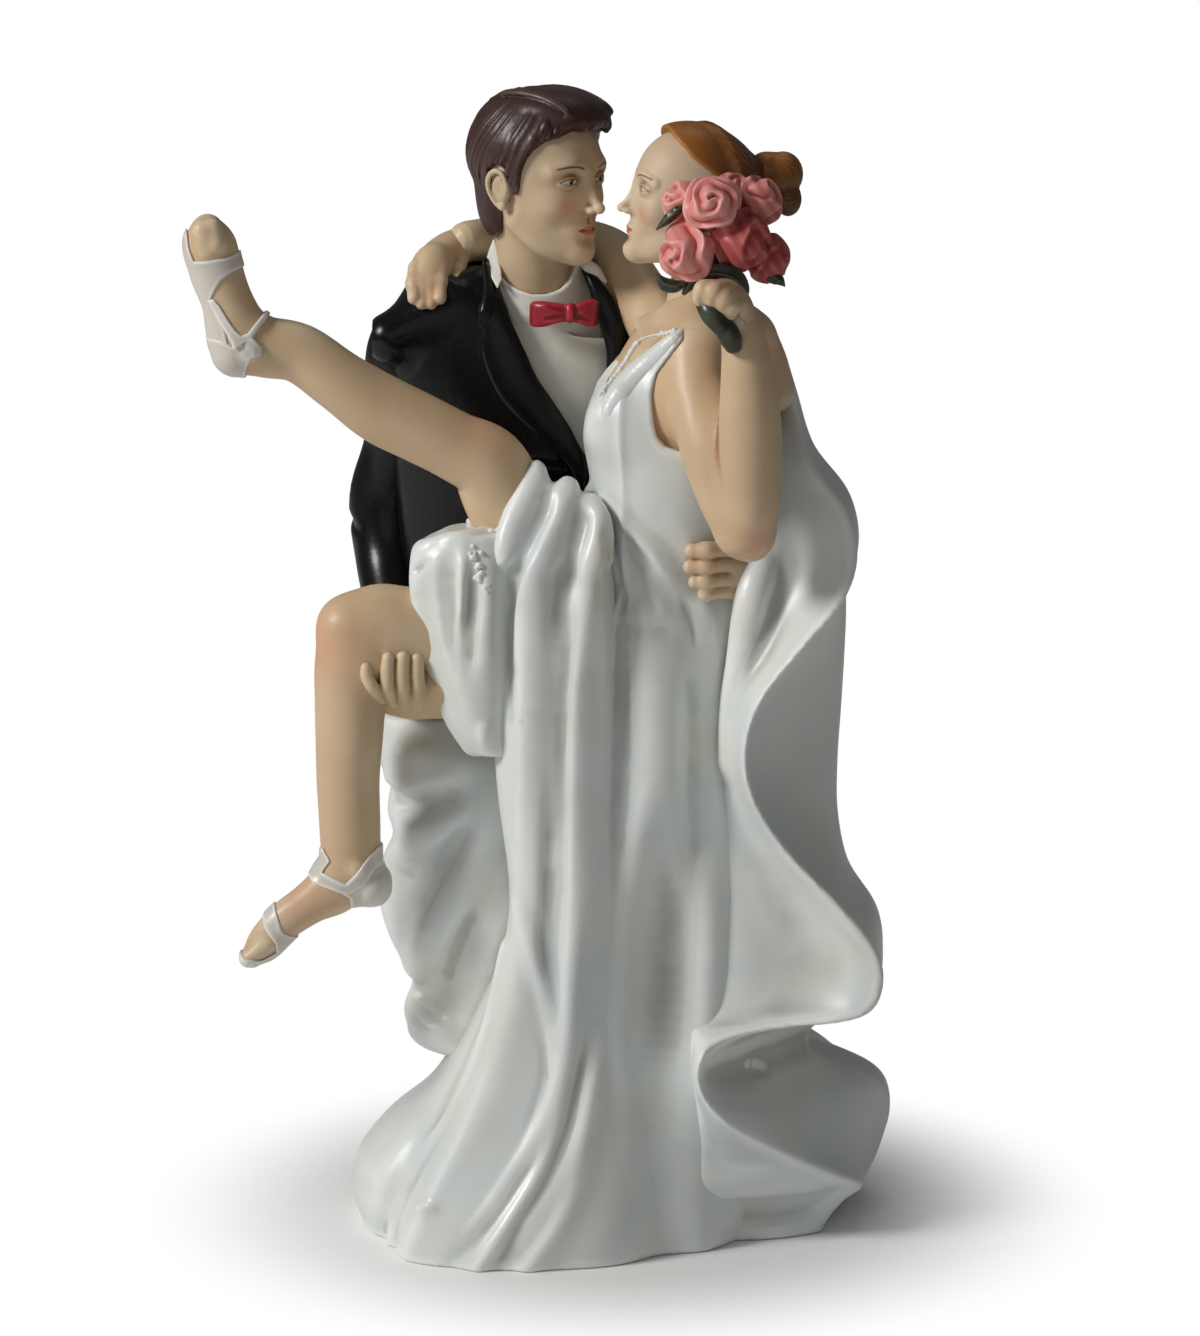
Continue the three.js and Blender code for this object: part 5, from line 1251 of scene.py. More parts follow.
groom_hair_paint = paint("groom_hair_paint", rgb(60, 37, 33), rgb(26, 14, 13), rgb(88, 62, 55), 0.42,
                         bump=0.03, coat=0.1,
                         extra=comb_strokes(90.0, rgb(112, 86, 78), 0.45))
bride_hair_paint = paint("bride_hair_paint", rgb(152, 92, 30), rgb(84, 42, 16), rgb(178, 120, 54), 0.42,
                         bump=0.03, coat=0.1,
                         extra=comb_strokes(80.0, rgb(192, 140, 72), 0.45, rgb(74, 38, 18)))
groom.cast("groom_hair_cap", lump, groom_hair_paint, ["groom_hair"], comb=comb_place(groom_cap, 0.52))

# %% Bride's hair, drawn back into a bun
def bride_side(px, py):
    local = bride.inward(seen(px, py, bride.chin[1])) / bride.height
    return local[0], local[2]


bride_cap, bride_size = (-0.03, 0, 0.60), np.array([0.425, 0.345, 0.364])
bride_line = np.array([bride_side(*p) for p in (
    (640, 95), (655, 114), (664, 124), (669, 131), (674, 138), (681, 146), (686, 153), (696, 161),
    (707, 169), (718, 175),
    (729, 183), (734, 192), (733, 206), (737, 222), (752, 232), (775, 236), (830, 240), (830, 95))])
far_line = np.array([bride_side(*p) for p in (
    (630, 95), (645, 112), (655, 122), (662, 132), (668, 144), (676, 156), (688, 168), (694, 180),
    (696, 198), (702, 208),
    (712, 214), (726, 222), (737, 228), (752, 234), (775, 238), (830, 242), (830, 95))])
lump = bride.clay((-0.75, -0.46, 0.0), (0.56, 0.46, 1.1), cell=0.14)
bride.ball(lump, bride_cap, bride_size)
bride.ball(lump, (0.08, 0, 0.8), (0.26, 0.25, 0.16), soft=0.12)
bride.ball(lump, (-0.26, 0, 0.48), (0.22, 0.26, 0.28), soft=0.12)
bun_x, bun_z = bride_side(781, 176)
for side in (1, -1):
    for k in range(52):
        front = on_cap(bride_cap, bride_size, side * np.radians(6 + 0.52 * k), np.radians(72 - 1.55 * k),
                       chance.uniform(-0.004, 0.004))
        middle = on_cap(bride_cap, bride_size, side * np.radians(112 + 0.3 * k),
                        np.radians(78 - 1.75 * k), 0.012 + chance.uniform(0, 0.012))
        rear = on_cap(bride_cap, bride_size, side * np.radians(166), np.radians(34 - 0.7 * k), 0.0)
        end = np.array([bun_x + 0.10, side * 0.02, bun_z])
        line = smooth_line(np.array([front, middle, rear, end]), 5)
        kept = outline_gap(bride_line if side == 1 else far_line, line[:, 0], line[:, 2]) < -0.004
        if kept.sum() > 3:
            lump.tube(line[kept] * bride.height, 0.34 * np.clip(np.linspace(0.3, 2.0, kept.sum()), 0, 1),
                      soft=0.2, steps=1)
keep_inside(lump, bride_line * bride.height, 0.35, far_line * bride.height)
bride.cast("bride_hair_cap", lump, bride_hair_paint, ["bride_hair"],
           comb=comb_place((bun_x, 0, bun_z), 1.3),
           shaded=lambda p: np.clip(1.5 - 2.2 * np.hypot(p[:, 0] - bun_x, p[:, 2] - bun_z), 0, 1))

# %% The bun, a smooth knot with a smaller roll under it
bun = Clay(*seen_box(748, 138, 818, 240, -10, 3), cell=0.13)
bun_at, roll_at = seen(783, 174, -3.8), seen(788, 199, -4.4)
bun.ball(bun_at, (2.4, 2.4, 2.7))
bun.ball(roll_at, (1.6, 1.8, 2.05), soft=0.7)
bun.tube([seen(766, 170, -4.0), seen(774, 174, -4.2)], [2.3, 2.0], soft=1.0)


def wound(centre, radii, turns, lean, radius):
    """Thin strands laid round a ball, so that its surface is grooved."""
    for k in range(turns):
        rise = math.pi * (k + 0.5) / turns
        t = np.linspace(-np.pi, np.pi, 26)
        ring = np.stack([np.cos(t) * math.sin(rise), np.full(26, math.cos(rise)),
                         np.sin(t) * math.sin(rise)], -1)
        turn = np.array([[1, 0, 0], [0, math.cos(lean), -math.sin(lean)],
                         [0, math.sin(lean), math.cos(lean)]])
        bun.tube(centre + (ring @ turn.T) * radii, radius, soft=0.12, steps=1)


wound(bun_at, np.array([2.3, 2.3, 2.6]), 17, 0.9, 0.24)
wound(roll_at, np.array([1.5, 1.7, 1.95]), 11, -0.6, 0.22)
cast("bride_bun_knot", bun, bride_hair_paint, ["bride_bun"],
     comb=lambda p: (p[:, 1] - bun_at[1]) * 0.16 + 0.02 * np.sin(p[:, 0]),
     shaded=lambda p: np.clip(0.35 + (bun_at[2] - p[:, 2]) * 0.16 + (p[:, 0] - bun_at[0]) * 0.08, 0, 1))

# %% [markdown]
# ## The suit
# The suit is one black mass on the real figure, told apart only by its highlights, so the edges
# matter: the shoulder, the crease of each elbow, and the lapel with its notch. The jacket is lofted
# round the chest and opened along the outline in which the shirt shows. The shirt is the same loft a
# millimetre smaller.

# %% Chest, with the shirt's opening
JACKET_RADIUS = 18.5
jacket_rows = [
    [-0.11, 0.18, 0.822, 0.33, 0.33], [-0.118, 0.19, 0.805, 0.66, 0.38], [-0.127, 0.2, 0.788, 0.96, 0.45],
    [-0.13, 0.2, 0.75, 1, 0.52], [-0.134, 0.2, 0.67, 0.96, 0.54], [-0.13, 0.2, 0.58, 0.93, 0.53],
    [-0.122, 0.2, 0.53, 0.93, 0.53], [-0.115, 0.2, 0.475, 0.92, 0.52],
]


opening = flat_outline([(478, 225), (490, 262), (499, 280), (506, 300), (511, 325), (516, 342),
                        (522, 360), (528, 380), (537, 394),
                        (550, 405), (560, 420), (572, 435), (581, 450), (588, 462), (592, 480),
                        (640, 480), (640, 380), (609, 380),
                        (607, 345), (601, 325), (595, 300), (590, 280), (578, 258), (578, 225)], 2.0)


def chest_clay(grow, keep, cell):
    """The chest, with the opening cut out of it, or kept alone."""
    rings = limb_rings(jacket_rows, JACKET_RADIUS, grow, sides=64, steps=6)
    clay = Clay(*box_of(rings), cell, reach=2.0)
    clay.loft(rings)
    gap, away = clay.outside(opening), clay.axes()[1]
    if keep:
        clay.carve(-np.maximum(gap - 1.2, away - 14.0), 0.3)
    else:
        clay.carve(np.maximum(gap, away - 11.0), 0.5)
    return clay


jacket = chest_clay(grow=0.0, keep=False, cell=0.28)
jacket.tube([seen(392, 338, 8.5), seen(420, 322, 9.0), seen(455, 305, 9.5), seen(478, 285, 10.5)],
            [3.4, 3.2, 2.6, 1.9], soft=2.4)
jacket.tube([seen(640, 345, 10.5), seen(610, 320, 10.5), seen(595, 300, 10.5)], [2.6, 2.0, 1.2], soft=2.0)
jacket.tube([seen(470, 500, 3.0), seen(520, 470, 0.6), seen(560, 470, 1.6)], [0.4, 0.9, 0.4], soft=1.6)
cast("jacket", jacket, suit_paint, ["jacket_body"])

shirt = chest_clay(grow=-1.0, keep=True, cell=0.2)
shirt.tube([seen(565, 322, 1.6), seen(567, 350, 1.2), seen(570, 385, 1.2)], [0.5, 0.45, 0.2], soft=0.9)
shirt.tube([seen(570, 322, 1.0), seen(572, 350, 0.6), seen(575, 385, 0.8)], [0.16, 0.14, 0.1], soft=0.2,
           cut=True)
for x in (540, 549, 583, 592):
    shirt.tube([seen(x, 332, 1.8), seen(x + 4, 365, 1.6), seen(x + 9, 395, 1.8)], [0.1, 0.09, 0.05],
               soft=0.35, cut=True)

# %% Lapels: flat strips on the chest, with a notch
def lapel(rows, thick, notch):
    rows = np.asarray(rows, float)
    points = np.array([seen(*row[:3]) for row in rows]) / np.array([WIDTH, DEPTH, HEIGHT])
    rings = limb_rings(np.column_stack([points, rows[:, 3], rows[:, 3] * 0 + thick]), 1.0, sides=44,
                       steps=8)
    clay = Clay(*box_of(rings), cell=0.16)
    clay.loft(rings)
    for path, radius in notch:
        clay.tube([seen(*p) for p in path], radius, soft=0.25, cut=True)
    return clay


left_lapel = lapel([(486, 262, 7.8, 0.5), (490, 282, 5.6, 0.9), (494, 305, 3.6, 1.5),
                    (497, 330, 2.4, 2.2), (505, 358, 1.7, 2.7), (519, 388, 1.2, 2.7),
                    (541, 415, 1.0, 2.3), (562, 440, 1.0, 1.7), (577, 465, 1.2, 1.1),
                    (582, 488, 1.6, 0.5)], 0.75,
                   [([(464, 352, 2.0), (476, 341, 1.2), (486, 330, 0.9)], [0.55, 0.4, 0.18])])
left_lapel.tube([seen(485, 266, 6.4), seen(488, 290, 4.2), seen(485, 310, 2.8), seen(481, 322, 2.6)],
                [0.4, 0.6, 0.8, 0.5], soft=0.5)
cast("left_lapel", left_lapel, suit_paint, ["lapel_left"])
right_lapel = lapel([(586, 270, 6.0, 0.6), (596, 287, 4.6, 1.0), (606, 308, 3.6, 1.5),
                     (614, 330, 3.0, 1.6), (614, 352, 3.0, 1.0), (610, 372, 3.2, 0.5)], 0.7, [])
cast("right_lapel", right_lapel, suit_paint, ["lapel_right"])

# %% Collar, open over the neck
collar_rows = [[-0.127, 0.15, 0.853, 0.84, 0.84], [-0.125, 0.155, 0.84, 0.93, 0.93],
               [-0.119, 0.165, 0.822, 1.04, 1.0], [-0.114, 0.17, 0.806, 1.1, 1.04]]
rings = limb_rings(collar_rows, 6.3, sides=64, steps=8)
collar = Clay(*box_of(rings, margin=4.0), cell=0.14, reach=2.0)
collar.loft(rings)
inner = [[-0.128, 0.135, 0.87, 0.95, 0.94], [-0.128, 0.14, 0.85, 0.88, 0.9],
         [-0.125, 0.15, 0.835, 0.83, 0.86], [-0.12, 0.16, 0.80, 0.8, 0.8]]
collar.loft(limb_rings(inner, 6.1, sides=64, steps=8), soft=0.4, cut=True)
scoop = flat_outline([(490, 225), (497, 262), (500, 276), (507, 284), (519, 290), (532, 294), (547, 294),
                      (560, 290), (569, 283), (578, 262), (578, 225)], 4.0)
collar.carve(np.maximum(collar.outside(scoop), collar.axes()[1] - 9.0), 0.5)
collar.sheet([(486, 262), (489, 252), (493, 243), (497, 250), (499, 262), (502, 276), (498, 284),
              (491, 274)],
             [(493, 243, 10.0), (499, 282, 4.2), (489, 262, 7.5)], 0.3, soft=0.6, edge=0.3)
collar.share_skin(shirt, 1.5)
laid(collar, (right_lapel, jacket, shirt, collar),
     [(577, 259, 0.3, 0.5), (585, 264, 0.7, 0.8), (594, 271, 0.85, 0.9), (604, 282, 0.4, 0.6)], last=7.0)
cast("shirt", shirt, shirt_paint, ["shirt_front"])
cast("collar", collar, shirt_paint, ["groom_collar"])

# %% Bow tie: two boxy wings and a knot
WING_SIDES = 40
tie = Clay(*seen_box(515, 285, 612, 345, -4, 8), cell=0.12)


def wing(rows):
    """rows: picture x, middle y, depth, half height and half thickness."""
    rings = []
    for px, py, away, tall, thick in smooth_line(rows, 6):
        t = np.linspace(0, 2 * np.pi, WING_SIDES, endpoint=False)
        c, s = np.cos(t), np.sin(t)
        centre = seen(px, py, away)
        across = np.sign(c) * np.abs(c) ** 0.6 * thick
        up = np.sign(s) * np.abs(s) ** 0.5 * tall
        rings.append(np.stack([np.full(WING_SIDES, centre[0]) + 0.12 * across, centre[1] + across,
                               centre[2] + up], -1))
    return np.array(rings)


tie.loft(wing([(530, 314, 2.2, 1.35, 0.55), (534, 314, 1.5, 1.62, 0.95), (545, 314, 0.8, 1.58, 1.05),
               (556, 313, 0.5, 1.3, 0.9), (568, 313, 0.6, 1.0, 0.7)]))
tie.loft(wing([(598, 313, 1.8, 1.5, 0.55), (594, 313, 1.2, 1.78, 0.9), (586, 313, 0.8, 1.65, 0.95),
               (578, 313, 0.5, 1.25, 0.8), (570, 313, 0.6, 1.0, 0.7)]), soft=0.2)
tie.ball(seen(570, 313, 0.1), (0.72, 0.8, 1.32), soft=0.35)
for a, b in (((562, 309, -0.4), (548, 306, -0.3)), ((562, 316, -0.4), (546, 319, -0.2)),
             ((577, 310, -0.4), (588, 306, -0.1)), ((577, 316, -0.4), (589, 320, 0.0))):
    tie.tube([seen(*a), seen(*b)], [0.3, 0.08], soft=0.4, cut=True)
for px, out in ((564.5, -0.5), (575.5, 0.5)):
    tie.tube([seen(px, 303, -0.2), seen(px + out, 313, -0.3), seen(px, 323, -0.2)], [0.14, 0.2, 0.14],
             soft=0.2, cut=True)
cast("bow", tie, bow_paint, ["bow_tie"])

# %% Sleeves, with creases at the elbows
right_sleeve_rows = [
    [-0.292, 0.2, 0.785, 0.72, 0.8], [-0.308, 0.217, 0.766, 1.0, 0.97], [-0.316, 0.233, 0.735, 1.03, 1],
    [-0.322, 0.26, 0.674, 0.95, 0.95],
    [-0.342, 0.275, 0.62, 1, 0.95], [-0.338, 0.233, 0.57, 0.9, 0.85], [-0.328, 0.15, 0.529, 0.8, 0.8],
    [-0.32, 0.06, 0.492, 0.76, 0.76]]
left_sleeve_rows = [
    [0.045, 0.2, 0.782, 0.85, 0.8], [0.13, 0.25, 0.735, 0.95, 0.9], [0.208, 0.27, 0.67, 0.88, 0.9],
    [0.25, 0.255, 0.628, 0.85, 0.9],
    [0.266, 0.2, 0.6, 0.82, 0.88], [0.262, 0.12, 0.588, 0.8, 0.8], [0.23, 0, 0.585, 0.72, 0.72],
    [0.19, -0.07, 0.592, 0.62, 0.62]]


def sleeve(rows, creases):
    rings = limb_rings(rows, 5.0, sides=52)
    clay = Clay(*box_of(rings), cell=0.24)
    clay.loft(rings)
    for path, radius in creases:
        clay.tube(path, radius, soft=1.0, cut=True)
    return clay


right_creases = [([seen(365, y, 9.0), seen(385, y + 8, 8.0), seen(405, y + 3, 9.0)], [0.1, 0.5, 0.1])
                 for y in (430, 470, 515, 545)]
right_creases += [([seen(352, 505, 20.0), seen(349, 525, 14.0), seen(360, 540, 10.0)], [0.2, 0.6, 0.2]),
                  ([seen(371, 538, 8.0), seen(372, 543, 8.0)], [0.5, 0.3])]
cast("right_sleeve", sleeve(right_sleeve_rows, right_creases), suit_paint, ["sleeve_right"])
left_creases = [([place((0.30, 0.3, z)), place((0.325, 0.25, z - 0.01)), place((0.30, 0.18, z))],
                 [0.2, 0.6, 0.2]) for z in (0.66, 0.63, 0.6)]
cast("left_sleeve", sleeve(left_sleeve_rows, left_creases), suit_paint, ["sleeve_left"])

# %% Trousers and shoes, seen only from behind
def trouser(rows, name, knot):
    rings = limb_rings(rows, 6.2, sides=52)
    clay = Clay(*box_of(rings), cell=0.28)
    clay.loft(rings)
    flat_bottom(clay, 2.4)
    middle = np.array([place(row[:3]) for row in rows])
    for crease_y in (-5.0, 4.9):
        clay.tube(middle[1:] + np.array([0.3, crease_y, 0]), 0.35, soft=0.8)
    for height, lean in ((0.30, 1), (0.27, -1), (0.07, 1), (0.05, -1)):
        at = place((rows[2][0], 0.27, height))
        clay.tube([at + np.array([-5 * lean, 3, 0.8]), at + np.array([0, 5.6, 0]),
                   at + np.array([5 * lean, 3, -0.8])], [0.1, 0.35, 0.1], soft=1.6, cut=True)
    cast(name, clay, suit_paint, [knot])


trouser([[-0.19, 0.21, 0.46, 0.95, 0.8], [-0.19, 0.24, 0.39, 1.08, 0.92], [-0.19, 0.26, 0.33, 1.02, 0.95],
         [-0.18, 0.27, 0.22, 0.9, 0.85], [-0.175, 0.29, 0.1, 0.85, 0.8],
         [-0.175, 0.3, 0.024, 0.95, 0.9]], "right_trouser", "trouser_leg_right")
trouser([[-0.03, 0.21, 0.46, 0.95, 0.8], [-0.015, 0.24, 0.39, 1.08, 0.92],
         [-0.005, 0.26, 0.33, 1.02, 0.95], [0.01, 0.27, 0.22, 0.9, 0.85], [0.02, 0.29, 0.1, 0.85, 0.8],
         [0.02, 0.3, 0.024, 0.95, 0.9]], "left_trouser", "trouser_leg_left")


def dress_shoe(x_share, name, knot):
    at = place((x_share, 0, 0))
    clay = Clay(at + np.array([-5, 2, -0.5]), at + np.array([5, 28, 7]), cell=0.18)
    clay.tube([at + np.array([0, y, z]) for y, z in ((23.6, 2.6), (20, 2.4), (14, 2.1), (8.4, 1.6),
            (6.2, 1.3))], [2.5, 2.9, 3.1, 2.5, 1.3], soft=0.4)
    clay.ball(at + np.array([0, 23.2, 1.0]), (2.7, 3.0, 1.5), soft=0.6)
    clay.tube([at + np.array([0, 24.0, 4.6]), at + np.array([0, 19.5, 4.2])], [2.2, 2.0], soft=1.6)
    for welt_x in (-3.1, 3.1):
        clay.tube([at + np.array([welt_x, y, 1.1]) for y in (25, 6)], 0.2, soft=0.1, cut=True)
    flat_bottom(clay, 0.02)
    cast(name, clay, suit_paint, [knot])


dress_shoe(-0.175, "right_shoe", "shoe_right")
dress_shoe(0.02, "left_shoe", "shoe_left")

# %% [markdown]
# ## The dress
# Cast cloth is a solid with folds. Each part below starts as level outlines, one above the other.
# Folds are then drawn on it as lines: where each fold's crest runs, how high it stands, and how wide
# it falls off to either side. A fold that is steep on one side and gentle on the other looks like
# hanging satin. One that is the same on both sides looks like corrugated iron. Sharper creases are
# drawn afterwards on the finished form, at whatever depth its surface has there.

# %% Level outlines with drawn folds
def fold_table(rows, away):
    """Rows of picture x, y, height, left width and right width, read by level."""
    rows = smooth_line(rows, 6)
    where = np.array([seen(px, py, away) for px, py in rows[:, :2]])
    order = np.argsort(where[:, 2])
    where, rows = where[order], rows[order]

    def at(level):
        read = lambda values: np.interp(level, where[:, 2], values)
        fade = min(1.0, max(0.0, 1 - max(where[0, 2] - level, level - where[-1, 2]) / 5.0))
        crest, tall = read(where[:, 0]), read(rows[:, 2]) * fade
        return crest, tall, read(rows[:, 3]) * PICTURE_MM, read(rows[:, 4]) * PICTURE_MM
    return at


def garment_rings(rows, folds, sides=180, steps=6, squareness=0.8, back_folds=0, back_depth=0.7):
    rings = []
    for level, left, right, front, back in smooth_line(sorted(rows), steps):
        left, right, height = left * WIDTH, right * WIDTH, level * HEIGHT
        front, back = front * DEPTH, back * DEPTH
        angle = np.linspace(0, 2 * np.pi, sides, endpoint=False)
        c, s = np.cos(angle), np.sin(angle)
        x = (left + right) / 2 + (right - left) / 2 * np.sign(c) * np.abs(c) ** squareness
        y = (front + back) / 2 + (back - front) / 2 * np.sign(s) * np.abs(s) ** squareness
        facing = np.clip(-2.2 * s, 0, 1)
        for fold in folds:
            crest, tall, wide_left, wide_right = fold(height)
            off = x - crest
            y = y - tall * facing * np.exp(-(off / np.where(off < 0, wide_left, wide_right)) ** 2)
        if back_folds:
            ripple = np.cos(back_folds * angle + 0.6 * np.sin(3 * angle))
            y = y + back_depth * np.clip(2 * s, 0, 1) * ripple
        rings.append(np.stack([x, y, np.full(sides, height)], -1))
    return np.array(rings)


def stains(*spots):
    """Brownish painted shade in the folds: picture x, y, depth, size and strength."""
    def stain(p):
        marks = [strong * near(p, px, py, away, size) for px, py, away, size, strong in spots]
        return np.clip(sum(marks), 0, 1)
    return stain


# %% The skirt under everything
skirt_rows = [
    [-0.03, -0.372, 0.2, -0.415, 0.24], [0, -0.376, 0.2, -0.42, 0.24], [0.026, -0.389, 0.2, -0.42, 0.23],
    [0.045, -0.387, 0.2, -0.415, 0.22], [0.065, -0.377, 0.2, -0.405, 0.2],
    [0.093, -0.34, 0.2, -0.39, 0.18], [0.12, -0.287, 0.2, -0.37, 0.16], [0.15, -0.251, 0.2, -0.355, 0.15],
    [0.2, -0.21, 0.2, -0.33, 0.13],
    [0.27, -0.17, 0.2, -0.305, 0.12], [0.36, -0.17, 0.18, -0.29, 0.12], [0.44, -0.17, 0.17, -0.27, 0.12],
    [0.5, -0.16, 0.16, -0.25, 0.11],
    [0.55, -0.14, 0.15, -0.22, 0.1]]
skirt_folds = [fold_table(rows, -15.0) for rows in (
    [(668, 590, 0.7, 26, 12), (672, 640, 1.2, 30, 13), (677, 720, 1.4, 34, 12), (674, 800, 1.2, 36, 14),
     (662, 900, 0.7, 36, 22), (650, 1000, 0.4, 30, 24),
     (640, 1100, 0.3, 30, 24), (630, 1280, 0.2, 30, 24)],
    [(704, 600, -0.5, 12, 14), (702, 700, -0.9, 16, 16), (694, 820, -1.2, 18, 18),
     (678, 950, -1.3, 24, 22), (668, 1080, -1.2, 28, 26), (660, 1180, -0.7, 30, 28),
     (655, 1290, -0.2, 30, 28)],
    [(700, 1180, 0.2, 20, 18), (706, 1240, 0.9, 20, 20), (708, 1290, 1.0, 20, 20)],
    [(430, 1100, 0.5, 26, 14), (405, 1130, 0.9, 26, 14), (384, 1165, 1.0, 20, 14),
     (372, 1205, 0.9, 16, 14), (366, 1250, 0.6, 16, 14)],
    [(452, 1120, -0.4, 14, 12), (425, 1160, -0.8, 14, 12), (404, 1195, -0.7, 12, 12),
     (390, 1240, -0.3, 12, 12)])]
skirt_rings = garment_rings(skirt_rows, skirt_folds, squareness=0.9, back_folds=11, back_depth=0.8)
skirt = Clay(*box_of(skirt_rings, margin=3.5), cell=0.34, reach=3.0)
skirt.loft(skirt_rings)
skirt.relax(2)
for rows in (
        [(640, 590, 1.2, -1.6), (646, 650, 1.6, 0.0), (650, 720, 1.8, 0.2), (652, 800, 1.8, 0.1),
         (650, 870, 1.8, -1.0), (648, 940, 1.6, -2.8)],
        [(690, 590, 1.0, -1.6), (698, 640, 1.4, 0.0), (702, 720, 1.5, 0.0), (701, 800, 1.4, -1.0),
         (699, 870, 1.4, -2.8)]):
    skirt.draw(rows, soft=3.0)
for shift in (-6, 8):
    rows = [(662 + shift, 740, 1.6, -2.8), (663 + shift, 820, 2.2, -0.8), (663 + shift, 890, 2.8, 0.8),
            (663 + shift, 960, 3.0, 1.4), (661 + shift, 1030, 3.0, 0.8),
            (658 + shift, 1090, 2.4, -0.6), (655 + shift, 1150, 1.8, -1.8),
            (652 + shift, 1200, 1.4, -3.0)]
    skirt.draw(rows, soft=3.0, cut=True)
flat_bottom(skirt)

# %% The long front panel and its sweeping folds
front_rows = [
    [-0.03, -0.32, 0.034, -0.478, -0.2], [0, -0.322, 0.034, -0.482, -0.2],
    [0.03, -0.314, 0.03, -0.478, -0.2], [0.07, -0.285, 0.022, -0.45, -0.2],
    [0.12, -0.248, 0.012, -0.41, -0.19],
    [0.17, -0.216, 0.002, -0.375, -0.18], [0.22, -0.19, -0.003, -0.35, -0.17],
    [0.27, -0.168, -0.006, -0.335, -0.16], [0.32, -0.162, -0.01, -0.325, -0.15],
    [0.4, -0.178, -0.012, -0.315, -0.14], [0.48, -0.186, -0.013, -0.31, -0.13],
    [0.55, -0.186, -0.014, -0.3, -0.11], [0.59, -0.18, -0.018, -0.28, -0.1],
    [0.615, -0.165, -0.03, -0.25, -0.12]]
front_folds = [fold_table(rows, -18.0) for rows in (
    # the big lit fold from the second peak, down to the hem at the left
    [(560, 500, 0.5, 14, 16), (545, 540, 0.9, 13, 22), (534, 570, 1.1, 12, 26), (529, 600, 1.2, 11, 30),
     (525, 650, 1.2, 11, 32),
     (523, 700, 1.2, 11, 32), (522, 760, 1.2, 12, 32), (520, 850, 1.1, 14, 30), (514, 930, 1.1, 14, 26),
     (506, 990, 1.0, 13, 26), (496, 1030, 1.0, 12, 28),
     (484, 1062, 1.0, 11, 30), (472, 1092, 1.0, 11, 30), (458, 1120, 1.0, 11, 28),
     (438, 1152, 1.0, 12, 24), (418, 1190, 1.0, 13, 20), (397, 1236, 1.0, 14, 18),
     (376, 1290, 0.8, 14, 18)],
    # the narrow edge fold left of it
    [(532, 490, 0.4, 10, 9), (510, 530, 0.6, 9, 8), (502, 560, 0.7, 8, 7), (498, 600, 0.7, 7, 7),
     (496, 650, 0.6, 7, 7), (496, 700, 0.4, 7, 8), (498, 760, 0.1, 7, 8)],
    # the second long fold
    [(600, 530, 0.4, 10, 16), (594, 570, 0.8, 9, 24), (588, 605, 1.0, 9, 28), (582, 650, 1.1, 9, 32),
     (577, 700, 1.1, 9, 34),
     (575, 780, 1.1, 9, 34), (574, 850, 1.1, 9, 34), (573, 930, 1.1, 9, 32), (570, 1000, 1.1, 9, 26),
     (566, 1050, 1.1, 10, 18), (559, 1095, 1.1, 11, 14),
     (548, 1128, 1.1, 11, 13), (532, 1160, 1.2, 11, 13), (512, 1190, 1.2, 11, 13),
     (494, 1218, 1.2, 11, 13), (474, 1250, 1.1, 12, 13), (456, 1290, 0.8, 12, 12)],
    # the thin third fold
    [(597, 1020, 0.0, 9, 14), (594, 1065, 0.4, 9, 16), (589, 1100, 0.7, 9, 17), (582, 1135, 0.8, 10, 18),
     (570, 1172, 0.9, 11, 18), (553, 1204, 1.0, 12, 18), (530, 1238, 1.0, 13, 17),
     (506, 1280, 0.8, 13, 16)],
    # right edge against the skirt
    [(624, 560, -0.4, 8, 12), (624, 640, -0.6, 9, 12), (624, 740, -0.6, 9, 12), (627, 860, -0.4, 10, 12),
     (630, 980, -0.1, 10, 14)])]
front_rings = garment_rings(front_rows, front_folds, sides=240)
front_low, front_high = box_of(front_rings, margin=3.5)
front = Clay(front_low, np.maximum(front_high, seen(540, 452, -10.0)), cell=0.28, reach=3.0)
front.loft(front_rings)
front.sheet([(499, 560), (500, 528), (506, 512), (514, 498), (524, 482), (531, 471), (536, 465),
             (542, 470), (548, 480), (553, 489),
             (559, 486), (566, 483), (573, 488), (579, 498), (586, 498), (594, 502), (602, 510),
             (608, 520), (612, 534), (613, 560)],
            [(536, 468, -11.4), (525, 560, -16.0), (600, 530, -14.4)], 1.4, soft=2.4, edge=1.4)
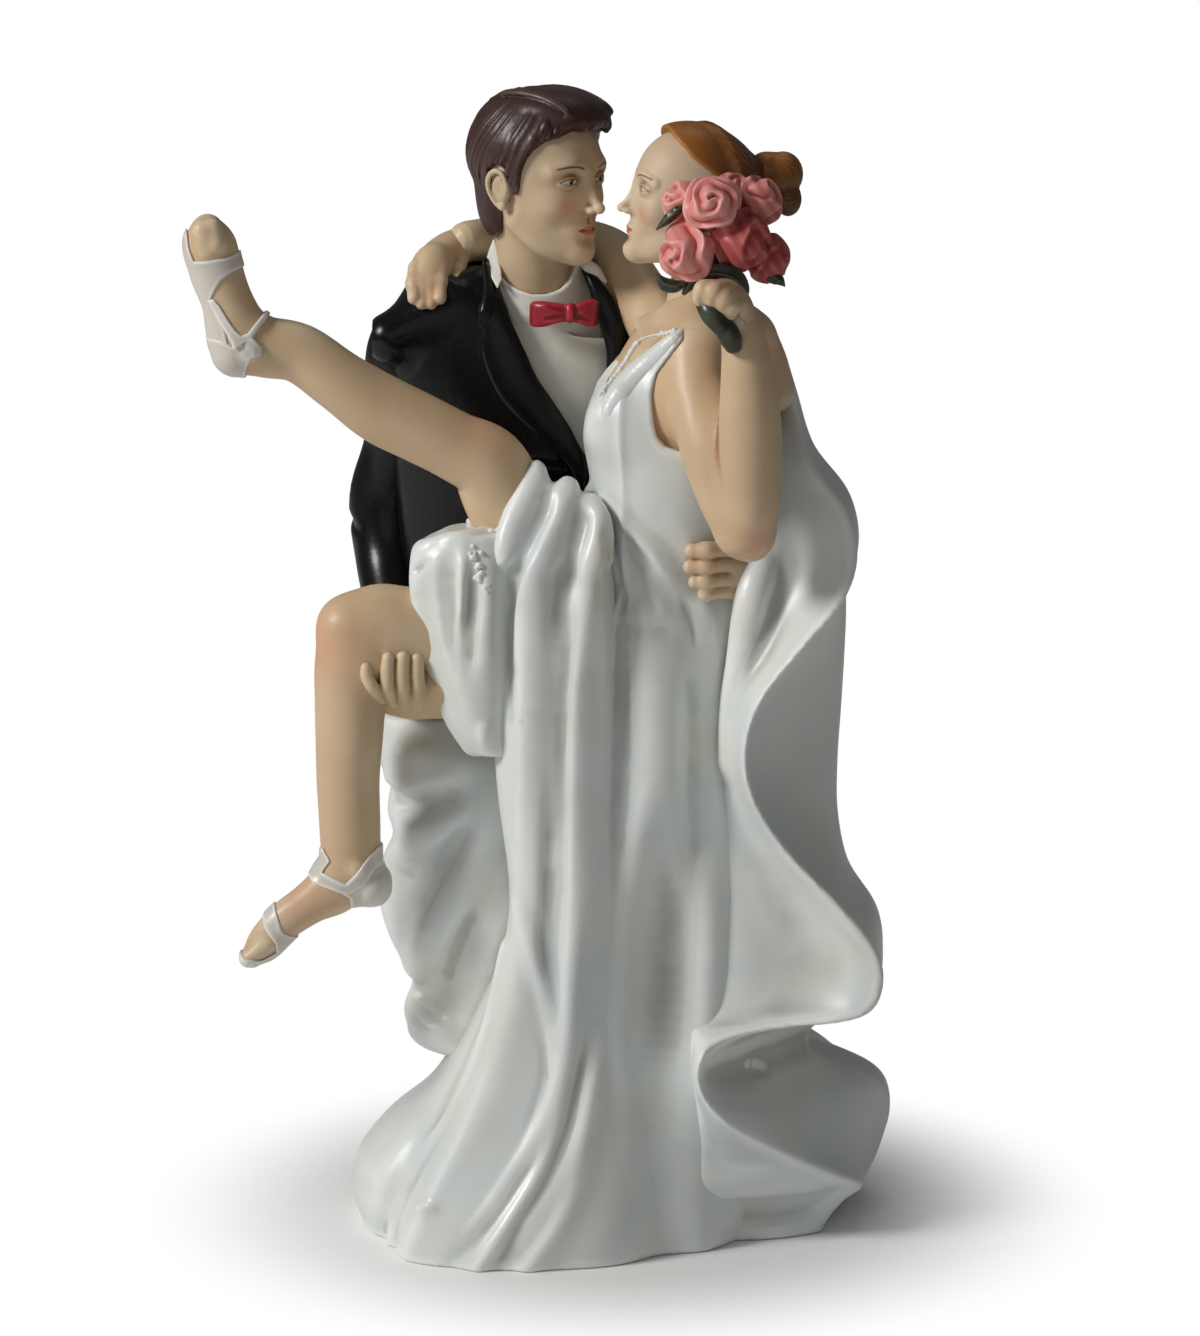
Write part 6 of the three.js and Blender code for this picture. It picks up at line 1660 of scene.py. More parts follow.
for rows, soft in (
        # crests of the two peaks
        ([(537, 470, 0.8, 0.0), (530, 488, 1.4, 0.4), (519, 512, 1.5, 0.5), (508, 538, 1.3, 0.4),
          (501, 570, 1.1, 0.2), (498, 610, 0.9, 0.0)], 1.3),
        ([(569, 487, 1.0, 0.0), (561, 504, 1.6, 0.5), (548, 530, 1.8, 0.6), (537, 560, 1.9, 0.5),
          (529, 600, 1.8, 0.2), (525, 650, 1.8, 0.0)], 1.7),
        ([(593, 504, 1.0, 0.0), (597, 525, 1.5, 0.4), (592, 560, 1.7, 0.4), (586, 600, 1.7, 0.2),
          (582, 650, 1.6, 0.0)], 1.7),
        ([(574, 900, 0.9, 0.0), (571, 960, 0.9, 0.15), (566, 1040, 0.9, 0.25), (553, 1100, 0.9, 0.3),
          (528, 1155, 0.9, 0.3), (498, 1205, 0.9, 0.3), (466, 1250, 0.9, 0.2), (444, 1290, 0.9, 0.1)],
          1.5),
        ([(508, 950, 0.9, 0.0), (492, 1020, 0.9, 0.2), (466, 1090, 0.9, 0.25), (432, 1150, 0.9, 0.25),
          (402, 1215, 0.9, 0.2), (380, 1290, 0.9, 0.1)], 1.5),
        ([(596, 1035, 0.7, 0.0), (591, 1085, 0.8, 0.15), (580, 1135, 0.8, 0.2), (560, 1180, 0.9, 0.2),
          (532, 1225, 0.9, 0.15), (500, 1270, 0.8, 0.0)], 1.6),
        ([(523, 905, 0.8, 0.0), (532, 950, 0.9, 0.25), (545, 990, 0.9, 0.3), (554, 1030, 0.9, 0.2),
          (558, 1066, 0.9, 0.0)], 1.5)):
    front.draw(rows, soft=soft)
for rows, soft in (
        ([(549, 486, 0.6, 0.2), (546, 508, 0.9, 0.8), (533, 536, 1.0, 0.9), (518, 568, 0.9, 0.8),
          (510, 600, 0.8, 0.6), (507, 650, 0.7, 0.4), (507, 720, 0.6, 0.0)], 1.0),
        ([(581, 501, 0.7, 0.2), (581, 525, 1.1, 0.7), (570, 562, 1.1, 0.6), (560, 605, 1.0, 0.3),
          (555, 670, 1.0, 0.0)], 1.4),
        ([(607, 520, 0.6, 0.2), (613, 548, 0.8, 0.5), (619, 590, 0.9, 0.5), (621, 660, 0.9, 0.3),
          (621, 760, 0.8, 0.0)], 1.3),
        ([(551, 780, 0.8, 0.0), (549, 850, 0.8, 0.25), (547, 910, 0.8, 0.35), (547, 955, 0.7, 0.25),
          (552, 1000, 0.4, 0.0)], 1.2),
        ([(546, 1136, 0.6, 0.0), (515, 1184, 0.8, 0.2), (488, 1222, 0.8, 0.25), (452, 1262, 0.8, 0.25),
          (440, 1290, 0.8, 0.2)], 1.3)):
    front.draw(rows, soft=soft, cut=True)
front.draw([(521.4, 722, 0.46, 0.3), (522.6, 725, 0.46, 0.3)], soft=0.15, cut=True)
front.draw([(418, 1208, 0.2, 0.1), (428, 1206, 0.3, 0.25), (438, 1211, 0.2, 0.1)], soft=0.4)
front.relax(1)
front.share_skin(skirt, 2.0)
flat_bottom(front)
# Spots of brownish painted shade in the folds.
cast("front_drape", front, gown_paint, ["dress_front_drape"],
     stain=stains((611, 560, -17, 3, 0.8), (614, 600, -17, 3, 0.6), (553, 700, -18, 4, 0.3),
                  (552, 800, -18, 4, 0.25), (509, 600, -18, 2, 0.3), (428, 1209, -27, 1.5, 0.8),
                  (478, 1235, -27, 3, 0.3)))

# %% [markdown]
# ### The bodice
# The bodice lies on the chest: a bust, a smooth waist with soft pulls that run to the groom's hand,
# and a front piece that narrows to a point on the shoulder. That front piece is the chest's own
# surface let out by less than half a millimetre, so it can't float.

# %% A thin layer over another clay
def skin_over(body, outline, away, cover, soft=0.3, deep=0.6):
    """The body's surface let out by cover, kept only inside a picture outline, and deep below it."""
    clay = body.blank()
    inside = np.minimum(clay.field, clay.outside(flat_outline(outline, away)))
    edge = -join(-(body.field - cover), -inside, soft)
    clay.field = np.maximum(edge, -body.field - deep)
    return clay


# %% Bodice
BODICE_RADIUS = 11.7
RELAXED_MM2 = 1.6
bodice_rows = [
    [0.08, -0.1, 0.762, 0.62, 0.55], [0.08, -0.1, 0.75, 0.78, 0.68], [0.073, -0.12, 0.73, 0.94, 0.72],
    [0.07, -0.125, 0.705, 1, 0.74], [0.067, -0.125, 0.665, 0.9, 0.69],
    [0.064, -0.117, 0.628, 0.83, 0.66], [0.061, -0.1, 0.6, 0.84, 0.7], [0.06, -0.083, 0.566, 0.9, 0.8],
    [0.052, -0.067, 0.528, 0.92, 0.86]]
bodice_rings = limb_rings(bodice_rows, BODICE_RADIUS, sides=72, steps=8)
bodice_low, bodice_high = box_of(bodice_rings, margin=4.0)
bodice = Clay(bodice_low, np.maximum(bodice_high, seen(690, 322, 0) + 1), cell=0.24, reach=3.0)
bodice.loft(bodice_rings)
bulges(bodice, [(622, 424, -11.8, 4.6, 3.2, 4.2, 3.0)])
bodice.relax(round(RELAXED_MM2 / bodice.cell ** 2))
armhole = flat_outline([(678, 330), (664, 356), (652, 374), (648, 390), (648, 406), (651, 422),
                        (656, 436), (665, 446), (678, 451), (700, 453), (760, 440), (760, 330)], -15.0)
bodice.carve(np.maximum(bodice.outside(armhole), bodice.axes()[1] + 6.0), 0.5)
chest_copy = bodice.blank()
chest_copy.field = shoulders.read(*bodice.axes()).astype(np.float32)
panel = skin_over(chest_copy, [(675, 329), (684, 333), (669, 352), (656, 370), (650, 390), (652, 430),
                               (588, 444), (582, 412), (593, 393), (606, 377),
                                (616, 362), (620, 371), (612, 388), (605, 405), (613, 397), (628, 380),
                                (645, 362), (664, 341)], -12.0, 0.42)
bodice.field = join(bodice.field, panel.field, 1.0)
beyond = flat_outline([(555, 339), (634, 339), (627, 353), (619, 366), (606, 380), (597, 391), (588, 404),
                       (583, 417), (578, 440), (555, 440)], -14.0)
for clay in (bodice, shoulders):
    clay.carve(clay.outside(beyond), 1.2)

# %% Neckline, with the skin raised to just under the edge of the cloth
neckline = flat_outline([(622, 326), (668, 334), (662, 344), (645, 361), (628, 379), (613, 396),
                         (604, 405), (607, 388), (617, 370), (622, 358), (620, 342)], -14.0)
under = bodice.read(*shoulders.axes()).astype(np.float32)
wide = shoulders.outside(neckline) - 0.8
filling = np.maximum(np.maximum(under + 0.22, wide), -under - 3.0)
shoulders.field = join(shoulders.field, filling, 1.0)
bodice.carve(np.maximum(bodice.outside(neckline), -shoulders.read(*bodice.axes()) - 0.7), 0.15)
cast("shoulders", shoulders, skin_paint, ["bride_shoulders"],
     rosy=lambda p: (0.5 * near(p, 655, 420, -15, 4) + 0.3 * near(p, 690, 330, -8, 4)
                     + 0.7 * near(p, 772, 345, -6, 6)))
for rows, soft in (
        ([(590, 494, 0.8, 0.1), (612, 512, 1.1, 0.45), (640, 540, 1.2, 0.55), (664, 570, 1.2, 0.5),
          (684, 596, 1.0, 0.2)], 1.6),
        ([(606, 530, 1.0, 0.1), (622, 560, 1.2, 0.4), (640, 600, 1.2, 0.4), (648, 636, 1.1, 0.2)], 1.6),
        ([(650, 560, 0.7, 0.1), (660, 590, 0.9, 0.4), (667, 616, 0.8, 0.1)], 1.2),
        ([(700, 596, 0.8, 0.2), (706, 618, 0.9, 0.4), (708, 650, 0.8, 0.1)], 1.2),
        ([(664, 500, 1.0, -1.6), (690, 540, 1.2, -0.6), (700, 590, 1.1, -1.6)], 2.0)):
    bodice.draw(rows, soft=soft)
for rows, soft in (
        ([(597, 506, 0.7, 0.2), (614, 528, 0.9, 0.5), (636, 556, 0.9, 0.5), (656, 584, 0.8, 0.4),
          (674, 612, 0.6, 0.2)], 1.2),
        ([(604, 512, 0.5, 0.2), (612, 545, 0.7, 0.5), (622, 590, 0.7, 0.5), (627, 630, 0.6, 0.3)], 0.9),
        ([(684, 600, 0.5, 0.2), (690, 622, 0.6, 0.5), (694, 650, 0.5, 0.3)], 0.8)):
    bodice.draw(rows, soft=soft, cut=True)
bodice.relax(1)
bodice.share_skin(skirt, 3.0)
flat_bottom(skirt)
# Spots of brownish painted shade below the groom's hand and in the skirt's valleys.
cast("skirt", skirt, gown_paint, ["dress_skirt"],
     stain=stains((668, 620, -15, 4, 0.7), (640, 610, -16, 3, 0.6), (668, 1000, -16, 5, 0.35),
                  (662, 1130, -18, 5, 0.3)))
# Spots of brownish painted shade in the grooves of the bodice.
cast("bodice", bodice, gown_paint, ["dress_bodice"],
     stain=stains((612, 540, -16, 3, 0.7), (650, 600, -16, 4, 0.7), (684, 612, -16, 3, 0.6),
                  (604, 505, -15, 2, 0.6)))

# %% Straps: a broad fold over the near shoulder, and a string of tiny beads along the neckline
strap = Clay(*seen_box(575, 315, 705, 440, -24, 0), cell=0.15)
ridge_rows = [(681, 333, 0.6, 0.3), (669, 345, 1.1, 0.38), (654, 361, 1.6, 0.36), (638, 378, 2.0, 0.3),
              (625, 393, 2.0, 0.2), (615, 407, 1.8, 0.02), (607, 422, 1.4, -0.2)]
laid(strap, (bodice, shoulders), ridge_rows)
cast("broad_strap", strap, gown_paint, ["near_strap"])

beads = Clay(*seen_box(580, 318, 690, 425, -20, 2), cell=0.11)
rim_rows = [(674, 331, 0.25, 0.3), (660, 334, 0.16, 0.2), (647, 337, 0.16, 0.2), (638, 342, 0.25, 0.3),
            (632, 350, 0.26, 0.3), (627, 359, 0.26, 0.3),
            (620, 369, 0.26, 0.3), (610, 382, 0.25, 0.3), (600, 395, 0.2, 0.25)]
line = laid(beads, (bodice, shoulders), rim_rows, steps=7)
for k, spot in enumerate(line):
    if k < 8 or k > 20:
        beads.ball(spot + np.array([0.05 * (-1) ** k, -0.12, 0.1 * (-1) ** k]), 0.26 if k % 3 else 0.36,
                   soft=0.1)
cast("beads", beads, gown_paint, ["beaded_strap"])

# %% The gathered piece over the groom's arm, with its lace garter
side_rows = [
    [0.436, -0.205, -0.16, -0.29, -0.2], [0.456, -0.23, -0.16, -0.3, -0.14],
    [0.486, -0.25, -0.155, -0.31, -0.09], [0.513, -0.264, -0.15, -0.315, -0.07],
    [0.539, -0.275, -0.15, -0.315, -0.06], [0.565, -0.285, -0.15, -0.31, -0.05],
    [0.59, -0.293, -0.15, -0.3, -0.05], [0.613, -0.29, -0.15, -0.285, -0.07],
    [0.628, -0.25, -0.16, -0.27, -0.1]]
side_rings = garment_rings(side_rows, [], sides=150, steps=7)
side = Clay(*box_of(side_rings, margin=2.0), cell=0.24)
side.loft(side_rings)
side.relax(2)
for rows, soft in (
        ([(463, 548, 0.6, 0.1), (463, 575, 0.9, 0.5), (461, 605, 0.8, 0.5), (457, 640, 0.5, 0.05)], 0.9),
        ([(424, 552, 1.3, 0.3), (422, 585, 1.5, 0.3), (430, 630, 1.5, 0.3), (441, 675, 1.5, 0.3),
          (455, 716, 1.4, 0.3), (472, 745, 1.2, 0.2)], 1.8),
        ([(487, 560, 1.0, 0.2), (486, 620, 1.3, 0.35), (486, 680, 1.2, 0.2)], 1.8),
        ([(484, 724, 0.7, 0.2), (484, 734, 0.8, 0.35), (486, 742, 0.6, 0.1)], 0.9),
        ([(424, 549, 0.7, 0.2), (438, 542, 0.8, 0.3), (460, 537, 0.8, 0.3), (488, 532, 0.7, 0.2)], 1.2)):
    side.draw(rows, soft=soft)
for rows, soft in (
        ([(446, 552, 0.8, 0.2), (446, 590, 1.0, 0.4), (448, 625, 0.9, 0.35), (452, 668, 0.7, 0.1)], 1.5),
        ([(473, 560, 0.7, 0.2), (473, 600, 0.8, 0.5), (469, 640, 0.7, 0.35), (466, 680, 0.5, 0.1)], 1.2),
        ([(425, 562, 0.3, 0.1), (419, 567, 0.5, 0.35), (413, 571, 0.5, 0.3)], 0.5)):
    side.draw(rows, soft=soft, cut=True)
side.relax(1)
# Spots of brownish painted shade in the two cut grooves.
cast("side_drape", side, gown_paint, ["dress_side_drape"],
     stain=stains((474, 640, -18, 5, 0.35), (447, 600, -18, 4, 0.3)))

lace_rows = [[-0.16, -0.145, 0.645, 0.83, 0.81], [-0.15, -0.137, 0.632, 0.88, 0.87],
             [-0.14, -0.13, 0.62, 0.92, 0.92]]
lace_rings = limb_rings(lace_rows, 6.4, 0.35, sides=52, steps=6, round_ends=False)
lace = Clay(*box_of(lace_rings, margin=5.0), cell=0.14)
lace.loft(lace_rings)
for row, size, count in ((0, 0.55, 30), (len(lace_rings) // 2, 0.42, 34), (-1, 0.62, 30)):
    ring = lace_rings[row]
    for k in range(count):
        lace.ball(ring[int(k * 52 / count) % 52] + chance.normal(0, 0.12, 3),
                  size * chance.uniform(0.75, 1.2), soft=0.18)
for k in range(20):
    px, py = 472 + 0.7 * k + chance.normal(0, 3.5), 546 + 2.4 * k + chance.normal(0, 3.5)
    found = side.front_of(px, py)
    if found is not None:
        lace.ball(seen(px, py, found - 0.08), chance.uniform(0.26, 0.44), soft=0.05)
cast("lace_garter", lace, gown_paint, ["garter_frill"], whole=False)

# %% Folds that fall behind, at the left
back_rows = [
    [0.145, -0.25, -0.12, -0.15, 0.12], [0.157, -0.306, -0.12, -0.16, 0.13],
    [0.176, -0.31, -0.11, -0.15, 0.13], [0.208, -0.293, -0.1, -0.14, 0.13],
    [0.24, -0.315, -0.1, -0.15, 0.13], [0.277, -0.329, -0.1, -0.16, 0.13],
    [0.305, -0.326, -0.1, -0.15, 0.13], [0.337, -0.313, -0.1, -0.14, 0.13],
    [0.36, -0.338, -0.1, -0.15, 0.13], [0.4, -0.331, -0.1, -0.13, 0.13],
    [0.42, -0.352, -0.12, -0.12, 0.12], [0.45, -0.352, -0.12, -0.08, 0.1]]
back_rings = garment_rings(back_rows, [], sides=120, steps=6, squareness=0.9, back_folds=7,
                           back_depth=0.5)
back = Clay(*box_of(back_rings, margin=3.5), cell=0.28)
back.loft(back_rings)
back.relax(2)
for rows, soft in (
        ([(397, 752, 2.2, 1.0), (420, 762, 2.8, 1.4), (446, 772, 2.6, 0.8), (470, 776, 2.0, 0.2)], 2.6),
        ([(398, 776, 1.4, 0.5), (425, 788, 1.9, 0.7), (452, 786, 1.4, 0.2)], 2.0),
        ([(486, 800, 2.0, 0.2), (455, 816, 2.6, 0.9), (425, 834, 2.8, 1.4), (406, 862, 2.8, 1.5),
          (401, 895, 2.6, 1.4), (405, 928, 2.0, 0.9), (414, 955, 1.4, 0.3)], 2.4),
        ([(492, 812, 1.6, 0.2), (480, 846, 2.1, 0.7), (462, 884, 2.2, 0.9), (444, 918, 2.1, 0.9),
          (428, 946, 1.8, 0.7), (419, 968, 1.3, 0.3)], 2.0),
        ([(505, 900, 1.4, 0.1), (492, 950, 1.8, 0.6), (474, 1002, 1.8, 0.6), (458, 1030, 1.4, 0.2)], 1.8),
        ([(424, 988, 1.5, 0.4), (418, 1010, 1.7, 0.6), (432, 1029, 1.6, 0.6), (450, 1034, 1.2, 0.2)],
         1.8)):
    back.draw(rows, soft=soft)
for rows, soft in (
        ([(386, 797, 0.9, 0.5), (410, 807, 1.4, 0.9), (438, 800, 1.4, 0.9), (466, 792, 1.1, 0.5)], 1.6),
        ([(474, 822, 0.8, 0.2), (452, 850, 1.2, 0.7), (430, 888, 1.2, 0.8), (417, 918, 0.9, 0.4)], 1.4),
        ([(480, 900, 0.8, 0.2), (456, 952, 1.1, 0.6), (440, 990, 0.8, 0.3)], 1.4)):
    back.draw(rows, soft=soft, cut=True)
back.relax(1)
# Spots of brownish painted shade in the folds behind.
cast("back_folds", back, gown_paint, ["dress_back_folds"],
     stain=stains((415, 1000, -8, 4, 0.5), (405, 880, -6, 4, 0.25), (445, 830, -9, 4, 0.2)))

# %% [markdown]
# ### The train
# The train is a wide sheet that starts at the shoulders, stands free behind them, and waves: it opens
# at the hips, closes, opens again, and rolls under at the floor. From the front both its faces show,
# the lit hollow inside and the dark outside, with the cloth's rounded edge between them. Each level
# outline runs from its seam on the dress along the hollow to that edge, and back round the outside.

# %% Train
# level, seam x y, edge x y, outer x y, how hollow, how far the hollow sways
train_rows = [
    [-0.03, 0.1, -0.27, 0.27, -0.23, 0.305, -0.02, -0.35, 0],
    [0, 0.1, -0.27, 0.275, -0.23, 0.31, -0.02, -0.35, 0],
    [0.016, 0.1, -0.275, 0.29, -0.22, 0.335, 0, -0.25, 0],
    [0.03, 0.1, -0.3, 0.31, -0.22, 0.352, 0, -0.1, 0],
    [0.043, 0.098, -0.33, 0.335, -0.23, 0.361, -0.02, -0.05, 0],
    [0.06, 0.097, -0.345, 0.3, -0.29, 0.37, -0.033, 0.0, 0],
    [0.09, 0.096, -0.34, 0.216, -0.36, 0.382, -0.033, 0.3, 0],
    [0.116, 0.096, -0.33, 0.146, -0.4, 0.368, -0.033, 0.6, 0],
    [0.14, 0.093, -0.32, 0.108, -0.415, 0.275, -0.033, 0.9, 0],
    [0.16, 0.091, -0.315, 0.096, -0.41, 0.262, -0.033, 0.8, 0],
    [0.178, 0.09, -0.31, 0.1, -0.41, 0.3, -0.033, 0.6, 0],
    [0.19, 0.09, -0.3, 0.118, -0.4, 0.33, -0.033, 0.3, 0],
    [0.197, 0.088, -0.28, 0.19, -0.39, 0.345, -0.033, 0.15, 0],
    [0.203, 0.087, -0.27, 0.29, -0.36, 0.355, -0.033, 0.05, 0.2],
    [0.214, 0.086, -0.25, 0.34, -0.34, 0.367, -0.033, 0.05, 0.5],
    [0.24, 0.085, -0.23, 0.357, -0.33, 0.369, -0.033, 0.1, 0.8],
    [0.27, 0.085, -0.22, 0.345, -0.33, 0.362, -0.033, 0.15, 0.8],
    [0.309, 0.093, -0.21, 0.297, -0.34, 0.321, -0.017, 0.25, 0.6],
    [0.359, 0.115, -0.2, 0.221, -0.36, 0.304, 0, 0.35, 0.3],
    [0.406, 0.122, -0.2, 0.173, -0.38, 0.303, 0, 0.5, 0],
    [0.45, 0.125, -0.195, 0.161, -0.385, 0.307, 0, 0.5, 0],
    [0.492, 0.129, -0.185, 0.182, -0.38, 0.31, -0.017, 0.35, 0],
    [0.533, 0.131, -0.17, 0.237, -0.365, 0.312, -0.033, 0.2, 0.1],
    [0.573, 0.134, -0.155, 0.296, -0.335, 0.313, -0.05, 0.1, 0.2],
    [0.608, 0.138, -0.145, 0.317, -0.29, 0.328, -0.067, 0.1, 0.2],
    [0.646, 0.15, -0.12, 0.306, -0.25, 0.316, -0.067, 0.15, 0.1],
    [0.687, 0.175, -0.1, 0.257, -0.19, 0.266, -0.067, 0.4, 0],
    [0.736, 0.195, -0.05, 0.232, -0.11, 0.24, -0.033, 0.8, 0],
    [0.775, 0.19, -0.02, 0.21, -0.06, 0.22, -0.01, 1, 0]]
train_back = np.array([[0, 0.2, 0.3], [0.1, 0.2, 0.36], [0.2, 0.17, 0.38], [0.35, 0.14, 0.4],
                       [0.5, 0.13, 0.42], [0.6, 0.12, 0.44], [0.68, 0.11, 0.4],
                       [0.74, 0.12, 0.22], [0.775, 0.15, 0.08]])


def train_ring(row):
    level = row[0]
    flat = np.array([WIDTH, DEPTH])
    seam, edge, outer = row[1:3] * flat, row[3:5] * flat, row[5:7] * flat
    back = np.array([np.interp(level, train_back[:, 0], train_back[:, k]) for k in (1, 2)]) * flat
    span = np.linalg.norm(edge - seam)
    bend = (seam + edge) / 2 + np.array([0, 2 * min(5.5, span * 0.4) * row[7]])
    t = np.linspace(0, 1, 34)[:, None]
    inner = seam * (1 - t) ** 2 + bend * 2 * t * (1 - t) + edge * t * t
    inner[:, 1] -= row[8] * min(1.5, span * 0.1) * np.sin(2 * np.pi * np.clip(t[:, 0] * 1.15, 0, 1))
    reach = outer - edge
    thick = min(1.4, np.linalg.norm(reach) * 0.45)
    along = reach / max(np.linalg.norm(reach), 1e-6)
    tangent = (edge - bend) / max(np.linalg.norm(edge - bend), 1e-6)
    u = np.linspace(0.15, 0.85, 6)[:, None] * np.pi
    rim = edge + along * thick * 0.5 * (1 - np.cos(u)) + tangent * 0.35 * thick * np.sin(u)
    start = edge + along * thick
    t = np.linspace(0, 1, 16)[:, None]
    face = start + (outer - start) * t
    u = np.linspace(0, np.pi / 2, 30)[1:, None]
    wave = 0.8 * np.sin(7 * u) * np.sin(2 * u)
    rear = np.hstack([back[0] + (outer[0] - back[0]) * np.cos(u) + wave,
                      outer[1] + (back[1] - outer[1]) * np.sin(u) + wave])
    t = np.linspace(0, 1, 14)[1:-1, None]
    close = back + (seam - back) * t
    ring = np.vstack([inner, rim, face, rear, close])
    return np.column_stack([ring, np.full(len(ring), level * HEIGHT)])


train_rings = np.array([train_ring(row) for row in smooth_line(train_rows, 6)])
train = Clay(*box_of(train_rings, margin=2.0), cell=0.34)
train.loft(train_rings)
train.relax(3)
train.tube([seen(764, 545, -9.5), seen(760, 570, -12.6), seen(752, 600, -14.4), seen(744, 650, -14.6),
            seen(736, 700, -14.2), seen(730, 760, -14.0)],
           [1.3, 1.8, 1.8, 1.6, 1.2, 0.6], soft=3.4)
train.draw([(704, 1214, 1.0, 0.0), (725, 1214, 1.8, 0.8), (765, 1213, 2.0, 1.0), (805, 1208, 1.8, 0.8),
            (835, 1198, 1.2, 0.1)], soft=1.0, cut=True)
train.draw([(746, 1061, 0.9, -0.2), (758, 1066, 0.9, -0.2)], soft=0.6)
train.relax(1)
flat_bottom(train)
# Spots of brownish painted shade in the hollow and at the seam.
cast("train", train, gown_paint, ["dress_train"],
     stain=stains((742, 620, -13, 4, 0.25), (700, 1010, -16, 4, 0.2)))

# %% [markdown]
# ## The bouquet
# Seven roses, packed so close that their petals touch. Seen from above, a rose is one long spiral:
# each petal's rim stands up, its outer side falls away, and the next rim rises in front of it. So
# each flower here is a ball whose radius follows that spiral, with three bulges in every turn for
# the petals. The heart winds tightly, and the outer petals are broad and wavy.

# %% One rose
def frame_of(facing):
    """Three directions at right angles, the last one along facing."""
    out = np.asarray(facing, float) / np.linalg.norm(facing)
    side = np.cross([0.0, 0.0, 1.0], out)
    side /= np.linalg.norm(side)
    return side, np.cross(out, side), out


def rose(name, knot, px, py, away, size, facing, turn, deep_red_and_shade, layers=3.2, hand=1):
    middle = seen(px, py, away)
    side, up, out = frame_of(facing)
    clay = Clay(middle - size * 1.45, middle + size * 1.45, cell=0.125)
    x, y, z = clay.axes()
    reach = [(x - middle[0]) * a[0] + (y - middle[1]) * a[1] + (z - middle[2]) * a[2]
             for a in (side, up, out)]
    away_from = np.sqrt(reach[0] ** 2 + reach[1] ** 2 + reach[2] ** 2) + 1e-4
    u = np.arccos(np.clip(reach[2] / away_from, -1, 1)) / 1.9
    around = hand * np.arctan2(reach[1], reach[0]) + turn
    waves = np.sin(3 * around + 4.0 * u) + 0.4 * np.sin(5 * around - 3.0 * u)
    spiral = layers * u ** 0.8 + around / (2 * np.pi) + 0.17 * waves * np.minimum(2 * u, 1)
    part = spiral - np.floor(spiral)
    fall = np.minimum(part / 0.8, (1 - part) / 0.2)
    deep = size * (0.16 + 0.1 * np.minimum(u, 1)) * (1 + 0.3 * np.sin(3 * around + 4.0 * u + 1.5))
    flare = 0.05 * np.sin(4 * around + 2.0) * np.minimum(u, 1)
    radius = size * (0.92 + 0.1 * np.minimum(u, 1) ** 2 + flare) - deep * fall ** 0.9
    radius = np.where(u > 1.15, size * 0.8, radius)
    clay.field[:] = np.clip((away_from - radius) * 0.8, -FAR, FAR)
    clay.relax(1)
    tone = lambda p: np.clip(deep_red_and_shade + 0.35 * np.sin(2.1 * p[:, 0] + 1.3 * p[:, 2] + turn) ** 2
                             - 0.1, 0, 1)
    cast(name, clay, rose_paint, [knot], depth=tone)


# The number after turn is each rose's share of deep red: partly its own paint, partly painted shade, highest
# for the roses on the right, away from the light.
rose("rose_behind", "rose_top", 730, 193, -20.4, 2.9, (0.2, -0.7, 0.7), 0.4, 0.3, 2.0)
rose("rose_by_her_cheek", "rose_upper_left", 683, 202, -20.8, 3.0, (-0.75, -0.6, 0.4), 1.3, 0.0, 1.9, -1)
rose("rose_upper", "rose_upper_right", 757, 201, -20.4, 3.5, (0.55, -0.55, 0.65), 2.2, 0.35, 2.0)
rose("rose_far_right", "rose_outer_right", 766, 257, -20.9, 3.4, (0.9, -0.4, -0.1), 0.2, 0.75, 2.0, -1)
rose("rose_right", "rose_front_right", 742, 241, -23.6, 4.1, (0.55, -0.75, -0.4), 3.4, 0.8, 2.2)
rose("rose_left", "rose_front_left", 688, 252, -24.0, 3.95, (-0.6, -0.75, -0.15), 2.0, 0.05, 2.2, -1)
rose("rose_spiral_heart", "rose_spiral", 712, 204, -24.6, 3.8, (-0.05, -0.95, 0.3), 0.9, 0.0, 3.0)

# %% Stem and leaves
stem = Clay(*seen_box(680, 215, 760, 370, -30, -15), cell=0.13)
stem.tube([place((0.128, -0.345, 0.9)), place((0.118, -0.37, 0.868)), place((0.108, -0.375, 0.845)),
           seen(709, 298, -25.0)], [1.0, 1.1, 1.1, 1.0])
stem.tube([seen(705, 304, -26.4), seen(712, 314, -27.2), seen(720, 325, -27.4)], [1.15, 1.42, 1.2],
          soft=0.4)
stem.tube([seen(721, 321, -27.0), seen(729, 335, -27.2), seen(733, 345, -26.6)], [1.1, 1.4, 1.1],
          soft=0.35)
cast("stem", stem, leaf_paint, ["bouquet_stem"])


def leaf(name, knot, rows, curl):
    """rows: picture x, y, depth and half width; a rib runs down the middle."""
    rows = np.asarray(rows, float)
    points = np.array([seen(*row[:3]) for row in rows]) / np.array([WIDTH, DEPTH, HEIGHT])
    rings = limb_rings(np.column_stack([points, rows[:, 3], rows[:, 3] * 0 + 0.42]), 1.0, sides=40,
                       steps=8)
    clay = Clay(*box_of(rings, margin=1.5), cell=0.12)
    clay.loft(rings)
    line = [seen(px, py, away - 0.42) for px, py, away, _ in rows]
    clay.tube(line, [0.1] + [0.17] * (len(line) - 2) + [0.08], soft=0.2)
    for k in range(1, len(line) - 1):
        for way in (-1, 1):
            tip = line[k] + np.array([way * rows[k, 3] * 0.8, 0.1, curl * 0.6])
            clay.tube([line[k], tip], [0.1, 0.05], soft=0.15)
    cast(name, clay, leaf_paint, [knot])


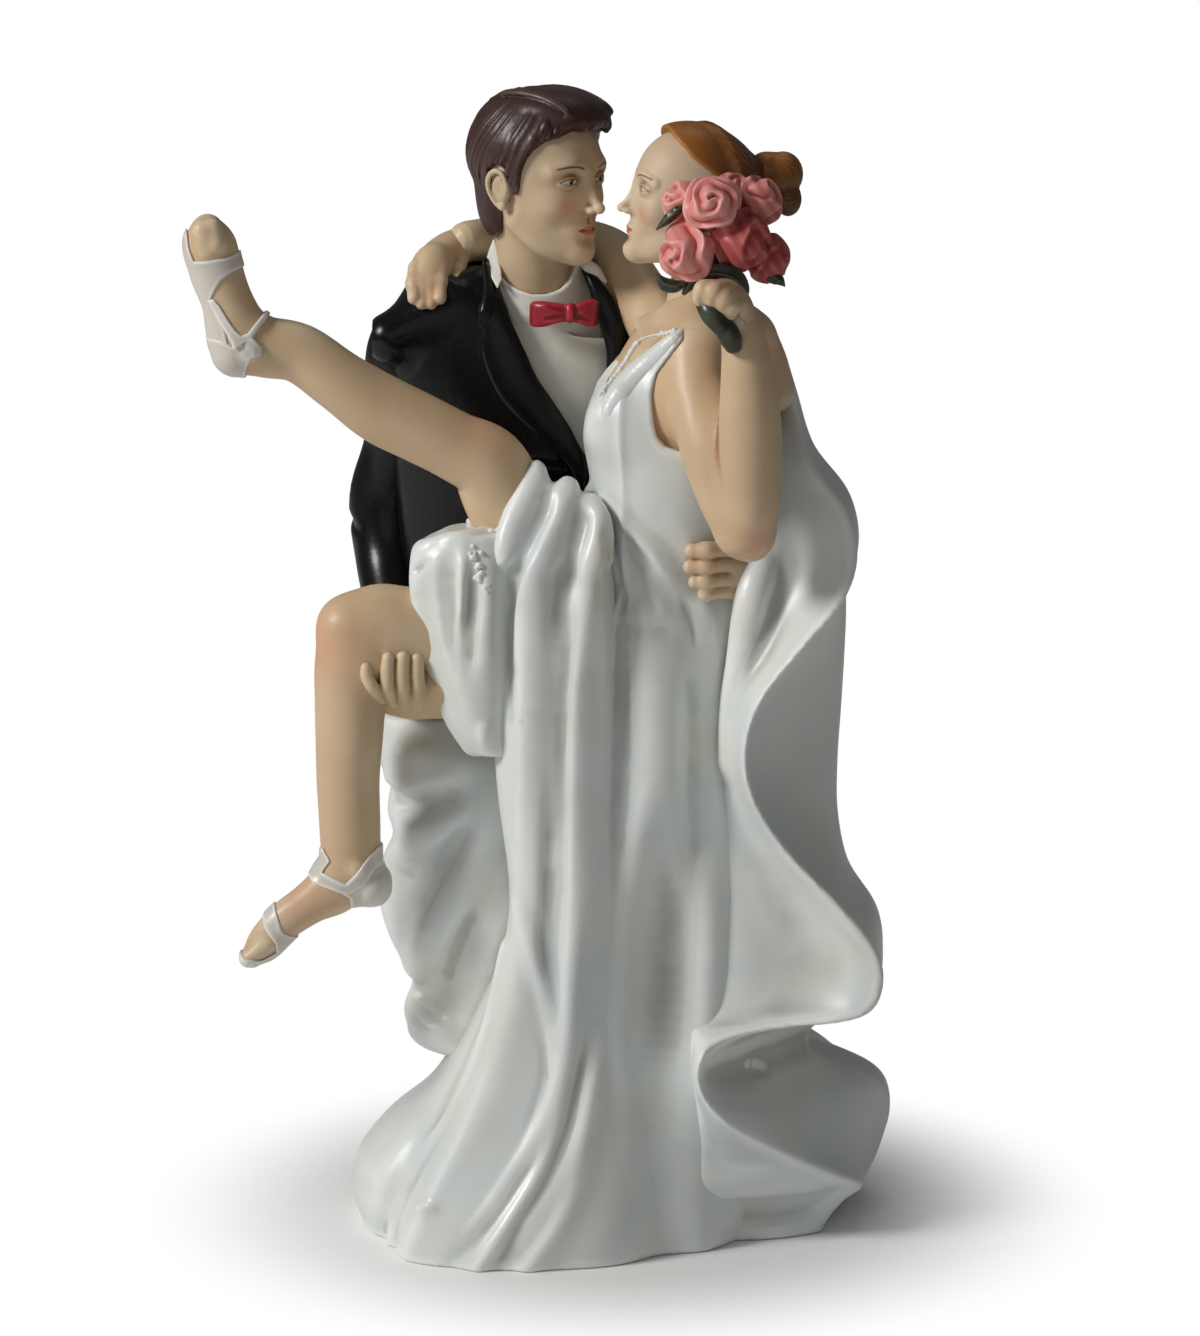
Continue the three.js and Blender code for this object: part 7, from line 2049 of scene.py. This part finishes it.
leaf("leaf_by_cheek", "bouquet_leaf_1", [(684, 205, -22.6, 0.3), (677, 211, -23.2, 0.6),
        (668, 219, -23.2, 0.62), (657, 229, -22.6, 0.15)], 1)
leaf("leaf_low_left", "bouquet_leaf_2", [(684, 282, -24.8, 0.3), (676, 286, -25.2, 0.8),
        (665, 284, -25.0, 0.85), (655, 273, -24.4, 0.15)], -1)
leaf("leaf_under", "bouquet_leaf_3", [(684, 293, -24.0, 0.3), (694, 280, -24.6, 1.1),
        (712, 274, -24.8, 1.2), (731, 277, -24.8, 1.4), (741, 289, -24.4, 1.1), (744, 302, -23.6, 0.3)],
        -1)
leaf("leaf_low_right", "bouquet_leaf_4", [(762, 272, -21.6, 0.4), (772, 276, -21.8, 0.9),
        (779, 280, -21.4, 0.7), (784, 285, -20.8, 0.15)], -1)

# %% [markdown]
# ## The sandals
# Each sandal is a thin skin over the foot, no thicker than heavy paint: a band behind the toes, a
# heel cup, a sole edge and straps that meet in a V at the ankle. It is the foot's own clay, let out
# by a third of a millimetre and kept only inside an outline, so it follows the foot everywhere.

# %% Bands over a foot
def band(foot, name, knot, outline, away, cover=0.26):
    cast(name, skin_over(foot, outline, away, cover, 0.2), sandal_paint, [knot], whole=False)


raised_foot = raised_leg_clay(seen(176, 395, -20), seen(300, 200, -6), cell=0.15)
band(raised_foot, "raised_vamp", "raised_sandal_vamp", [
    (176, 228), (185, 228), (189, 250), (194, 262), (206, 261), (226, 258), (240, 252), (250, 246),
    (258, 262), (246, 268), (232, 272),
    (221, 280), (215, 290), (211, 299), (217, 312), (225, 330), (228, 344), (212, 348), (190, 325),
    (176, 290)], -15.5)
band(raised_foot, "raised_straps", "raised_sandal_strap", [
    (206, 300), (214, 299), (220, 306), (228, 319), (236, 330), (242, 335), (248, 333), (256, 323),
    (266, 312), (274, 301), (286, 284),
    (291, 288), (279, 304), (270, 316), (259, 328), (251, 340), (248, 352), (237, 354), (231, 341),
    (222, 326), (213, 311)], -15.5, 0.34)
band(raised_foot, "raised_heel_cup", "raised_sandal_heel", [
    (200, 338), (222, 340), (233, 346), (240, 340), (252, 336), (262, 346), (262, 354), (252, 358),
    (247, 368), (244, 385), (200, 385)], -15.5, 0.34)

lower_foot = lower_leg_clay(seen(232, 978, -22), seen(395, 835, -7), cell=0.15)
band(lower_foot, "lower_vamp", "lower_sandal_vamp", [
    (258, 905), (272, 900), (283, 932), (300, 941), (318, 936), (310, 955), (290, 975), (240, 975),
    (236, 950), (246, 958),
    (262, 961), (276, 954), (276, 944), (264, 928)], -17.0)
band(lower_foot, "lower_straps", "lower_sandal_strap", [
    (300, 872), (322, 850), (330, 862), (322, 874), (346, 884), (357, 872), (368, 858), (384, 842),
    (390, 858), (374, 872), (362, 888),
    (350, 896), (338, 893), (312, 884)], -17.0, 0.3)
band(lower_foot, "lower_heel_cup", "lower_sandal_heel", [
    (352, 886), (366, 879), (374, 866), (392, 866), (392, 910), (350, 912), (350, 900), (340, 893)],
    -17.0, 0.28)

# %% [markdown]
# ## Light, floor and camera
# The topper stands on a white table in soft daylight from the upper left. One large lamp gives that
# light, two weak ones fill from the front and from above, and the right side is left darker, so the
# folds read. The table is a pale round floor that turns into plain white towards its rim, where only
# the camera looks at it. So the soft shadow under the dress stays, and the background has no edge.

# %% Camera
def look_at(piece, target, back):
    piece.rotation_mode = "QUATERNION"
    piece.rotation_quaternion = vec(back).to_track_quat("Z", "Y")
    piece.location = vec(target) + vec(back)


def vec(values):
    return Vector([float(v) for v in values])


SENSOR = 36.0
lens = bpy.data.cameras.new("camera")
camera = bpy.data.objects.new("camera", lens)
bpy.context.scene.collection.objects.link(camera)
lens.sensor_width = SENSOR
lens.lens = FOCAL * SENSOR / (2 * MIDDLE_Y)
lens.clip_start, lens.clip_end = 0.01, 20.0
look_at(camera, AIM * MM, np.array([0.0, -RISE_COS, RISE_SIN]) * CAMERA_AWAY * MM)
bpy.context.scene.camera = camera

# %% Lamps and surroundings
def lamp(name, spot, size, power, colour=(1.0, 1.0, 1.0)):
    light = bpy.data.lights.new(name, "AREA")
    light.shape = "DISK"
    light.size = size
    light.energy = power
    light.color = colour
    holder = bpy.data.objects.new(name, light)
    bpy.context.scene.collection.objects.link(holder)
    look_at(holder, (0, 0, 0.07), spot)
    return holder


lamp("window_light", (-0.76, -0.32, 0.54), 0.3, 6.3, (1.0, 0.985, 0.96))
lamp("front_fill", (-0.1, -0.9, 0.3), 0.6, 0.36, (0.97, 0.98, 1.0))
lamp("top_light", (0.1, 0.2, 0.8), 0.4, 0.35)

world = bpy.data.worlds.new("surroundings")
bpy.context.scene.world = world
world.use_nodes = True
sky = world.node_tree
sky.nodes.clear()
paths = node(sky, "ShaderNodeLightPath")
soft_room = node(sky, "ShaderNodeBackground")
soft_room.inputs["Color"].default_value = (0.96, 1.0, 0.98, 1.0)
soft_room.inputs["Strength"].default_value = 0.1
white_wall = node(sky, "ShaderNodeBackground")
white_wall.inputs["Color"].default_value = (1.0, 1.0, 1.0, 1.0)
white_wall.inputs["Strength"].default_value = 1.0
is_seen = maths(sky, "MAXIMUM", paths.outputs["Is Camera Ray"], paths.outputs["Is Transmission Ray"])
mixed = node(sky, "ShaderNodeMixShader")
sky.links.new(is_seen, mixed.inputs[0])
sky.links.new(soft_room.outputs[0], mixed.inputs[1])
sky.links.new(white_wall.outputs[0], mixed.inputs[2])
out = node(sky, "ShaderNodeOutputWorld")
sky.links.new(mixed.outputs[0], out.inputs[0])

# %% The table top
bpy.ops.mesh.primitive_circle_add(vertices=96, radius=0.9, fill_type="NGON", location=(0, 0, 0))
floor = bpy.context.object
floor.name = "table_top"
white = bpy.data.materials.new("table_top_paint")
white.use_nodes = True
tree = white.node_tree
base = tree.nodes["Principled BSDF"]
base.inputs["Base Color"].default_value = (0.95, 0.95, 0.95, 1.0)
base.inputs["Roughness"].default_value = 0.75
where = node(tree, "ShaderNodeTexCoord").outputs["Object"]
away = node(tree, "ShaderNodeVectorMath", operation="LENGTH")
put(tree, away.inputs[0], where)
fade = spread(tree, away.outputs["Value"], 0.028, 0.064)
glow = node(tree, "ShaderNodeEmission")
glow.inputs["Color"].default_value = (1.0, 1.0, 1.0, 1.0)
glow.inputs["Strength"].default_value = 1.0
rays = node(tree, "ShaderNodeLightPath")
only_seen = maths(tree, "MULTIPLY", fade, rays.outputs["Is Camera Ray"])
blend_in = node(tree, "ShaderNodeMixShader")
put(tree, blend_in.inputs[0], only_seen)
tree.links.new(base.outputs[0], blend_in.inputs[1])
tree.links.new(glow.outputs[0], blend_in.inputs[2])
tree.links.new(blend_in.outputs[0], tree.nodes["Material Output"].inputs["Surface"])
floor.data.materials.append(white)

# %% Sizes
bpy.context.scene.view_settings.view_transform = "Standard"
bpy.context.view_layer.update()
print(len(made), "pieces,", sum(made.values()), "quads")
